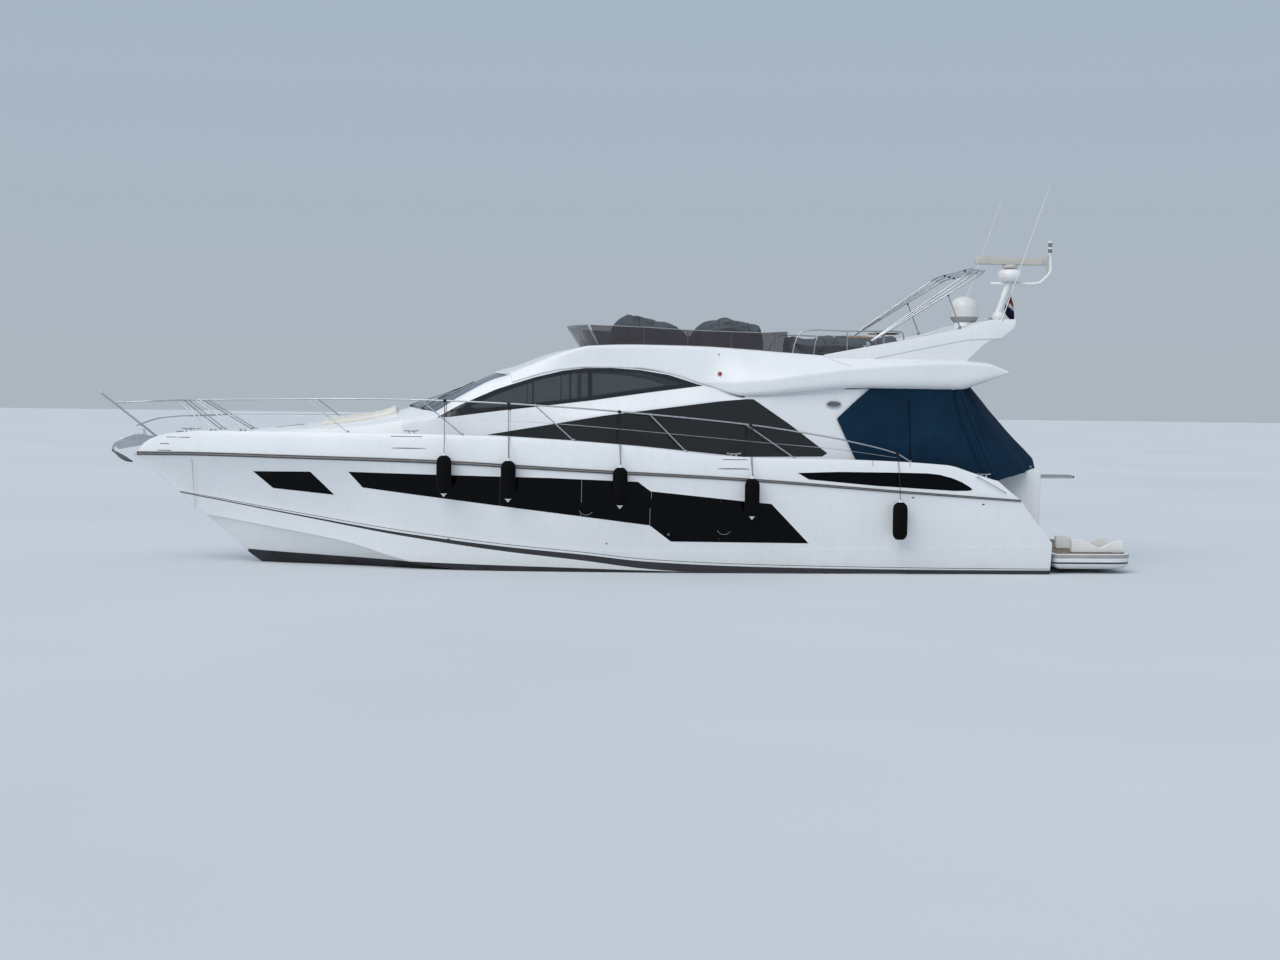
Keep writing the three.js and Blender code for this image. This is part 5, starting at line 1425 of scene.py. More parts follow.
def vent_grilles():
    """Oval grilles on the deckhouse side, above the side deck, with a dark oval of painted shade behind the
    bars.
    """
    x, z = 4000, 3500
    vent = []
    for side in (-1, 1):
        y = side * 2108
        # The inner oval in dark trim is painted shade: the dark inside of the vent behind the bars.
        for a, b, count, proud, bevel, mat in ((160, 70, 32, 16, 4, 0), (132, 48, 28, 19, 1, 1)):
            low, high = sorted((y, y + side * proud))
            vent.append(prism(oval(x, z, a, b, count), low, high, bevel=bevel, mat=mat))
        for k in range(-3, 4):
            bar = [(x - 120, y + side * 19, z + 12 * k), (x + 120, y + side * 19, z + 12 * k)]
            vent.append(tube(bar, 2.5, 6))
    build("saloon_vent_grilles_with_painted_shade", vent, [STEEL, DARK_TRIM])


def navigation_lights():
    lamps = []

    def skin_at(x, z):
        """Half-breadth of the flybridge's side at x and z, and the way it faces."""
        _, _, crease_y, crease_z, top_y, top_z, _ = fly_at(x)
        t = (z - crease_z) / (top_z - crease_z)
        way = Vector((0, top_z - crease_z, crease_y - top_y)).normalized()
        return crease_y + (top_y - crease_y) * t, way

    for side, lens in ((-1, 1), (1, 2)):
        y, out = skin_at(LAMP_X, LAMP_Z)
        base = Vector((LAMP_X, side * (y - 4), LAMP_Z))
        out = Vector((0, side * out.y, out.z))
        lamps.append(lathe([(0, 0), (56, 0), (56, 14), (50, 20), (44, 20), (0, 20)], base, out, 28))
        lamps.append(lathe([(0, 18), (40, 18), (41, 30), (34, 44), (18, 52), (0, 54)], base, out, 24, lens))
        x, z = LAMP_X - 5, LAMP_Z + 405
        y, out = skin_at(x, z)
        button = [(0, 0), (19, 0), (19, 10), (12, 18), (0, 18)]
        lamps.append(lathe(button, (x, side * (y - 3), z), (0, side * out.y, out.z), 16, 3))
    build("navigation_lights", lamps, [PLASTIC, RED, GREEN, STEEL])


rubbing_strake()
# Seams of both sides, with painted shade in the drains and slots and painted highlights on two port rims.
build("hull_seams_and_painted_light", side_seams(-1) + side_seams(1), [DARK_TRIM, GREY_PLASTIC])
# The dark centres of these fittings are painted shade in their openings.
build("hull_fittings_with_hole_shade", side_metal(-1) + side_metal(1), [STEEL, RUBBER])
window_rims()
vent_grilles()
navigation_lights()


# Bow gear
def bow_roller():
    cheek = [
        (-10150, 2640), (-10500, 2700), (-10860, 2560), (-10940, 2440), (-10860, 2360), (-10550, 2420),
        (-10150, 2500)]
    sole = [(-10050, 2470), (-10050, 2560), (-10560, 2505), (-10860, 2392), (-10850, 2372), (-10550, 2445)]
    wheel = [
        (0, 0), (50, 0), (50, 12), (34, 40), (24, 60), (24, 106), (34, 126), (50, 154), (50, 166), (0, 166)]
    pin = [(0, 0), (22, 0), (22, 10), (14, 18), (14, 198), (22, 206), (22, 216), (0, 216)]
    hoop = [
        (-10330, -89, 2660), (-10345, -89, 2740), (-10360, -55, 2775), (-10365, 0, 2785),
        (-10360, 55, 2775), (-10345, 89, 2740), (-10330, 89, 2660)]
    forms = [prism(round_outline(cheek, 60, 4), y, y + 12, bevel=3) for y in (-95, 83)]
    forms += [
        prism(round_outline(sole, 12, 2), -84, 84, bevel=3),
        lathe(wheel, (-10850, -83, 2455.8), ACROSS, 28, 1), lathe(pin, (-10850, -108, 2455.8), ACROSS, 16),
        tube(hoop, 8, 10, 24)]
    build("bow_roller_frame", forms, [STEEL, RUBBER], replaces=["bow_roller"])


def anchor_fluke():
    """The spoon-shaped fluke, from its heel to its point."""
    span = 14
    rings = []
    for s in range(span + 1):
        t = s / span
        x = -11010 + 420 * t
        half = 30 + 165 * math.sin(math.pi * min(t * 1.02, 1)) ** 0.8
        top = 2345 - 235 * t
        low = top - 18 - 75 * math.sin(math.pi * t)
        rings.append([
            (x, -half, top), (x, -half * 0.5, top - 22), (x, 0, top - 30), (x, half * 0.5, top - 22),
            (x, half, top), (x + 4, half * 0.5, low + 30), (x + 8, 0, low), (x + 4, -half * 0.5, low + 30)])
    return painted(loft(rings), 1)


def anchor():
    shank = [
        (-10200, 2650), (-10500, 2640), (-10790, 2600), (-10930, 2530), (-11010, 2420), (-11010, 2300),
        (-10960, 2300), (-10960, 2410), (-10895, 2490), (-10780, 2545), (-10500, 2595), (-10200, 2610)]
    parts = [prism(round_outline(shank, 26, 4), -16, 16, bevel=6), anchor_fluke(),
             tube([(-10180, -26, 2630), (-10180, 26, 2630)], 12, 12)]
    # The fluke is in the dark steel of painted shade.
    build("anchor_forged", parts, [STEEL, FLUKE_SHADE], replaces=["anchor"])


def windlass():
    switch = [(0, 0), (40, 0), (40, 12), (30, 20), (0, 20)]
    drum = [(0, 0), (82, 0), (84, 16), (58, 40), (50, 70), (58, 100), (80, 120), (80, 132), (0, 132)]
    gypsy = [(0, 0), (80, 0), (80, 12), (58, 32), (50, 62), (58, 92), (84, 116), (82, 132), (0, 132)]
    gear = [
        prism(soft_rectangle(-9760, -9440, -160, 160, 60, 5), 2470, 2560, "xy", bevel=14, segments=3),
        prism(soft_rectangle(-9680, -9520, -70, 70, 30), 2550, 2740, "xy", bevel=22, segments=4),
        lathe(drum, (-9600, -214, 2680), ACROSS, 32), lathe(gypsy, (-9600, 82, 2680), ACROSS, 32),
        lathe([(0, 0), (26, 0), (26, 8), (16, 16), (0, 16)], (-9600, 214, 2680), ACROSS, 18)]
    gear += [lathe(switch, (-9330, y, 2500), UP, 20, 1) for y in (240, 330)]
    build("windlass_drums", gear, [STEEL, RUBBER], replaces=["windlass"])


def anchor_chain():
    start, end = Vector((-9690, 0, 2600)), Vector((-10190, 0, 2650))
    count = 15
    links = []
    for k in range(count):
        t = (k + 0.5) / count
        centre = start.lerp(end, t) - Vector((0, 0, 26 * math.sin(math.pi * t)))
        loop = []
        for s in range(17):
            a = 2 * math.pi * s / 16
            u, v = 23 * math.cos(a), 12 * math.sin(a)
            loop.append(centre + Vector((u, v, 0) if k % 2 else (u, 0, v)))
        links.append(tube(loop, 5, 8))
    build("anchor_chain", links, [WORN_STEEL], angle=60)


def jackstaff():
    lean = (-0.787, 0, 0.617)
    pole = [tube([(-9890 - 1370 * t, 0, 2487 + 1073 * t) for t in (0, 0.5, 0.97)], 22, 20),
            lathe([(0, 0), (28, 4), (32, 20), (24, 38), (0, 42)], (-11228, 0, 3535), lean, 18),
            lathe([(0, 0), (48, 0), (48, 8), (26, 20), (22, 90), (0, 90)], (-9900, 0, 2492), lean, 20)]
    build("jackstaff_pole", pole, [STEEL], replaces=["jackstaff"])


def chain_locker_lids():
    lids = []
    for side in (-1, 1):
        corners = [(-8980, side * 60), (-8640, side * 90), (-8640, side * 420), (-8980, side * 330)]
        plan = round_outline(corners, 50, 4)
        levels = ((-6, 0), (8, 0), (12, -6))
        outlines = [(lift, grown(plan, margin) if margin else plan) for lift, margin in levels]
        lids.append(loft([[(x, y, deck_height(x) + 15 + lift) for x, y in outline]
                for lift, outline in outlines]))
    build("chain_locker_lids", lids, [NONSKID])


bow_roller()
anchor()
windlass()
anchor_chain()
jackstaff()
chain_locker_lids()


# Windscreen gear
WIPER_POST = [(0, 0), (34, 0), (34, 10), (26, 26), (24, 60), (0, 60)]


def screen_height(x, y):
    """Height of the deckhouse roof or windscreen at x, y."""
    edge_y, edge_z, crown = house_at(x)[-3:]
    t = abs(y) / edge_y
    return crown - (crown - edge_z) * t * t


def wiper(y0, y1):
    """A pantograph arm from its post at y0 to the blade at y1."""
    pivot = (-4730 + 560 * (y0 / SCREEN_HALF) ** 2, y0)
    tip = (-3750 + 400 * (y1 / SCREEN_HALF) ** 2, y1)
    arm, blade = [], []
    for s in range(9):
        t = s / 8
        x, y = pivot[0] + (tip[0] - pivot[0]) * t, pivot[1] + (tip[1] - pivot[1]) * t
        arm.append((x, y, screen_height(x, y) + 44 - 18 * t))
        x, y = tip[0] - 760 * (t - 0.5) - 90, tip[1] + 90 * (t - 0.5)
        blade.append((x, y, screen_height(x, y) + 14))
    post = lathe(WIPER_POST, (pivot[0], y0, screen_height(*pivot) - 14), (-0.55, 0, 0.83), 18)
    return [post, tube(arm, 8, 8, end_radius=5), tube(blade, 9, 6)]


def washer_jet(y):
    profile = [(0, 0), (16, 0), (14, 10), (6, 14), (0, 14)]
    at = (-4690 + 560 * (y / SCREEN_HALF) ** 2 - 130, y, screen_height(-4700, y) + 10)
    return lathe(profile, at, (-0.4, 0, 0.9), 14)


wipers = [form for y0, y1 in ((-1150, -560), (-80, 480), (480, 1060)) for form in wiper(y0, y1)]
build("windscreen_wipers", wipers, [DARK_TRIM])
build("washer_jets", [washer_jet(y) for y in (-900, 0, 900)], [STEEL])


# Flybridge screens, covers and rails
RAIL_PAD = [(0, 0), (34, 0), (34, 6), (20, 14), (0, 14)]
SCREEN_PAD = [(0, 0), (24, 0), (24, 6), (14, 12), (0, 12)]
side_screen_top = straight([
    (-860, 5078), (-400, 5060), (1200, 4985), (2600, 4960), (2920, 4985), (3080, 4990)])


def screen_wall(base, top, thick=9):
    """A thin upright sheet between a base line and a top line of points."""
    rings = []
    for i, (b, t) in enumerate(zip(base, top)):
        p, q = base[max(i - 1, 0)], base[min(i + 1, len(base) - 1)]
        along = Vector((q[0] - p[0], q[1] - p[1], 0)).normalized()
        out = Vector((along.y, -along.x, 0)) * thick
        b, t = Vector(b), Vector(t)
        rings.append([tuple(b), tuple(t), tuple(t + out), tuple(b + out)])
    return loft(rings)


def fly_top(x, y):
    top_y, top_z, crown = fly_at(x)[-3:]
    return top_z + (crown - top_z) * (1 - min(abs(y) / top_y, 1))


def wind_deflector():
    base, top = [], []
    for s in range(49):
        t = -1 + 2 * s / 48
        x = -1120 + 280 * t * t
        base.append((x, 1480 * t, fly_top(x, 1480 * t) - 4))
        top.append((x - 300 + 60 * t * t, 1470 * t, 5088 - 10 * t * t))
    build("deflector_pane", screen_wall(base, top, 10), [SMOKE], replaces=["wind_deflector"], angle=60)
    trim = [tube([(x, y, z + 4) for x, y, z in top], 13, 10),
            tube([(x + 2, y, z + 12) for x, y, z in base], 12, 8)]
    for t in (-1, -0.62, -0.22, 0.22, 0.62, 1):
        k = round((t + 1) * 24)
        trim.append(tube([base[k], top[k]], 9, 8))
    build("deflector_frame", trim, [GREY_PLASTIC])


def side_screen(side, name):
    low, high = [], []
    xs = frange(-840, 3080, 130)
    for x in xs:
        y = 1478 + 235 * min(1, (x + 840) / 900) ** 0.7
        rake = -180 if x < -700 else -180 + 180 * min(1, (x + 700) / 700)
        low.append((x, side * y, fly_top(x, y) - 6))
        high.append((x + rake, side * (y - 22), side_screen_top(x)))
    pane = screen_wall(low, high) if side < 0 else screen_wall(low[::-1], high[::-1])
    build("side_screen_" + name, pane, [SMOKE], angle=60)
    forms = [tube([(x, y, z + 3) for x, y, z in high], 9, 8),
             tube([(x, y - side * 2, z + 12) for x, y, z in low], 10, 8)]
    for k in range(0, len(xs), 7):
        x, y, z = low[k]
        forms += [tube([low[k], high[k]], 7, 8), lathe(SCREEN_PAD, (x, y - side * 12, z + 4), segments=14)]
    build("side_screen_frame_" + name, forms, [GREY_PLASTIC])


def flybridge_rail(side, name):
    y = side * 1665
    line = [
        (3180, y, 4480), (3260, y, 4800), (3370, y, 4985), (3520, y, 5030), (4400, y, 5030),
        (5480, y, 5030), (5530, y, 5000), (5550, y, 4900), (5555, y, 4440)]
    second = [(3640, y, 4480), (3680, y, 4780), (3740, y, 4940), (3830, y, 5030)]
    forms = [tube(line, 15, 14, 60), tube(second, 12, 12, 24)]
    for x in (4350, 4950):
        forms.append(tube([(x, y, 4440), (x, y, 5028)], 11, 12))
    for x in (3182, 3642, 4350, 4950, 5555):
        forms.append(lathe(RAIL_PAD, (x, y, 4500 if x < 4000 else 4470), segments=18))
    build("flybridge_rail_tube_" + name, forms, [STEEL], replaces=["flybridge_rail_" + name])


wind_deflector()
for side, name in SIDES:
    side_screen(side, name)
    flybridge_rail(side, name)


def fold(x, y, z, scale, seed=0.0):
    return field.noise(Vector((x / scale + seed, y / scale, z / scale)))


# Grey covers of the flybridge
RING_POINTS, TOP_RINGS, SIDE_RINGS = 150, 22, 16
COVER_HEM = 4310


def cover_rim(k):
    """A point of a square with round corners, at step k of a ring."""
    a = 2 * math.pi * k / RING_POINTS
    c, s = math.cos(a), math.sin(a)
    r = (abs(c) ** 5 + abs(s) ** 5) ** (-1 / 5)
    return c * r, s * r


def cover_rings(crest, x0, x1, half, seed, pleats):
    """Rings over the hipped top of a cover and down its sides, which hang in folds to the hem."""
    cx, hx = (x0 + x1) / 2, (x1 - x0) / 2

    def height(x, y):
        edge = half - abs(y)
        lift = min(1, max(edge, 0) / 420)
        low = min(crest(x), crest(x) - (1 - lift) ** 1.6 * 190)
        sag = 26 * math.sin(math.pi * (y + half) / (half * 0.66)) ** 2 * (1 if abs(y) < half * 0.94 else 0)
        ridge = 20 * fold(x, y, 0, 330, seed) + 11 * fold(x * 1.7 + y, y * 0.6, 0, 150, seed + 4)
        return low - sag + ridge

    rings = []
    for i in range(TOP_RINGS + 1):
        t = max(i / TOP_RINGS, 0.004)
        ring = []
        for u, v in map(cover_rim, range(RING_POINTS)):
            x, y = cx + hx * t * u, half * t * v
            ring.append((x, y, height(x, y)))
        rings.append(ring)
    edge_ring = rings[-1]
    for j in range(1, SIDE_RINGS + 1):
        t = j / SIDE_RINGS
        ring = []
        for k, (x, y, z) in enumerate(edge_ring):
            a = 2 * math.pi * k / RING_POINTS
            u, v = cover_rim(k)
            pleat = 16 * math.sin(pleats * a * 2 + 3 * fold(x, y, 0, 500, seed)) * t
            swing = pleat + 30 * fold(x, y, z * t, 240, seed + 9) * math.sin(math.pi * min(t * 1.1, 1))
            tuck = -34 * math.sin(math.pi * t) + 10 * t
            n = Vector((u / hx, v / half, 0)).normalized()
            down = z + (COVER_HEM - z) * t
            low = down + 7 * fold(x, y, 0, 160, seed + 2) * t
            ring.append((x + n.x * (swing + tuck), y + n.y * (swing + tuck), low))
        rings.append(ring)
    return rings


def cover_holds(points, profile, half):
    """How firmly each point of a cover is held: where it rests on the shapes below, and at its hem."""
    held = {}
    for i, (x, y, _) in enumerate(points):
        ring = i // RING_POINTS
        rest = 0
        if ring < TOP_RINGS and abs(y) < 0.9 * half:
            rest = max([math.exp(-((x - kx) / 80) ** 2) for kx, _ in profile[1:-1]])
        fixed = ring < 3 or ring == TOP_RINGS + SIDE_RINGS
        held[i] = 1.0 if fixed else min(1.0, max(rest, 0.0))
    return held


def soft_cover(name, profile, x0, x1, half, seed, pleats, replaces):
    """A fitted cloth cover, settled by cloth simulation, with two seams sewn across it."""
    crest = straight(profile)
    cx = (x0 + x1) / 2
    rings = cover_rings(crest, x0, x1, half, seed, pleats)
    skin = loft(rings, caps=False)
    settled = cloth(skin, cover_holds(skin[0], profile, half), 24, gravity=1.0, grow=0.045, cap=70,
            bend=0.35)
    outer = [settled[k * RING_POINTS:(k + 1) * RING_POINTS] for k in range(len(rings))]
    inner = [[(cx + (x - cx) * 0.997, y * 0.997, z - 3.0) for x, y, z in ring] for ring in reversed(outer)]
    made = build(name, loft(outer + inner, caps=True), [GREY_CLOTH], replaces=replaces, angle=55)
    width = 2 * (half + crest(cx) - COVER_HEM) * MM
    length = (x1 - x0 + 2 * (crest(cx) - COVER_HEM)) * MM
    surface = BVHTree.FromPolygons(settled, skin[1])
    seams = []
    for x in (x0 + 0.3 * (x1 - x0), x0 + 0.75 * (x1 - x0)):
        path = []
        for y in frange(-half + 70, half - 70, 30):
            hit = surface.ray_cast(Vector((x, y, 9000)), Vector((0, 0, -1)))[0]
            path.append((x, y, hit.z + 2))
        seams.append(tube(path, 4, 6))
    build(name + "_seams", seams, [BLACK_CLOTH], angle=60)


def flybridge_tables():
    top = prism(soft_rectangle(4900, 5500, 1030, 1560, 90, 5), 4985, 5015, "xy", bevel=6)
    column = [(0, 0), (60, 0), (60, 14), (32, 30), (32, 690), (0, 690)]
    leg = lathe(column, (5200, 1295, 4300), segments=24, mat=1)
    build("flybridge_table", [top, leg, moved(top, mirror=True), moved(leg, mirror=True)], [TEAK, STEEL])


CONSOLE_TOP = [
    (-520, 4760), (-400, 5120), (-300, 5250), (-170, 5345), (300, 5262), (700, 5185), (960, 5010),
    (1240, 4800)]
SEATS_TOP = [(1290, 4880), (1400, 5080), (1570, 5250), (1930, 5305), (2300, 5225), (2600, 5150),
        (2700, 4900)]
SOFA_TOP = [(3300, 4860), (3380, 4955), (4200, 4985), (5600, 5000), (5700, 4940)]
soft_cover("helm_console_drape", CONSOLE_TOP, -500, 1225, 1345, 1.3, 9, ["helm_console_cover"])
soft_cover("helm_seat_drape", SEATS_TOP, 1300, 2700, 1295, 5.1, 8, ["helm_seat_cover"])
soft_cover("sofa_drape", SOFA_TOP, 3310, 5780, 900, 8.7, 11, ["sofa_cover"])
flybridge_tables()


# Arch equipment
PENNANT_ROWS, PENNANT_COLUMNS = 46, 40
PENNANT_BANDS = (
    ("red", (0.16, 0.012, 0.012)), ("white", (0.42, 0.42, 0.42)), ("blue", (0.008, 0.010, 0.035)))


def pennant_rows():
    """Rows of points of the limp cloth, which hangs by one corner in pleats."""
    rings = []
    for i in range(PENNANT_ROWS + 1):
        t = i / PENNANT_ROWS
        left = 60 * t ** 4 - 125 * math.sin(math.pi * t ** 1.3)
        right = 10 + 85 * math.sin(math.pi / 2 * min(1, t / 0.7))
        row = []
        for j in range(PENNANT_COLUMNS + 1):
            u = j / PENNANT_COLUMNS
            pleat = (14 + 16 * t) * math.sin(2 * math.pi * (2.2 * u + 0.5 * t))
            y = -6 + (pleat + 10 * fold(u * 300, 0, t * 500, 160, 3.0))
            z = 5985 - 620 * t - 60 * (1 - t) * abs(u - 0.5) + 30 * u * t
            row.append((8288 + left + (right - left) * u, y, z))
        rings.append(row)
    return rings


def pennant():
    """A small limp cloth in three bands, behind the mast, on its halyard."""
    rings = pennant_rows()
    wide, half = PENNANT_COLUMNS + 1, (PENNANT_ROWS + 1) * (PENNANT_COLUMNS + 1)
    faces, mats = [], []
    for i in range(PENNANT_ROWS):
        for j in range(PENNANT_COLUMNS):
            corners = (rings[i][j], rings[i][j + 1], rings[i + 1][j + 1], rings[i + 1][j])
            a, b, c, d = (Vector(p) for p in corners)
            k = i * wide + j
            faces.append((k, k + 1, k + wide + 1, k + wide))
            faces.append((k + half, k + half + wide, k + half + wide + 1, k + half + 1))
            band = i / PENNANT_ROWS - 0.3 * j / PENNANT_COLUMNS
            mats += [0 if band < 0.2 else 1 if band < 0.36 else 2] * 2
    points = [p for row in rings for p in row] + [(x, y + 1.2, z) for row in rings for x, y, z in row]
    rim = list(range(wide)) + [i * wide + PENNANT_COLUMNS for i in range(1, PENNANT_ROWS + 1)]
    rim += [PENNANT_ROWS * wide + j for j in range(PENNANT_COLUMNS - 1, -1, -1)]
    rim += [i * wide for i in range(PENNANT_ROWS - 1, 0, -1)]
    for a, b in zip(rim, rim[1:] + rim[:1]):
        faces.append((a, b, b + half, a + half))
        mats.append(2)
    cloths = [weave_material("band_" + name, color, 700, shade=0.2) for name, color in PENNANT_BANDS]
    made = build("mast_pennant", (points, faces, mats), cloths, slot="cover_grey", angle=70)
    halyard = tube([(8300, -4, 6176), (8293, -5, 6070), (8292, -6, 5978)], 3, 6)
    build("pennant_halyard", halyard, [ROPE_WHITE])


def radome():
    """A domed cover on a grey base."""
    dome = [(0, 0), (236, 0), (250, 8), (292, 66), (303, 96), (305, 110), (305, 300)]
    for s in range(1, 15):
        a = math.pi / 2 * s / 14
        dome.append((305 * math.cos(a) ** 0.85 if s < 14 else 0, 300 + 258 * math.sin(a)))
    points, faces, _ = lathe(dome, (7270, 0, 5330.3), segments=40)
    heights = [sum(points[i][2] for i in f) / len(f) for f in faces]
    mats = [1 if z < 5330 + 104 else 0 for z in heights]
    build("radome_shell", (points, faces, mats), [PLASTIC, GREY_PLASTIC], replaces=["radome"])


def mast_pole():
    """The raked pole on its domed foot, with the arm that carries the lamps aft and up."""
    foot = [(0, 0), (150, 0), (152, 14), (124, 26)]
    for s in range(-3, 12):
        a = math.pi / 2 * s / 11
        foot.append((136 * math.cos(a) + 2, 120 + 138 * math.sin(a)))
    arm = [
        (7862, 0, 6180), (8500, 0, 6188), (8860, 0, 6196), (8940, 0, 6216), (8990, 0, 6252),
        (9140, 0, 6408), (9176, 0, 6460), (9186, 0, 6530), (9176, 0, 6700), (9166, 0, 6850)]
    stay = [
        (8950, 0, 6240), (9070, 0, 6370), (9096, 0, 6430), (9100, 0, 6520), (9098, 0, 6680),
        (9108, 0, 6780), (9160, 0, 6820)]
    return [
        lathe(foot + [(0, 259)], (8030, 0, 5330), segments=32),
        tube([(8000, 0, 5470), (8270, 0, 6262)], 74, 28, end_radius=66),
        tube([(8060, 0, 5480), (8330, 0, 6230)], 9, 10, mat=1), tube(arm, 36, 18, 80),
        tube(stay, 24, 14, 60, mat=3), lathe([(0, 0), (33, 3), (36, 14), (0, 16)], (7848, 0, 6180),
                (1, 0, 0.01), 18)]


def mast_gear():
    """The scanner's housing, the two lamps, the two mushroom aerials and the twin horn."""
    house = [
        (0, 0), (186, 0), (206, 8), (240, 44), (262, 84), (268, 120), (266, 178), (252, 216), (214, 246),
        (150, 264), (140, 268), (0, 268)]
    parts = [lathe(house, (8270, 0, 6230), segments=40)]
    parts.append(lathe([(0, 0), (46, 0), (48, 18), (44, 30), (0, 30)], (9165, 0, 6838), segments=24))
    lens = [(0, 0), (43, 0), (44, 4), (44, 86), (43, 90), (0, 90)]
    cap = [(0, 0), (46, 2), (48, 8), (48, 30), (42, 40), (0, 42)]
    for z in (6868, 7000):
        parts += [lathe(lens, (9165, 0, z), segments=24, mat=2), lathe(cap, (9165, 0, z + 88), segments=24)]
    stem = [(0, 0), (40, 0), (40, 6), (14, 14), (13, 70), (0, 70)]
    mushroom = [(0, 0), (44, 0), (48, 10), (46, 34), (32, 52), (0, 60)]
    for y in (-560, 560):
        parts += [lathe(stem, (7900, y, 5325), segments=18), lathe(mushroom, (7900, y, 5394), segments=24)]
    horn = [(0, 0), (20, 0), (22, 60), (30, 190), (46, 240), (40, 244), (26, 190), (0, 180)]
    for y in (180, 320):
        parts.append(lathe(horn, (8160, y, 5400), (-1, 0, 0.05), 20, 1))
        parts.append(tube([(8120, y, 5330), (8120, y, 5400)], 9, 10, mat=1))
    return parts


def scanner():
    """The open bar of the radar on its turning base, with a grey lip along its lower edge."""
    bar = []
    for s in range(49):
        t = (1 - math.cos(math.pi * s / 48)) / 2
        x = 7490 + 1560 * t
        e = math.sqrt(max(0, 1 - (1 - min(1, min(t, 1 - t) * 16)) ** 2))
        h, w = 26 + 62 * e, 20 + 36 * e
        shoulder, crown = 6592 + h * 1.4, 6600 + h * 1.9
        bar.append([
            (x, -w, 6620), (x, -w, 6590 + h * 0.2), (x, -w * 0.94, shoulder), (x, -w * 0.6, crown),
            (x, w * 0.6, crown), (x, w * 0.94, shoulder), (x, w, 6590 + h * 0.2), (x, w, 6620),
            (x, w * 0.5, 6606 - 12 * e), (x, -w * 0.5, 6606 - 12 * e)])
    lip = [[(x, -40, 6604), (x, -46, 6622), (x, 46, 6622), (x, 40, 6604)]
           for x in (7560, 7900, 8270, 8640, 8980)]
    base = [(0, 0), (52, 0), (55, 6), (120, 14), (160, 30), (164, 64), (150, 84), (130, 100), (0, 104)]
    forms = [loft(bar), painted(loft(lip), 1), lathe(base, (8270, 0, 6500.5), segments=32)]
    build("scanner_bar", forms, [RADAR_GREY, GREY_PLASTIC], body="radar_scanner",
          replaces=["radar_scanner"], angle=40)


radome()
build("mast_assembly", mast_pole() + mast_gear(), [PAINT, STEEL, CLEAR, RADAR_GREY],
      replaces=["radar_mast"])
pennant()
scanner()


# Bimini frame
PIVOT_X, PIVOT_Z = 4750, 4775


def bimini_bow(order, name):
    """One of three nested bows, from its hinges at the foot round over the deck."""
    half = 1850 - 55 * order
    length = 2960 - 80 * order
    slope = math.radians(32 + 1.6 * order)
    corner = 260

    def at(r, y):
        return (PIVOT_X + r * math.cos(slope), y, PIVOT_Z + r * math.sin(slope))

    path = [
        at(34, -half), at(length * 0.5, -half), at(length - corner, -half), at(length - 70, 70 - half),
        at(length, corner - half), at(length, 0), at(length, half - corner), at(length - 70, half - 70),
        at(length - corner, half), at(length * 0.5, half), at(34, half)]
    eye = [(0, 0), (31, 0), (32, 3), (32, 21), (31, 24), (0, 24)]
    socket = [(0, 0), (23, 0), (24, 60), (21, 66), (0, 66)]
    forms = [tube(path, 19, 16, 90)]
    for y in (-half, half):
        forms.append(lathe(eye, (PIVOT_X, y - 12, PIVOT_Z), ACROSS, 26))
        forms.append(lathe(socket, at(24, y), (math.cos(slope), 0, math.sin(slope)), 18, 1))
    for y in (-half * 0.5, half * 0.5):
        forms.append(tube([at(length, y - 34), at(length, y + 34)], 25, 16, mat=1))
    for r in (length * 0.42, length * 0.8):
        for y in (-half, half):
            forms.append(tube([at(r - 22, y), at(r + 22, y)], 22.5, 16))
    build(name + "_tube", forms, [STEEL, DARK_TRIM], body=name, replaces=[name])


def bimini_strut(side, name):
    y = side * 1850
    eye = [(0, 0), (23, 0), (24, 4), (24, 28), (23, 32), (0, 32)]
    forms = [tube([(6700, y, 5140), (6440, y, 5795)], 14, 14), lathe(eye, (6700, y - 16, 5140), ACROSS, 20),
             tube([(6446, y, 5780), (6434, y, 5810)], 19, 12, mat=1)]
    body = "bimini_strut_" + name
    build("bimini_strut_rod_" + name, forms, [STEEL, DARK_TRIM], body=body, replaces=[body])


def bimini_foot(side, name):
    button = [(0, 0), (17, 0), (17, 8), (10, 14), (0, 14)]
    foot = [
        prism(soft_rectangle(4710, 4790, 4600, 4810, 30), -1898, -1882, bevel=3),
        block(4650, 4850, -1898, -1806, 4640, 4730, 10, 3),
        tube([(PIVOT_X, -1902, PIVOT_Z), (PIVOT_X, -1712, PIVOT_Z)], 9, 14),
        lathe(button, (PIVOT_X, -1898, PIVOT_Z), (0, -1, 0), 18)]
    build("bimini_foot_plate_" + name, [moved(form, mirror=side > 0) for form in foot], [STEEL],
          replaces=["bimini_foot_" + name])


for order, name in enumerate(("outer", "middle", "inner")):
    bimini_bow(order, "bimini_bow_" + name)
for side, name in SIDES:
    bimini_strut(side, name)
    bimini_foot(side, name)


# Cockpit canvas
CANVAS_ROWS, SIDE_COLUMNS, AFT_COLUMNS = 40, 60, 84
canvas_front = straight([(1900, 4660), (2370, 4470), (3200, 4065), (3560, 4440), (3830, 4750)])
canvas_stern = straight([(1830, 8735), (2130, 8725), (2370, 8650), (3330, 7740), (3900, 7235)])


def canvas_line(level):
    """Half of the canvas plan at a height: the corner's x, then points from there to the centreline."""
    share = (level - 1830) / 2070
    corner = 7560 - 880 * share
    aft = canvas_stern(level)
    width = 2130 - 40 * share
    bend = corner + (aft - corner) * 0.62
    return corner, [(corner, width), (bend, 1500 - 40 * share), (aft - 14, 700), (aft + 12, 0)]


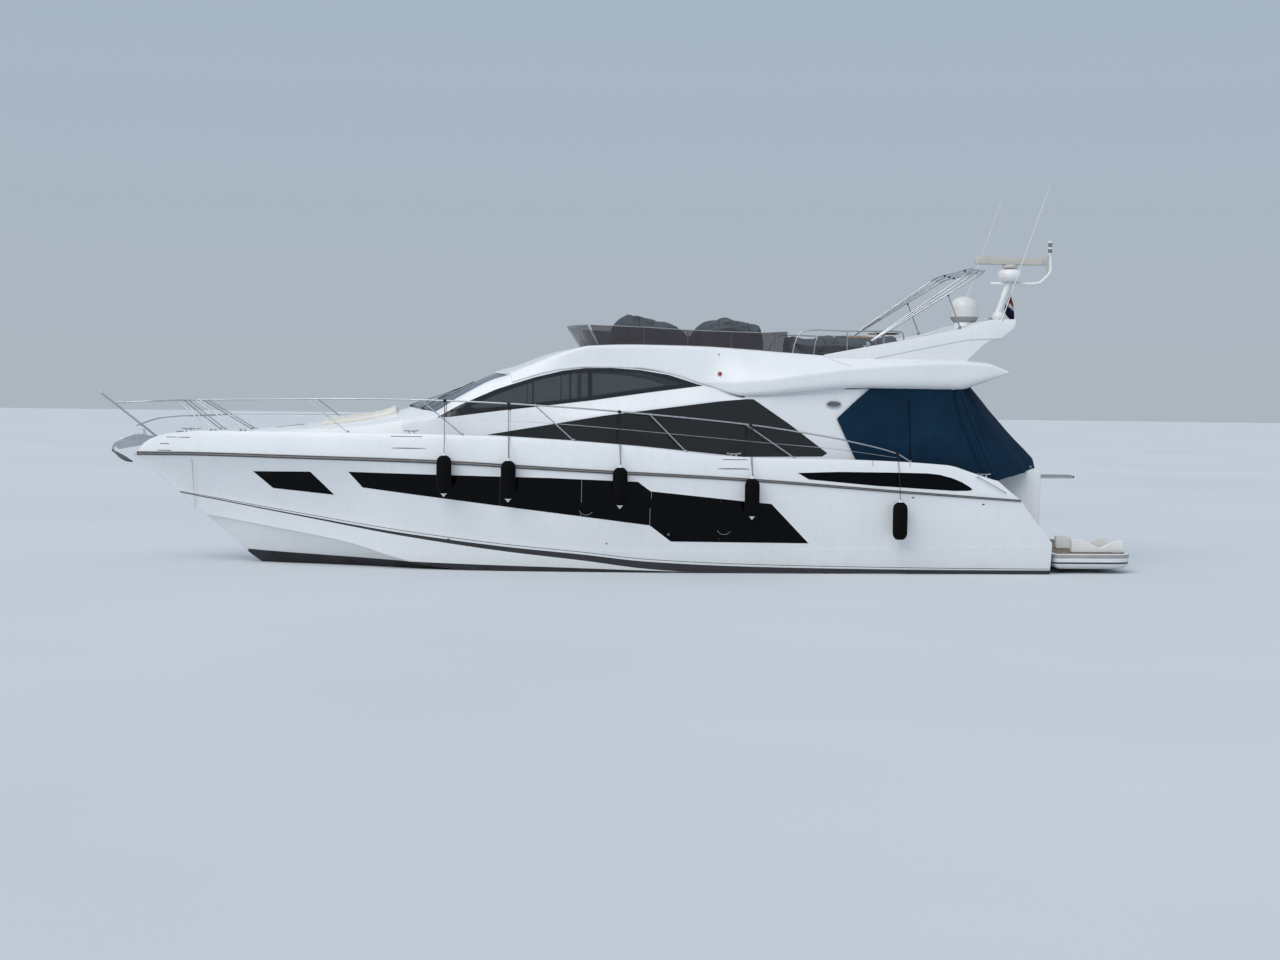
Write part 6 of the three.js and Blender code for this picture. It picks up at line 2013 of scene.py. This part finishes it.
def side_fins():
    """White ends of the deckhouse sides, behind the front edge of the canvas."""
    fin = [
        (4185, 2110), (4185, 3806), (4890, 3832), (4760, 3700), (4480, 3480), (4270, 3260), (4300, 3000),
        (4480, 2560), (4640, 2330), (4890, 2290), (4890, 2110)]
    plate = prism(fin, -2088, -2052)
    rings = []
    for x in frange(2150, 4250, 150):
        low, high = house_at(x)[2] - 25, fly_at(x)[1] - 3
        rings.append([(x, -2078, low), (x, -2078, high), (x, -2030, high), (x, -2030, low)])
    build("side_fins", both(plate) + both(loft(rings)), [WHITE])


def canvas_wall(grid, name, replaces=()):
    """A sheet from a grid of (point, way to its outer face), closed along its edges."""
    rings = []
    for row in grid:
        inner = [(x - n[0], y - n[1], z - n[2]) for (x, y, z), n in row]
        rings.append([p for p, n in row] + inner[::-1])
    points, faces, mats = loft(rings, caps=False)
    wide = len(rings[0])
    for start, turn in ((0, 1), (len(points) - wide, -1)):
        for k in range(wide // 2 - 1):
            strip = (start + k, start + k + 1, start + wide - 2 - k, start + wide - 1 - k)
            faces.append(strip[::turn])
            mats.append(0)
    made = build(name, (points, faces, mats), [NAVY], replaces=replaces, angle=60)


def bump_at(u, place, width):
    """A smooth bump of height 1 at a place."""
    return math.exp(-((u - place) / width) ** 2)


def canvas_side_point(u, v, side):
    x_guess = 4700 + u * 2500
    low = max(deck_height(min(x_guess, 7400)) + 8, 1925)
    z = low + (3838 - low) * v
    corner, _ = canvas_line(z)
    front = canvas_front(z)
    x = front + (corner - front) * u
    level = 3.2 * math.sin(math.pi * u) * math.sin(math.pi * v)
    pull = 14 * bump_at(u, 0.46, 0.012)
    ripple = 15 * fold(x * 0.6 + 0.5 * z, 0, z, 300, 2.0)
    ripple = ripple + 40 * bump_at(u, 0.958, 0.018) - 84 * bump_at(u, 0.912, 0.022)
    lean = 30 * max(0, fold(x + 0.8 * z, 3, z * 0.3, 190, 7.0)) * (1 - v)
    lean = lean + 20 * fold(x * 2, 5, z * 0.15, 260, 3.0)
    y = 2136 - 40 * (z - 1830) / 2070 * u
    y = y + (ripple + lean) * min(1, 3 * u) * min(1, 4 * (1 - u) + 0.2) + level * 2 + pull
    y = max(y, 2134 - 42 * u - 110 * max(0, (u - 0.6) / 0.4))
    return (x, side * y, z), (0, side * 2.5, 0)


def smooth_through(points, u):
    """A point at u from 0 to 1 along a smooth curve through (x, y) points."""
    s = u * (len(points) - 1)
    i = min(int(s), len(points) - 2)
    f = s - i
    p0, p1, p2, p3 = points[max(i - 1, 0)], points[i], points[i + 1], points[min(i + 2, len(points) - 1)]

    def mix(a, b, c, d):
        bend, turn = 2 * a - 5 * b + 4 * c - d, 3 * b - a - 3 * c + d
        return 0.5 * (2 * b + (c - a) * f + bend * f * f + turn * f ** 3)

    return [mix(*values) for values in zip(p0, p1, p2, p3)]


def canvas_aft_point(u, v):
    """u runs from port, -1, to starboard, 1, and v from the foot to the top."""
    low = 1940 + 225 * min(1, max(0, (1 - abs(u)) * 2.2))
    top = 3850 + 160 * min(1, (1 - abs(u)) * 1.6)
    z = low + (top - low) * v
    _, plan = canvas_line(z)
    outline = [(x, -y) for x, y in plan] + plan[-2::-1]
    x, y = smooth_through(outline, (u + 1) / 2)
    crease = -105 * bump_at(abs(u), 0.95, 0.015) * (0.35 + 0.65 * v)
    crease = crease - 60 * bump_at(abs(u), 0.84, 0.02) * (0.3 + 0.7 * v)
    wrinkle = 44 * fold(y * 1.5, z * 0.25, x * 0.2, 210, 1.0)
    wrinkle = wrinkle + 40 * fold(y + 0.6 * z, z * 0.5, 0, 380, 5.0) * (1 - v)
    push = (wrinkle + crease) * min(1, (1 - abs(u)) * 16)
    nx, ny = 0.8, 0.6 * math.copysign(1, u) if abs(u) > 0.25 else 2.4 * u * 0.6
    size = math.hypot(nx, ny)
    nx, ny = nx / size, ny / size
    return (x + nx * push, y + ny * push, z), (nx * 2.5, ny * 2.5, 0)


def canvas():
    seams = []
    for side, name in SIDES:
        grid = [[canvas_side_point(c / SIDE_COLUMNS, r / CANVAS_ROWS, side) for r in range(CANVAS_ROWS + 1)]
                for c in range(SIDE_COLUMNS + 1)]
        # Dark lines along the two folds by the corner: partly the canvas's real piping, partly painted shade
        # of the folds.
        for column in (54, 58):
            seams.append(tube([(x, y + side * 4, z) for (x, y, z), _ in grid[column][1:-1]], 5, 6))
        canvas_wall(grid, "canvas_" + name)
    grid = [[canvas_aft_point(-1 + 2 * c / AFT_COLUMNS, r / CANVAS_ROWS) for r in range(CANVAS_ROWS + 1)]
            for c in range(AFT_COLUMNS + 1)]
    canvas_wall(grid, "canvas_aft", ["cockpit_cover"])
    for side in (-1, 1):
        zip_line = [(5630 - 60 * t, side * (2152 - 30 * t), 2240 + 1590 * t)
                for t in (0, 0.25, 0.5, 0.75, 1)]
        seams.append(tube(zip_line, 7, 6))
    # The zips and the corner lines, partly painted fold shade, in one piece.
    build("canvas_zips_and_fold_shade", seams, [BLACK_CLOTH], slot="canvas_navy", angle=70)


side_fins()
canvas()


# Saloon and cockpit
def pad(x0, x1, y0, y1, z0, z1, nx=26, ny=28):
    """A boxed cushion with a crowned top and pulled-in sides, blown up as cloth."""
    rings, sewn = [], {}
    for a in range(nx + 1):
        top, low = [], []
        for b in range(ny + 1):
            u, v = a / nx, b / ny
            edge = min(1, min(u, 1 - u) * 7) * min(1, min(v, 1 - v) * 7)
            crown = math.sqrt(max(0, 1 - (1 - edge) ** 2))
            x, y = x0 + (x1 - x0) * u, y0 + (y1 - y0) * v
            top.append((x, y, z0 + (z1 - z0) * (0.62 + 0.30 * crown)))
            low.append((x, y, z0))
            sewn[a * 2 * (ny + 1) + ny + 1 + b] = 1.0
        rings.append(top + low[::-1])
    form = loft(rings)
    return (cloth(form, sewn, 16, pressure=4.0, cap=18, bend=2.0), form[1], form[2])


def padded(name, forms):
    build(name, forms, [VINYL], angle=60)


def saloon_door():
    panel = block(4396.5, 4436, -560, 560, 1552, 3510, 4)
    door = build("saloon_door_frame", panel, [STEEL], body="saloon_door", replaces=["saloon_door"])
    cut(door, block(4380, 4450, -490, 490, 1640, 3430))
    settle(door)
    build("saloon_door_glass", block(4410, 4420, -492, 492, 1638, 3432, 1), [DARK_TINT], body="saloon_door")
    handle = tube([(4440, 430, 2450), (4470, 430, 2470), (4470, 430, 2730), (4440, 430, 2750)], 11, 12, 18)
    build("saloon_door_handle", handle, [STEEL], body="saloon_door")


def bulkhead():
    """The wall between saloon and cockpit, with its doorway and two windows."""
    wall = build("bulkhead_panel", block(4332, 4388, -1745, 1745, 1552, 2398, 3), [WHITE],
            replaces=["saloon_bulkhead"])
    high = build("high", block(4332, 4388, -2090, 2090, 2150, 3800), [WHITE], ride=False)
    clip(high, house_form(62))
    boolean(wall, form_of(high), "UNION")
    cut(wall, block(4300, 4450, -519, 519, 1500, 3480))
    panes = []
    for side in (-1, 1):
        y0, y1 = sorted((side * 640, side * 1650))
        cut(wall, block(4300, 4450, y0, y1, 2100, 3440))
        panes.append(block(4352, 4366, y0 - 1, y1 + 1, 2099, 3441, 1))
    settle(wall)
    build("bulkhead_glass", panes, [DARK_TINT])


def helm():
    """Two chairs on their legs, the dashboard and the wheel."""
    chair = [
        (-1750, 2350), (-1250, 2350), (-1180, 2420), (-1100, 3050), (-1230, 3060), (-1300, 2500),
        (-1760, 2480)]
    outline = round_outline(chair, 50, 4)
    padded("helm_chairs", [prism(outline, y - 260, y + 260, bevel=40, segments=4) for y in CHAIR_Y])
    build("helm_chair_legs", [tube([(-1480, y, 1560), (-1480, y, 2360)], 60, 20) for y in CHAIR_Y], [STEEL])
    port = [(-3250, 1560), (-2350, 1560), (-2350, 2650), (-2650, 2900), (-3250, 3080)]
    starboard = [(-3250, 1560), (-2500, 1560), (-2500, 2500), (-3250, 2700)]
    dash = [prism(round_outline(side, 60, 4), y0, y1, bevel=30, segments=3)
            for side, y0, y1 in ((port, -1500, 100), (starboard, 100, 1500))]
    build("dashboard", dash, [CABIN])
    centre = Vector((-2560, CHAIR_Y[0], 2780))
    rim = []
    for a in (2 * math.pi * s / 28 for s in range(29)):
        rim.append(centre + Vector((0.45 * 190 * math.sin(a), 190 * math.cos(a), 0.89 * 190 * math.sin(a))))
    spokes = [tube([tuple(centre), tuple(rim[k])], 9, 8, mat=1) for k in (2, 12, 21)]
    build("helm_wheel", [tube(rim, 14, 10)] + spokes, [DARK_TRIM, STEEL])


def saloon_sofas():
    boxes = (
        (0, 2900, 1560, 2000, 1050, 1700), (0, 2900, 2000, 2480, 1520, 1730),
        (500, 2300, 1560, 1980, -1700, -1100))
    forms = [prism(soft_rectangle(x0, x1, z0, z1, 60), y0, y1, bevel=50, segments=4)
            for x0, x1, z0, z1, y0, y1 in boxes]
    padded("saloon_sofas", forms)


CHAIR_Y = (-900, -250)
saloon_door()
build("cockpit_sole", block(4612, 7345, -1940, 1940, 1552, 1562, 3), [TEAK])
bulkhead()
build("saloon_floor", block(-3290, 4325, -1740, 1740, 1552, 1560, 2), [TEAK])
helm()
saloon_sofas()
build("cockpit_bench", block(6720, 7330, -1200, 1200, 1562, 1990, 20), [WHITE])
bench_ends = ((-1180, -606), (-594, -6), (6, 594), (606, 1180))
padded("cockpit_bench_cushions", [pad(6740, 7240, y0, y1, 1992, 2096) for y0, y1 in bench_ends])


# Stern
def garage_door():
    low, high = transom_face(568), transom_face(1432)
    door = [(low - 44.7, 568), (high - 44.7, 1432), (high, 1432), (low, 568)]
    build("garage_panel", prism(door, -892, 892, bevel=5), [WHITE], body="garage_door",
          replaces=["garage_door"])
    face = transom_face(720)
    handle = tube([(face + 1, -160, 720), (face + 40, -150, 720), (face + 40, 150, 720),
            (face + 1, 160, 720)], 9, 10, 20)
    lock = lathe([(0, 0), (26, 0), (26, 5), (16, 9), (0, 9)], (transom_face(640), 0, 640), AFT, 20)
    build("garage_latch", [handle, lock], [STEEL], body="garage_door")


def quarter_steps():
    """The stairs from the platform to the cockpit on each side, with teak treads."""
    rise, run = (1550 - 430) / 5, 1200 / 4.5
    treads, steps = [], []
    for side in (-1, 1):
        y0, y1 = sorted((side * 1252, side * 2078))
        ya, yb = sorted((side * 1300, side * 2030))
        for i in range(4):
            top = 1550 - rise * (i + 1)
            x0 = 7400 + run * i
            steps.append(block(x0 - 4, x0 + run, y0 - 1, y1 + 1, 425, top, 6, 2))
            treads.append(block(x0 + 24, x0 + run - 18, ya, yb, top - 2, top + 7, 3, 2))
        treads.append(block(8620 - 100, 8690, ya, yb, 430, 438, 3, 2))
    build("quarter_steps", steps, [WHITE])
    build("step_treads", treads, [TEAK])


def transom_gear():
    build("transom_cleats", cleat(8380, -1120, 2149, 260) + cleat(8380, 1120, 2149, 260), [STEEL])
    socket = [(0, 0), (34, 0), (34, 8), (24, 14), (0, 14)]
    fittings = [prism(soft_rectangle(-1130, -930, 1560, 1700, 20, 3), 8680, 8690, "yz", bevel=2)]
    fittings += [lathe(socket, (transom_face(1780), y, 1780), AFT, 22) for y in (400, 520)]
    build("transom_fittings", fittings, [STEEL])


garage_door()
quarter_steps()
transom_gear()


# Swim platform
PLATFORM_X0, PLATFORM_X1, PLATFORM_HALF = 8730, 10480, 2180
PLATFORM_LOOKS = {4: 1, 5: 1, 6: 1, 9: 2, 10: 2, 11: 2}
LIFT_ARM_Y = 620


def platform_outline():
    x0, x1, half = PLATFORM_X0, PLATFORM_X1, PLATFORM_HALF
    return round_outline([
        (x0, -half + 60), (x0 + 60, -half), (x1 - 420, -half), (x1 - 120, -half + 110), (x1, -half + 420),
        (x1 + 40, 0), (x1, half - 420), (x1 - 120, half - 110), (x1 - 420, half), (x0 + 60, half),
        (x0, half - 60)], 150, 6)


def platform_deck():
    """The platform's moulding, with a dark stripe and a rubber band round it, and its teak."""
    smooth = platform_outline()
    levels = [
        (90, -230), (110, -120), (150, -45), (196, -12), (214, -10), (216, -2), (246, -2), (248, -10),
        (266, -8), (330, 0), (352, 4), (392, 4), (410, -4), (420, -18)]
    rings = [[(min(x, 10520), y, z) for x, y in grown(smooth, d)] for z, d in levels]
    form = loft(rings, lambda i, j: PLATFORM_LOOKS.get(i, 0))
    made = build("platform_deck", form, [WHITE, STRIPE, GREY_PLASTIC], body="swim_platform",
            replaces=["swim_platform"])
    for y in (-LIFT_ARM_Y, LIFT_ARM_Y):
        cut(made, block(PLATFORM_X0 - 50, 9650, y - 60, y + 60, 40, 265))
    settle(made, 30)
    inlay = grown(smooth, -90)
    teak = loft([[(x, y, z) for x, y in inlay] for z in (414, 426)])
    build("platform_teak", teak, [WET_TEAK], body="swim_platform")


def tender_chocks():
    chock = [(9200, 428), (9200, 718), (9400, 718), (9820, 520), (10170, 690), (10338, 690), (10338, 428)]
    outline = round_outline(chock, 40, 4)
    chocks = [prism(outline, y - 62, y + 62, bevel=16, segments=3) for y in (-1780, -700)]
    build("tender_chocks", chocks, [PLASTIC], body="swim_platform")


def platform_fittings():
    """Lugs and pins of the lift arms, cleats, deck sockets and the hatch."""
    socket = [(0, 0), (30, 0), (30, 5), (18, 8), (0, 8)]
    metal = []
    for side in (-1, 1):
        y = side * LIFT_ARM_Y
        for at in (y - 75, y + 75):
            metal.append(prism(soft_rectangle(9480, 9640, -30, 95, 50, 5), at - 15, at + 15, bevel=3))
        metal.append(tube([(9560, y - 98, 30), (9560, y + 98, 30)], 20, 20))
        metal += cleat(10180, side * 1820, 426, 240)
        metal += [lathe(socket, (x, side * 1990, 426), segments=18) for x in (9000, 9900)]
    metal.append(prism(soft_rectangle(9900, 10380, 1150, 1600, 30), 424, 431, "xy", bevel=2))
    build("platform_fittings", metal, [STEEL], body="swim_platform")


def lift_arms():
    hub = [(0, 0), (52, 0), (55, 5), (55, 95), (52, 100), (0, 100)]
    arms = []
    for y in (-LIFT_ARM_Y, LIFT_ARM_Y):
        arms += [tube([(8640, y, -330), (9560, y, 30)], 42, 20), lathe(hub, (9560, y - 50, 30), ACROSS, 28)]
    arms.append(tube([(8640, -689, -330), (8640, 689, -330)], 36, 24))
    build("lift_arm_tubes", arms, [WORN_STEEL], body="lift_arms", replaces=["platform_lift_arms"])


platform_deck()
tender_chocks()
platform_fittings()
lift_arms()


# Passerelle
def passerelle():
    """The gangway's case in the transom, its two posts with a rope between them, and the plank."""
    shell = block(7650.3, 8900, 820.3, 1199.7, 1870.3, 1999.7, 8, 3)
    made = build("passerelle_box", shell, [STEEL], replaces=["passerelle_case"])
    cut(made, block(7690, 8960, 838, 1182, 1888, 1982))
    settle(made)
    knob = [(0, 0), (14, 4), (16, 16), (10, 28), (0, 30)]
    base = [(0, 0), (24, 0), (24, 6), (14, 14), (0, 14)]
    posts = []
    for y in (830, 1190):
        posts += [tube([(8860, y, 1992), (8860, y, 2330)], 9, 12),
                lathe(knob, (8860, y, 2326), segments=16),
                  lathe(base, (8860, y, 1999), segments=16)]
    build("passerelle_posts", posts, [STEEL])
    deck = [
        block(8740, 10070, 846, 1174, 1890, 1958, 4, 2, mat=1),
        block(8760, 10050, 868, 1152, 1956, 1966, 3, 2),
        tube([(10070, 850, 1924), (10070, 1170, 1924)], 30, 20, mat=2)]
    build("passerelle_plank", deck, [TEAK, STEEL, RUBBER], body="passerelle", replaces=["passerelle"])
    route = [(8860, 838, 2318), (8860, 920, 2262), (8860, 1010, 2244), (8860, 1100, 2262),
            (8860, 1182, 2318)]
    path = curve_points(route, 24)
    rope = build("passerelle_rope", tube(path, 5, 8), [ROPE_WHITE], angle=80)


passerelle()


# Under water
SHAFT_AXIS = Vector((2600, 0, -390)).normalized()
SHAFT_TURN = Vector(AFT).rotation_difference(SHAFT_AXIS).to_matrix().to_4x4()
RUDDER_X, RUDDER_TOP, RUDDER_BOTTOM = 8020, -540, -1370


def blade(side):
    """One propeller blade as a loft of sections along its radius."""
    rings = []
    for s in range(11):
        t = s / 10
        r = 50 + 316 * t
        chord = 210 * (0.45 + 0.95 * math.sin(math.pi * (0.18 + 0.72 * t))) * (1 if t < 0.93 else 0.72)
        pitch = math.atan2(560 / (2 * math.pi), r * 0.9) * 1.2
        thick = 17 * (1 - 0.8 * t) + 1.5
        ring = []
        for u, v in (
                (-0.5, 0), (-0.3, 0.7), (0, 1), (0.3, 0.7), (0.5, 0), (0.3, -0.25), (0, -0.4),
                (-0.3, -0.25)):
            proud = v * thick * 0.5
            along = proud * math.cos(pitch) + u * chord * math.sin(pitch)
            angle = (u * chord * math.cos(pitch) + 40 * t * t) / r * side
            ring.append((along, r * math.sin(angle), r * math.cos(angle)))
        rings.append(ring)
    return loft(rings)


def propeller(side, name, y):
    """The shaft, hub and four blades."""
    centre = Vector((7300, y, -960))
    hub = [(0, -110), (70, -110), (74, -90), (72, 60), (60, 110), (44, 112), (40, 150), (22, 176), (0, 182)]
    forms = [tube([Vector((4700, y, -570)) + SHAFT_AXIS * 0.5, centre + SHAFT_AXIS * 120], 36, 24),
             lathe(hub, tuple(centre), tuple(SHAFT_AXIS), 32)]
    for k in range(4):
        spin = SHAFT_TURN @ Matrix.Rotation(math.pi / 2 * k, 4, "X")
        forms.append(moved(blade(side), tuple(centre), spin))
    body = "propeller_" + name
    build("propeller_cast_" + name, forms, [BRONZE], body=body, replaces=[body], angle=45)


def shaft_bracket(name, y):
    centre = Vector((7050, y, -570 - 390 * (2350 / 2600)))
    profile = [(38, -90), (66, -90), (72, -80), (72, 80), (66, 90), (38, 90), (38, -90)]
    ring = lathe(profile, tuple(centre), tuple(SHAFT_AXIS), 28)
    section = ((-66, 0), (-30, 12), (20, 13), (66, 0), (20, -13), (-30, -12))
    foil = [[(7050 + u, y + v, z) for u, v in section] for z in (centre.z + 52, -560, -420, -290)]
    build("shaft_bracket_cast_" + name, [ring, loft(foil)], [BRONZE], replaces=["shaft_bracket_" + name],
          angle=40)


def rudder(name, y):
    rings = []
    for s in range(7):
        t = s / 6
        chord, thick = 560 * (1 - 0.2 * t), 80 * (1 - 0.3 * t)
        z = RUDDER_TOP + (RUDDER_BOTTOM - RUDDER_TOP) * t
        ring = []
        for k in range(20):
            a = 2 * math.pi * k / 20
            u = (1 - math.cos(a)) / 2
            half = 0
            if 0 < u < 1:
                shape = 2.6 * math.sqrt(u) - 2.2 * u - 0.4 * u * u
                half = 0.5 * thick * shape * math.copysign(1, math.sin(a))
            ring.append((RUDDER_X - 0.34 * chord + u * chord, y + half, z))
        rings.append(ring)
    forms = [loft(rings), lathe([(0, 0), (38, 0), (38, 99), (0, 99)], (RUDDER_X, y, -570), segments=28)]
    body = "rudder_" + name
    build("rudder_foil_" + name, forms, [BRONZE], body=body, replaces=[body], angle=40)


def trim_tab(side, name):
    """A plate under the transom, with its hinge and its ram."""
    slope = (chine_height(8400) - keel_line(8400)) / chine_half(8400)

    def height(y):
        return keel_line(8400) + slope * y + 20

    def hinge(y):
        return (8276, side * y, height(y) + 7)

    plan = soft_rectangle(8276, 8590, 1280, 1840, 26, 3)
    levels = ((0, -3), (3, 0), (11, 0), (14, -3))
    rings = [[(x, side * y, height(y) + dz) for x, y in grown(plan, d)] for dz, d in levels]
    ram = tube([hinge(1420), (8560, side * 1430, height(1430) + 12)], 6, 8)
    forms = [loft(rings), tube([hinge(1281), hinge(1839)], 12, 14), ram]
    body = "trim_tab_" + name
    build("trim_tab_plate_" + name, forms, [WORN_STEEL], body=body, replaces=[body])


def hull_bosses(side, name, y):
    boss = [tube([(4200, y, -495), (4700, y, -570)], 75, 28),
            tube([(RUDDER_X, y, -200), (RUDDER_X, y, -470)], 85, 28),
            block(8500, 8695, *sorted((side * 690, side * 714)), -390, -270, 5)]
    build("hull_bosses_" + name, boss, [ANTIFOUL])


for side, name in SIDES:
    y = side * 1100
    propeller(side, name, y)
    shaft_bracket(name, y)
    rudder(name, y)
    trim_tab(side, name)
    hull_bosses(side, name, y)


# Floor, light and camera
FLOOR_SIZE = 400
CAMERA_AT = (-3.58, -41.4, 3.533)
CAMERA_TURNS = (5.2, 2.38, 0.73)


def link(name, data):
    obj = bpy.data.objects.new(name, data)
    bpy.context.scene.collection.objects.link(obj)
    return obj


def floor():
    look, tree, surface = shader("floor", (0.78, 0.80, 0.82), 0.75)
    tone = ramp(tree, noise(tree, 0.08, 3), [(0.3, (0.60, 0.63, 0.66)), (0.7, (0.64, 0.67, 0.70))])
    tree.links.new(tone, surface.inputs["Base Color"])
    corners = rectangle(-FLOOR_SIZE, FLOOR_SIZE, -FLOOR_SIZE, FLOOR_SIZE)
    mesh = bpy.data.meshes.new("floor")
    mesh.from_pydata([(x, y, 0) for x, y in corners], [], [(0, 1, 2, 3)])
    mesh.materials.append(look)
    link("floor", mesh)


def sky():
    world = bpy.data.worlds.new("sky")
    bpy.context.scene.world = world
    world.use_nodes = True
    tree = world.node_tree
    coords = add(tree, "ShaderNodeTexCoord")
    split = add(tree, "ShaderNodeSeparateXYZ", [("Vector", coords.outputs["Generated"])])
    tones = [(0.0, (0.46, 0.52, 0.58)), (0.25, (0.42, 0.52, 0.64)), (0.8, (0.60, 0.68, 0.78))]
    back = tree.nodes["Background"]
    tree.links.new(ramp(tree, split.outputs["Z"], tones), back.inputs["Color"])
    back.inputs["Strength"].default_value = 0.9


def sun():
    lamp = bpy.data.lights.new("sun", "SUN")
    lamp.energy = 1.7
    lamp.angle = math.radians(50)
    lamp.color = (1.0, 0.97, 0.93)
    link("sun", lamp).rotation_euler = (math.radians(46), 0, math.radians(-38))


def camera():
    """The camera of the photograph: turned by yaw, tipped down by pitch and rolled."""
    yaw, pitch, roll = (math.radians(a) for a in CAMERA_TURNS)
    forward = Vector((math.sin(yaw) * math.cos(pitch), math.cos(yaw) * math.cos(pitch), -math.sin(pitch)))
    right = Vector((math.cos(yaw), -math.sin(yaw), 0))
    up = right.cross(forward)
    right, up = right * math.cos(roll) + up * math.sin(roll), up * math.cos(roll) - right * math.sin(roll)
    data = bpy.data.cameras.new("camera")
    data.sensor_width = 36
    data.lens = 54.06
    data.clip_end = 1000
    made = link("camera", data)
    turn = Matrix((right, up, -forward)).transposed().to_4x4()
    made.matrix_world = Matrix.Translation(CAMERA_AT) @ turn
    bpy.context.scene.camera = made


floor()
sky()
sun()
bpy.context.scene.view_settings.view_transform = "Standard"
camera()
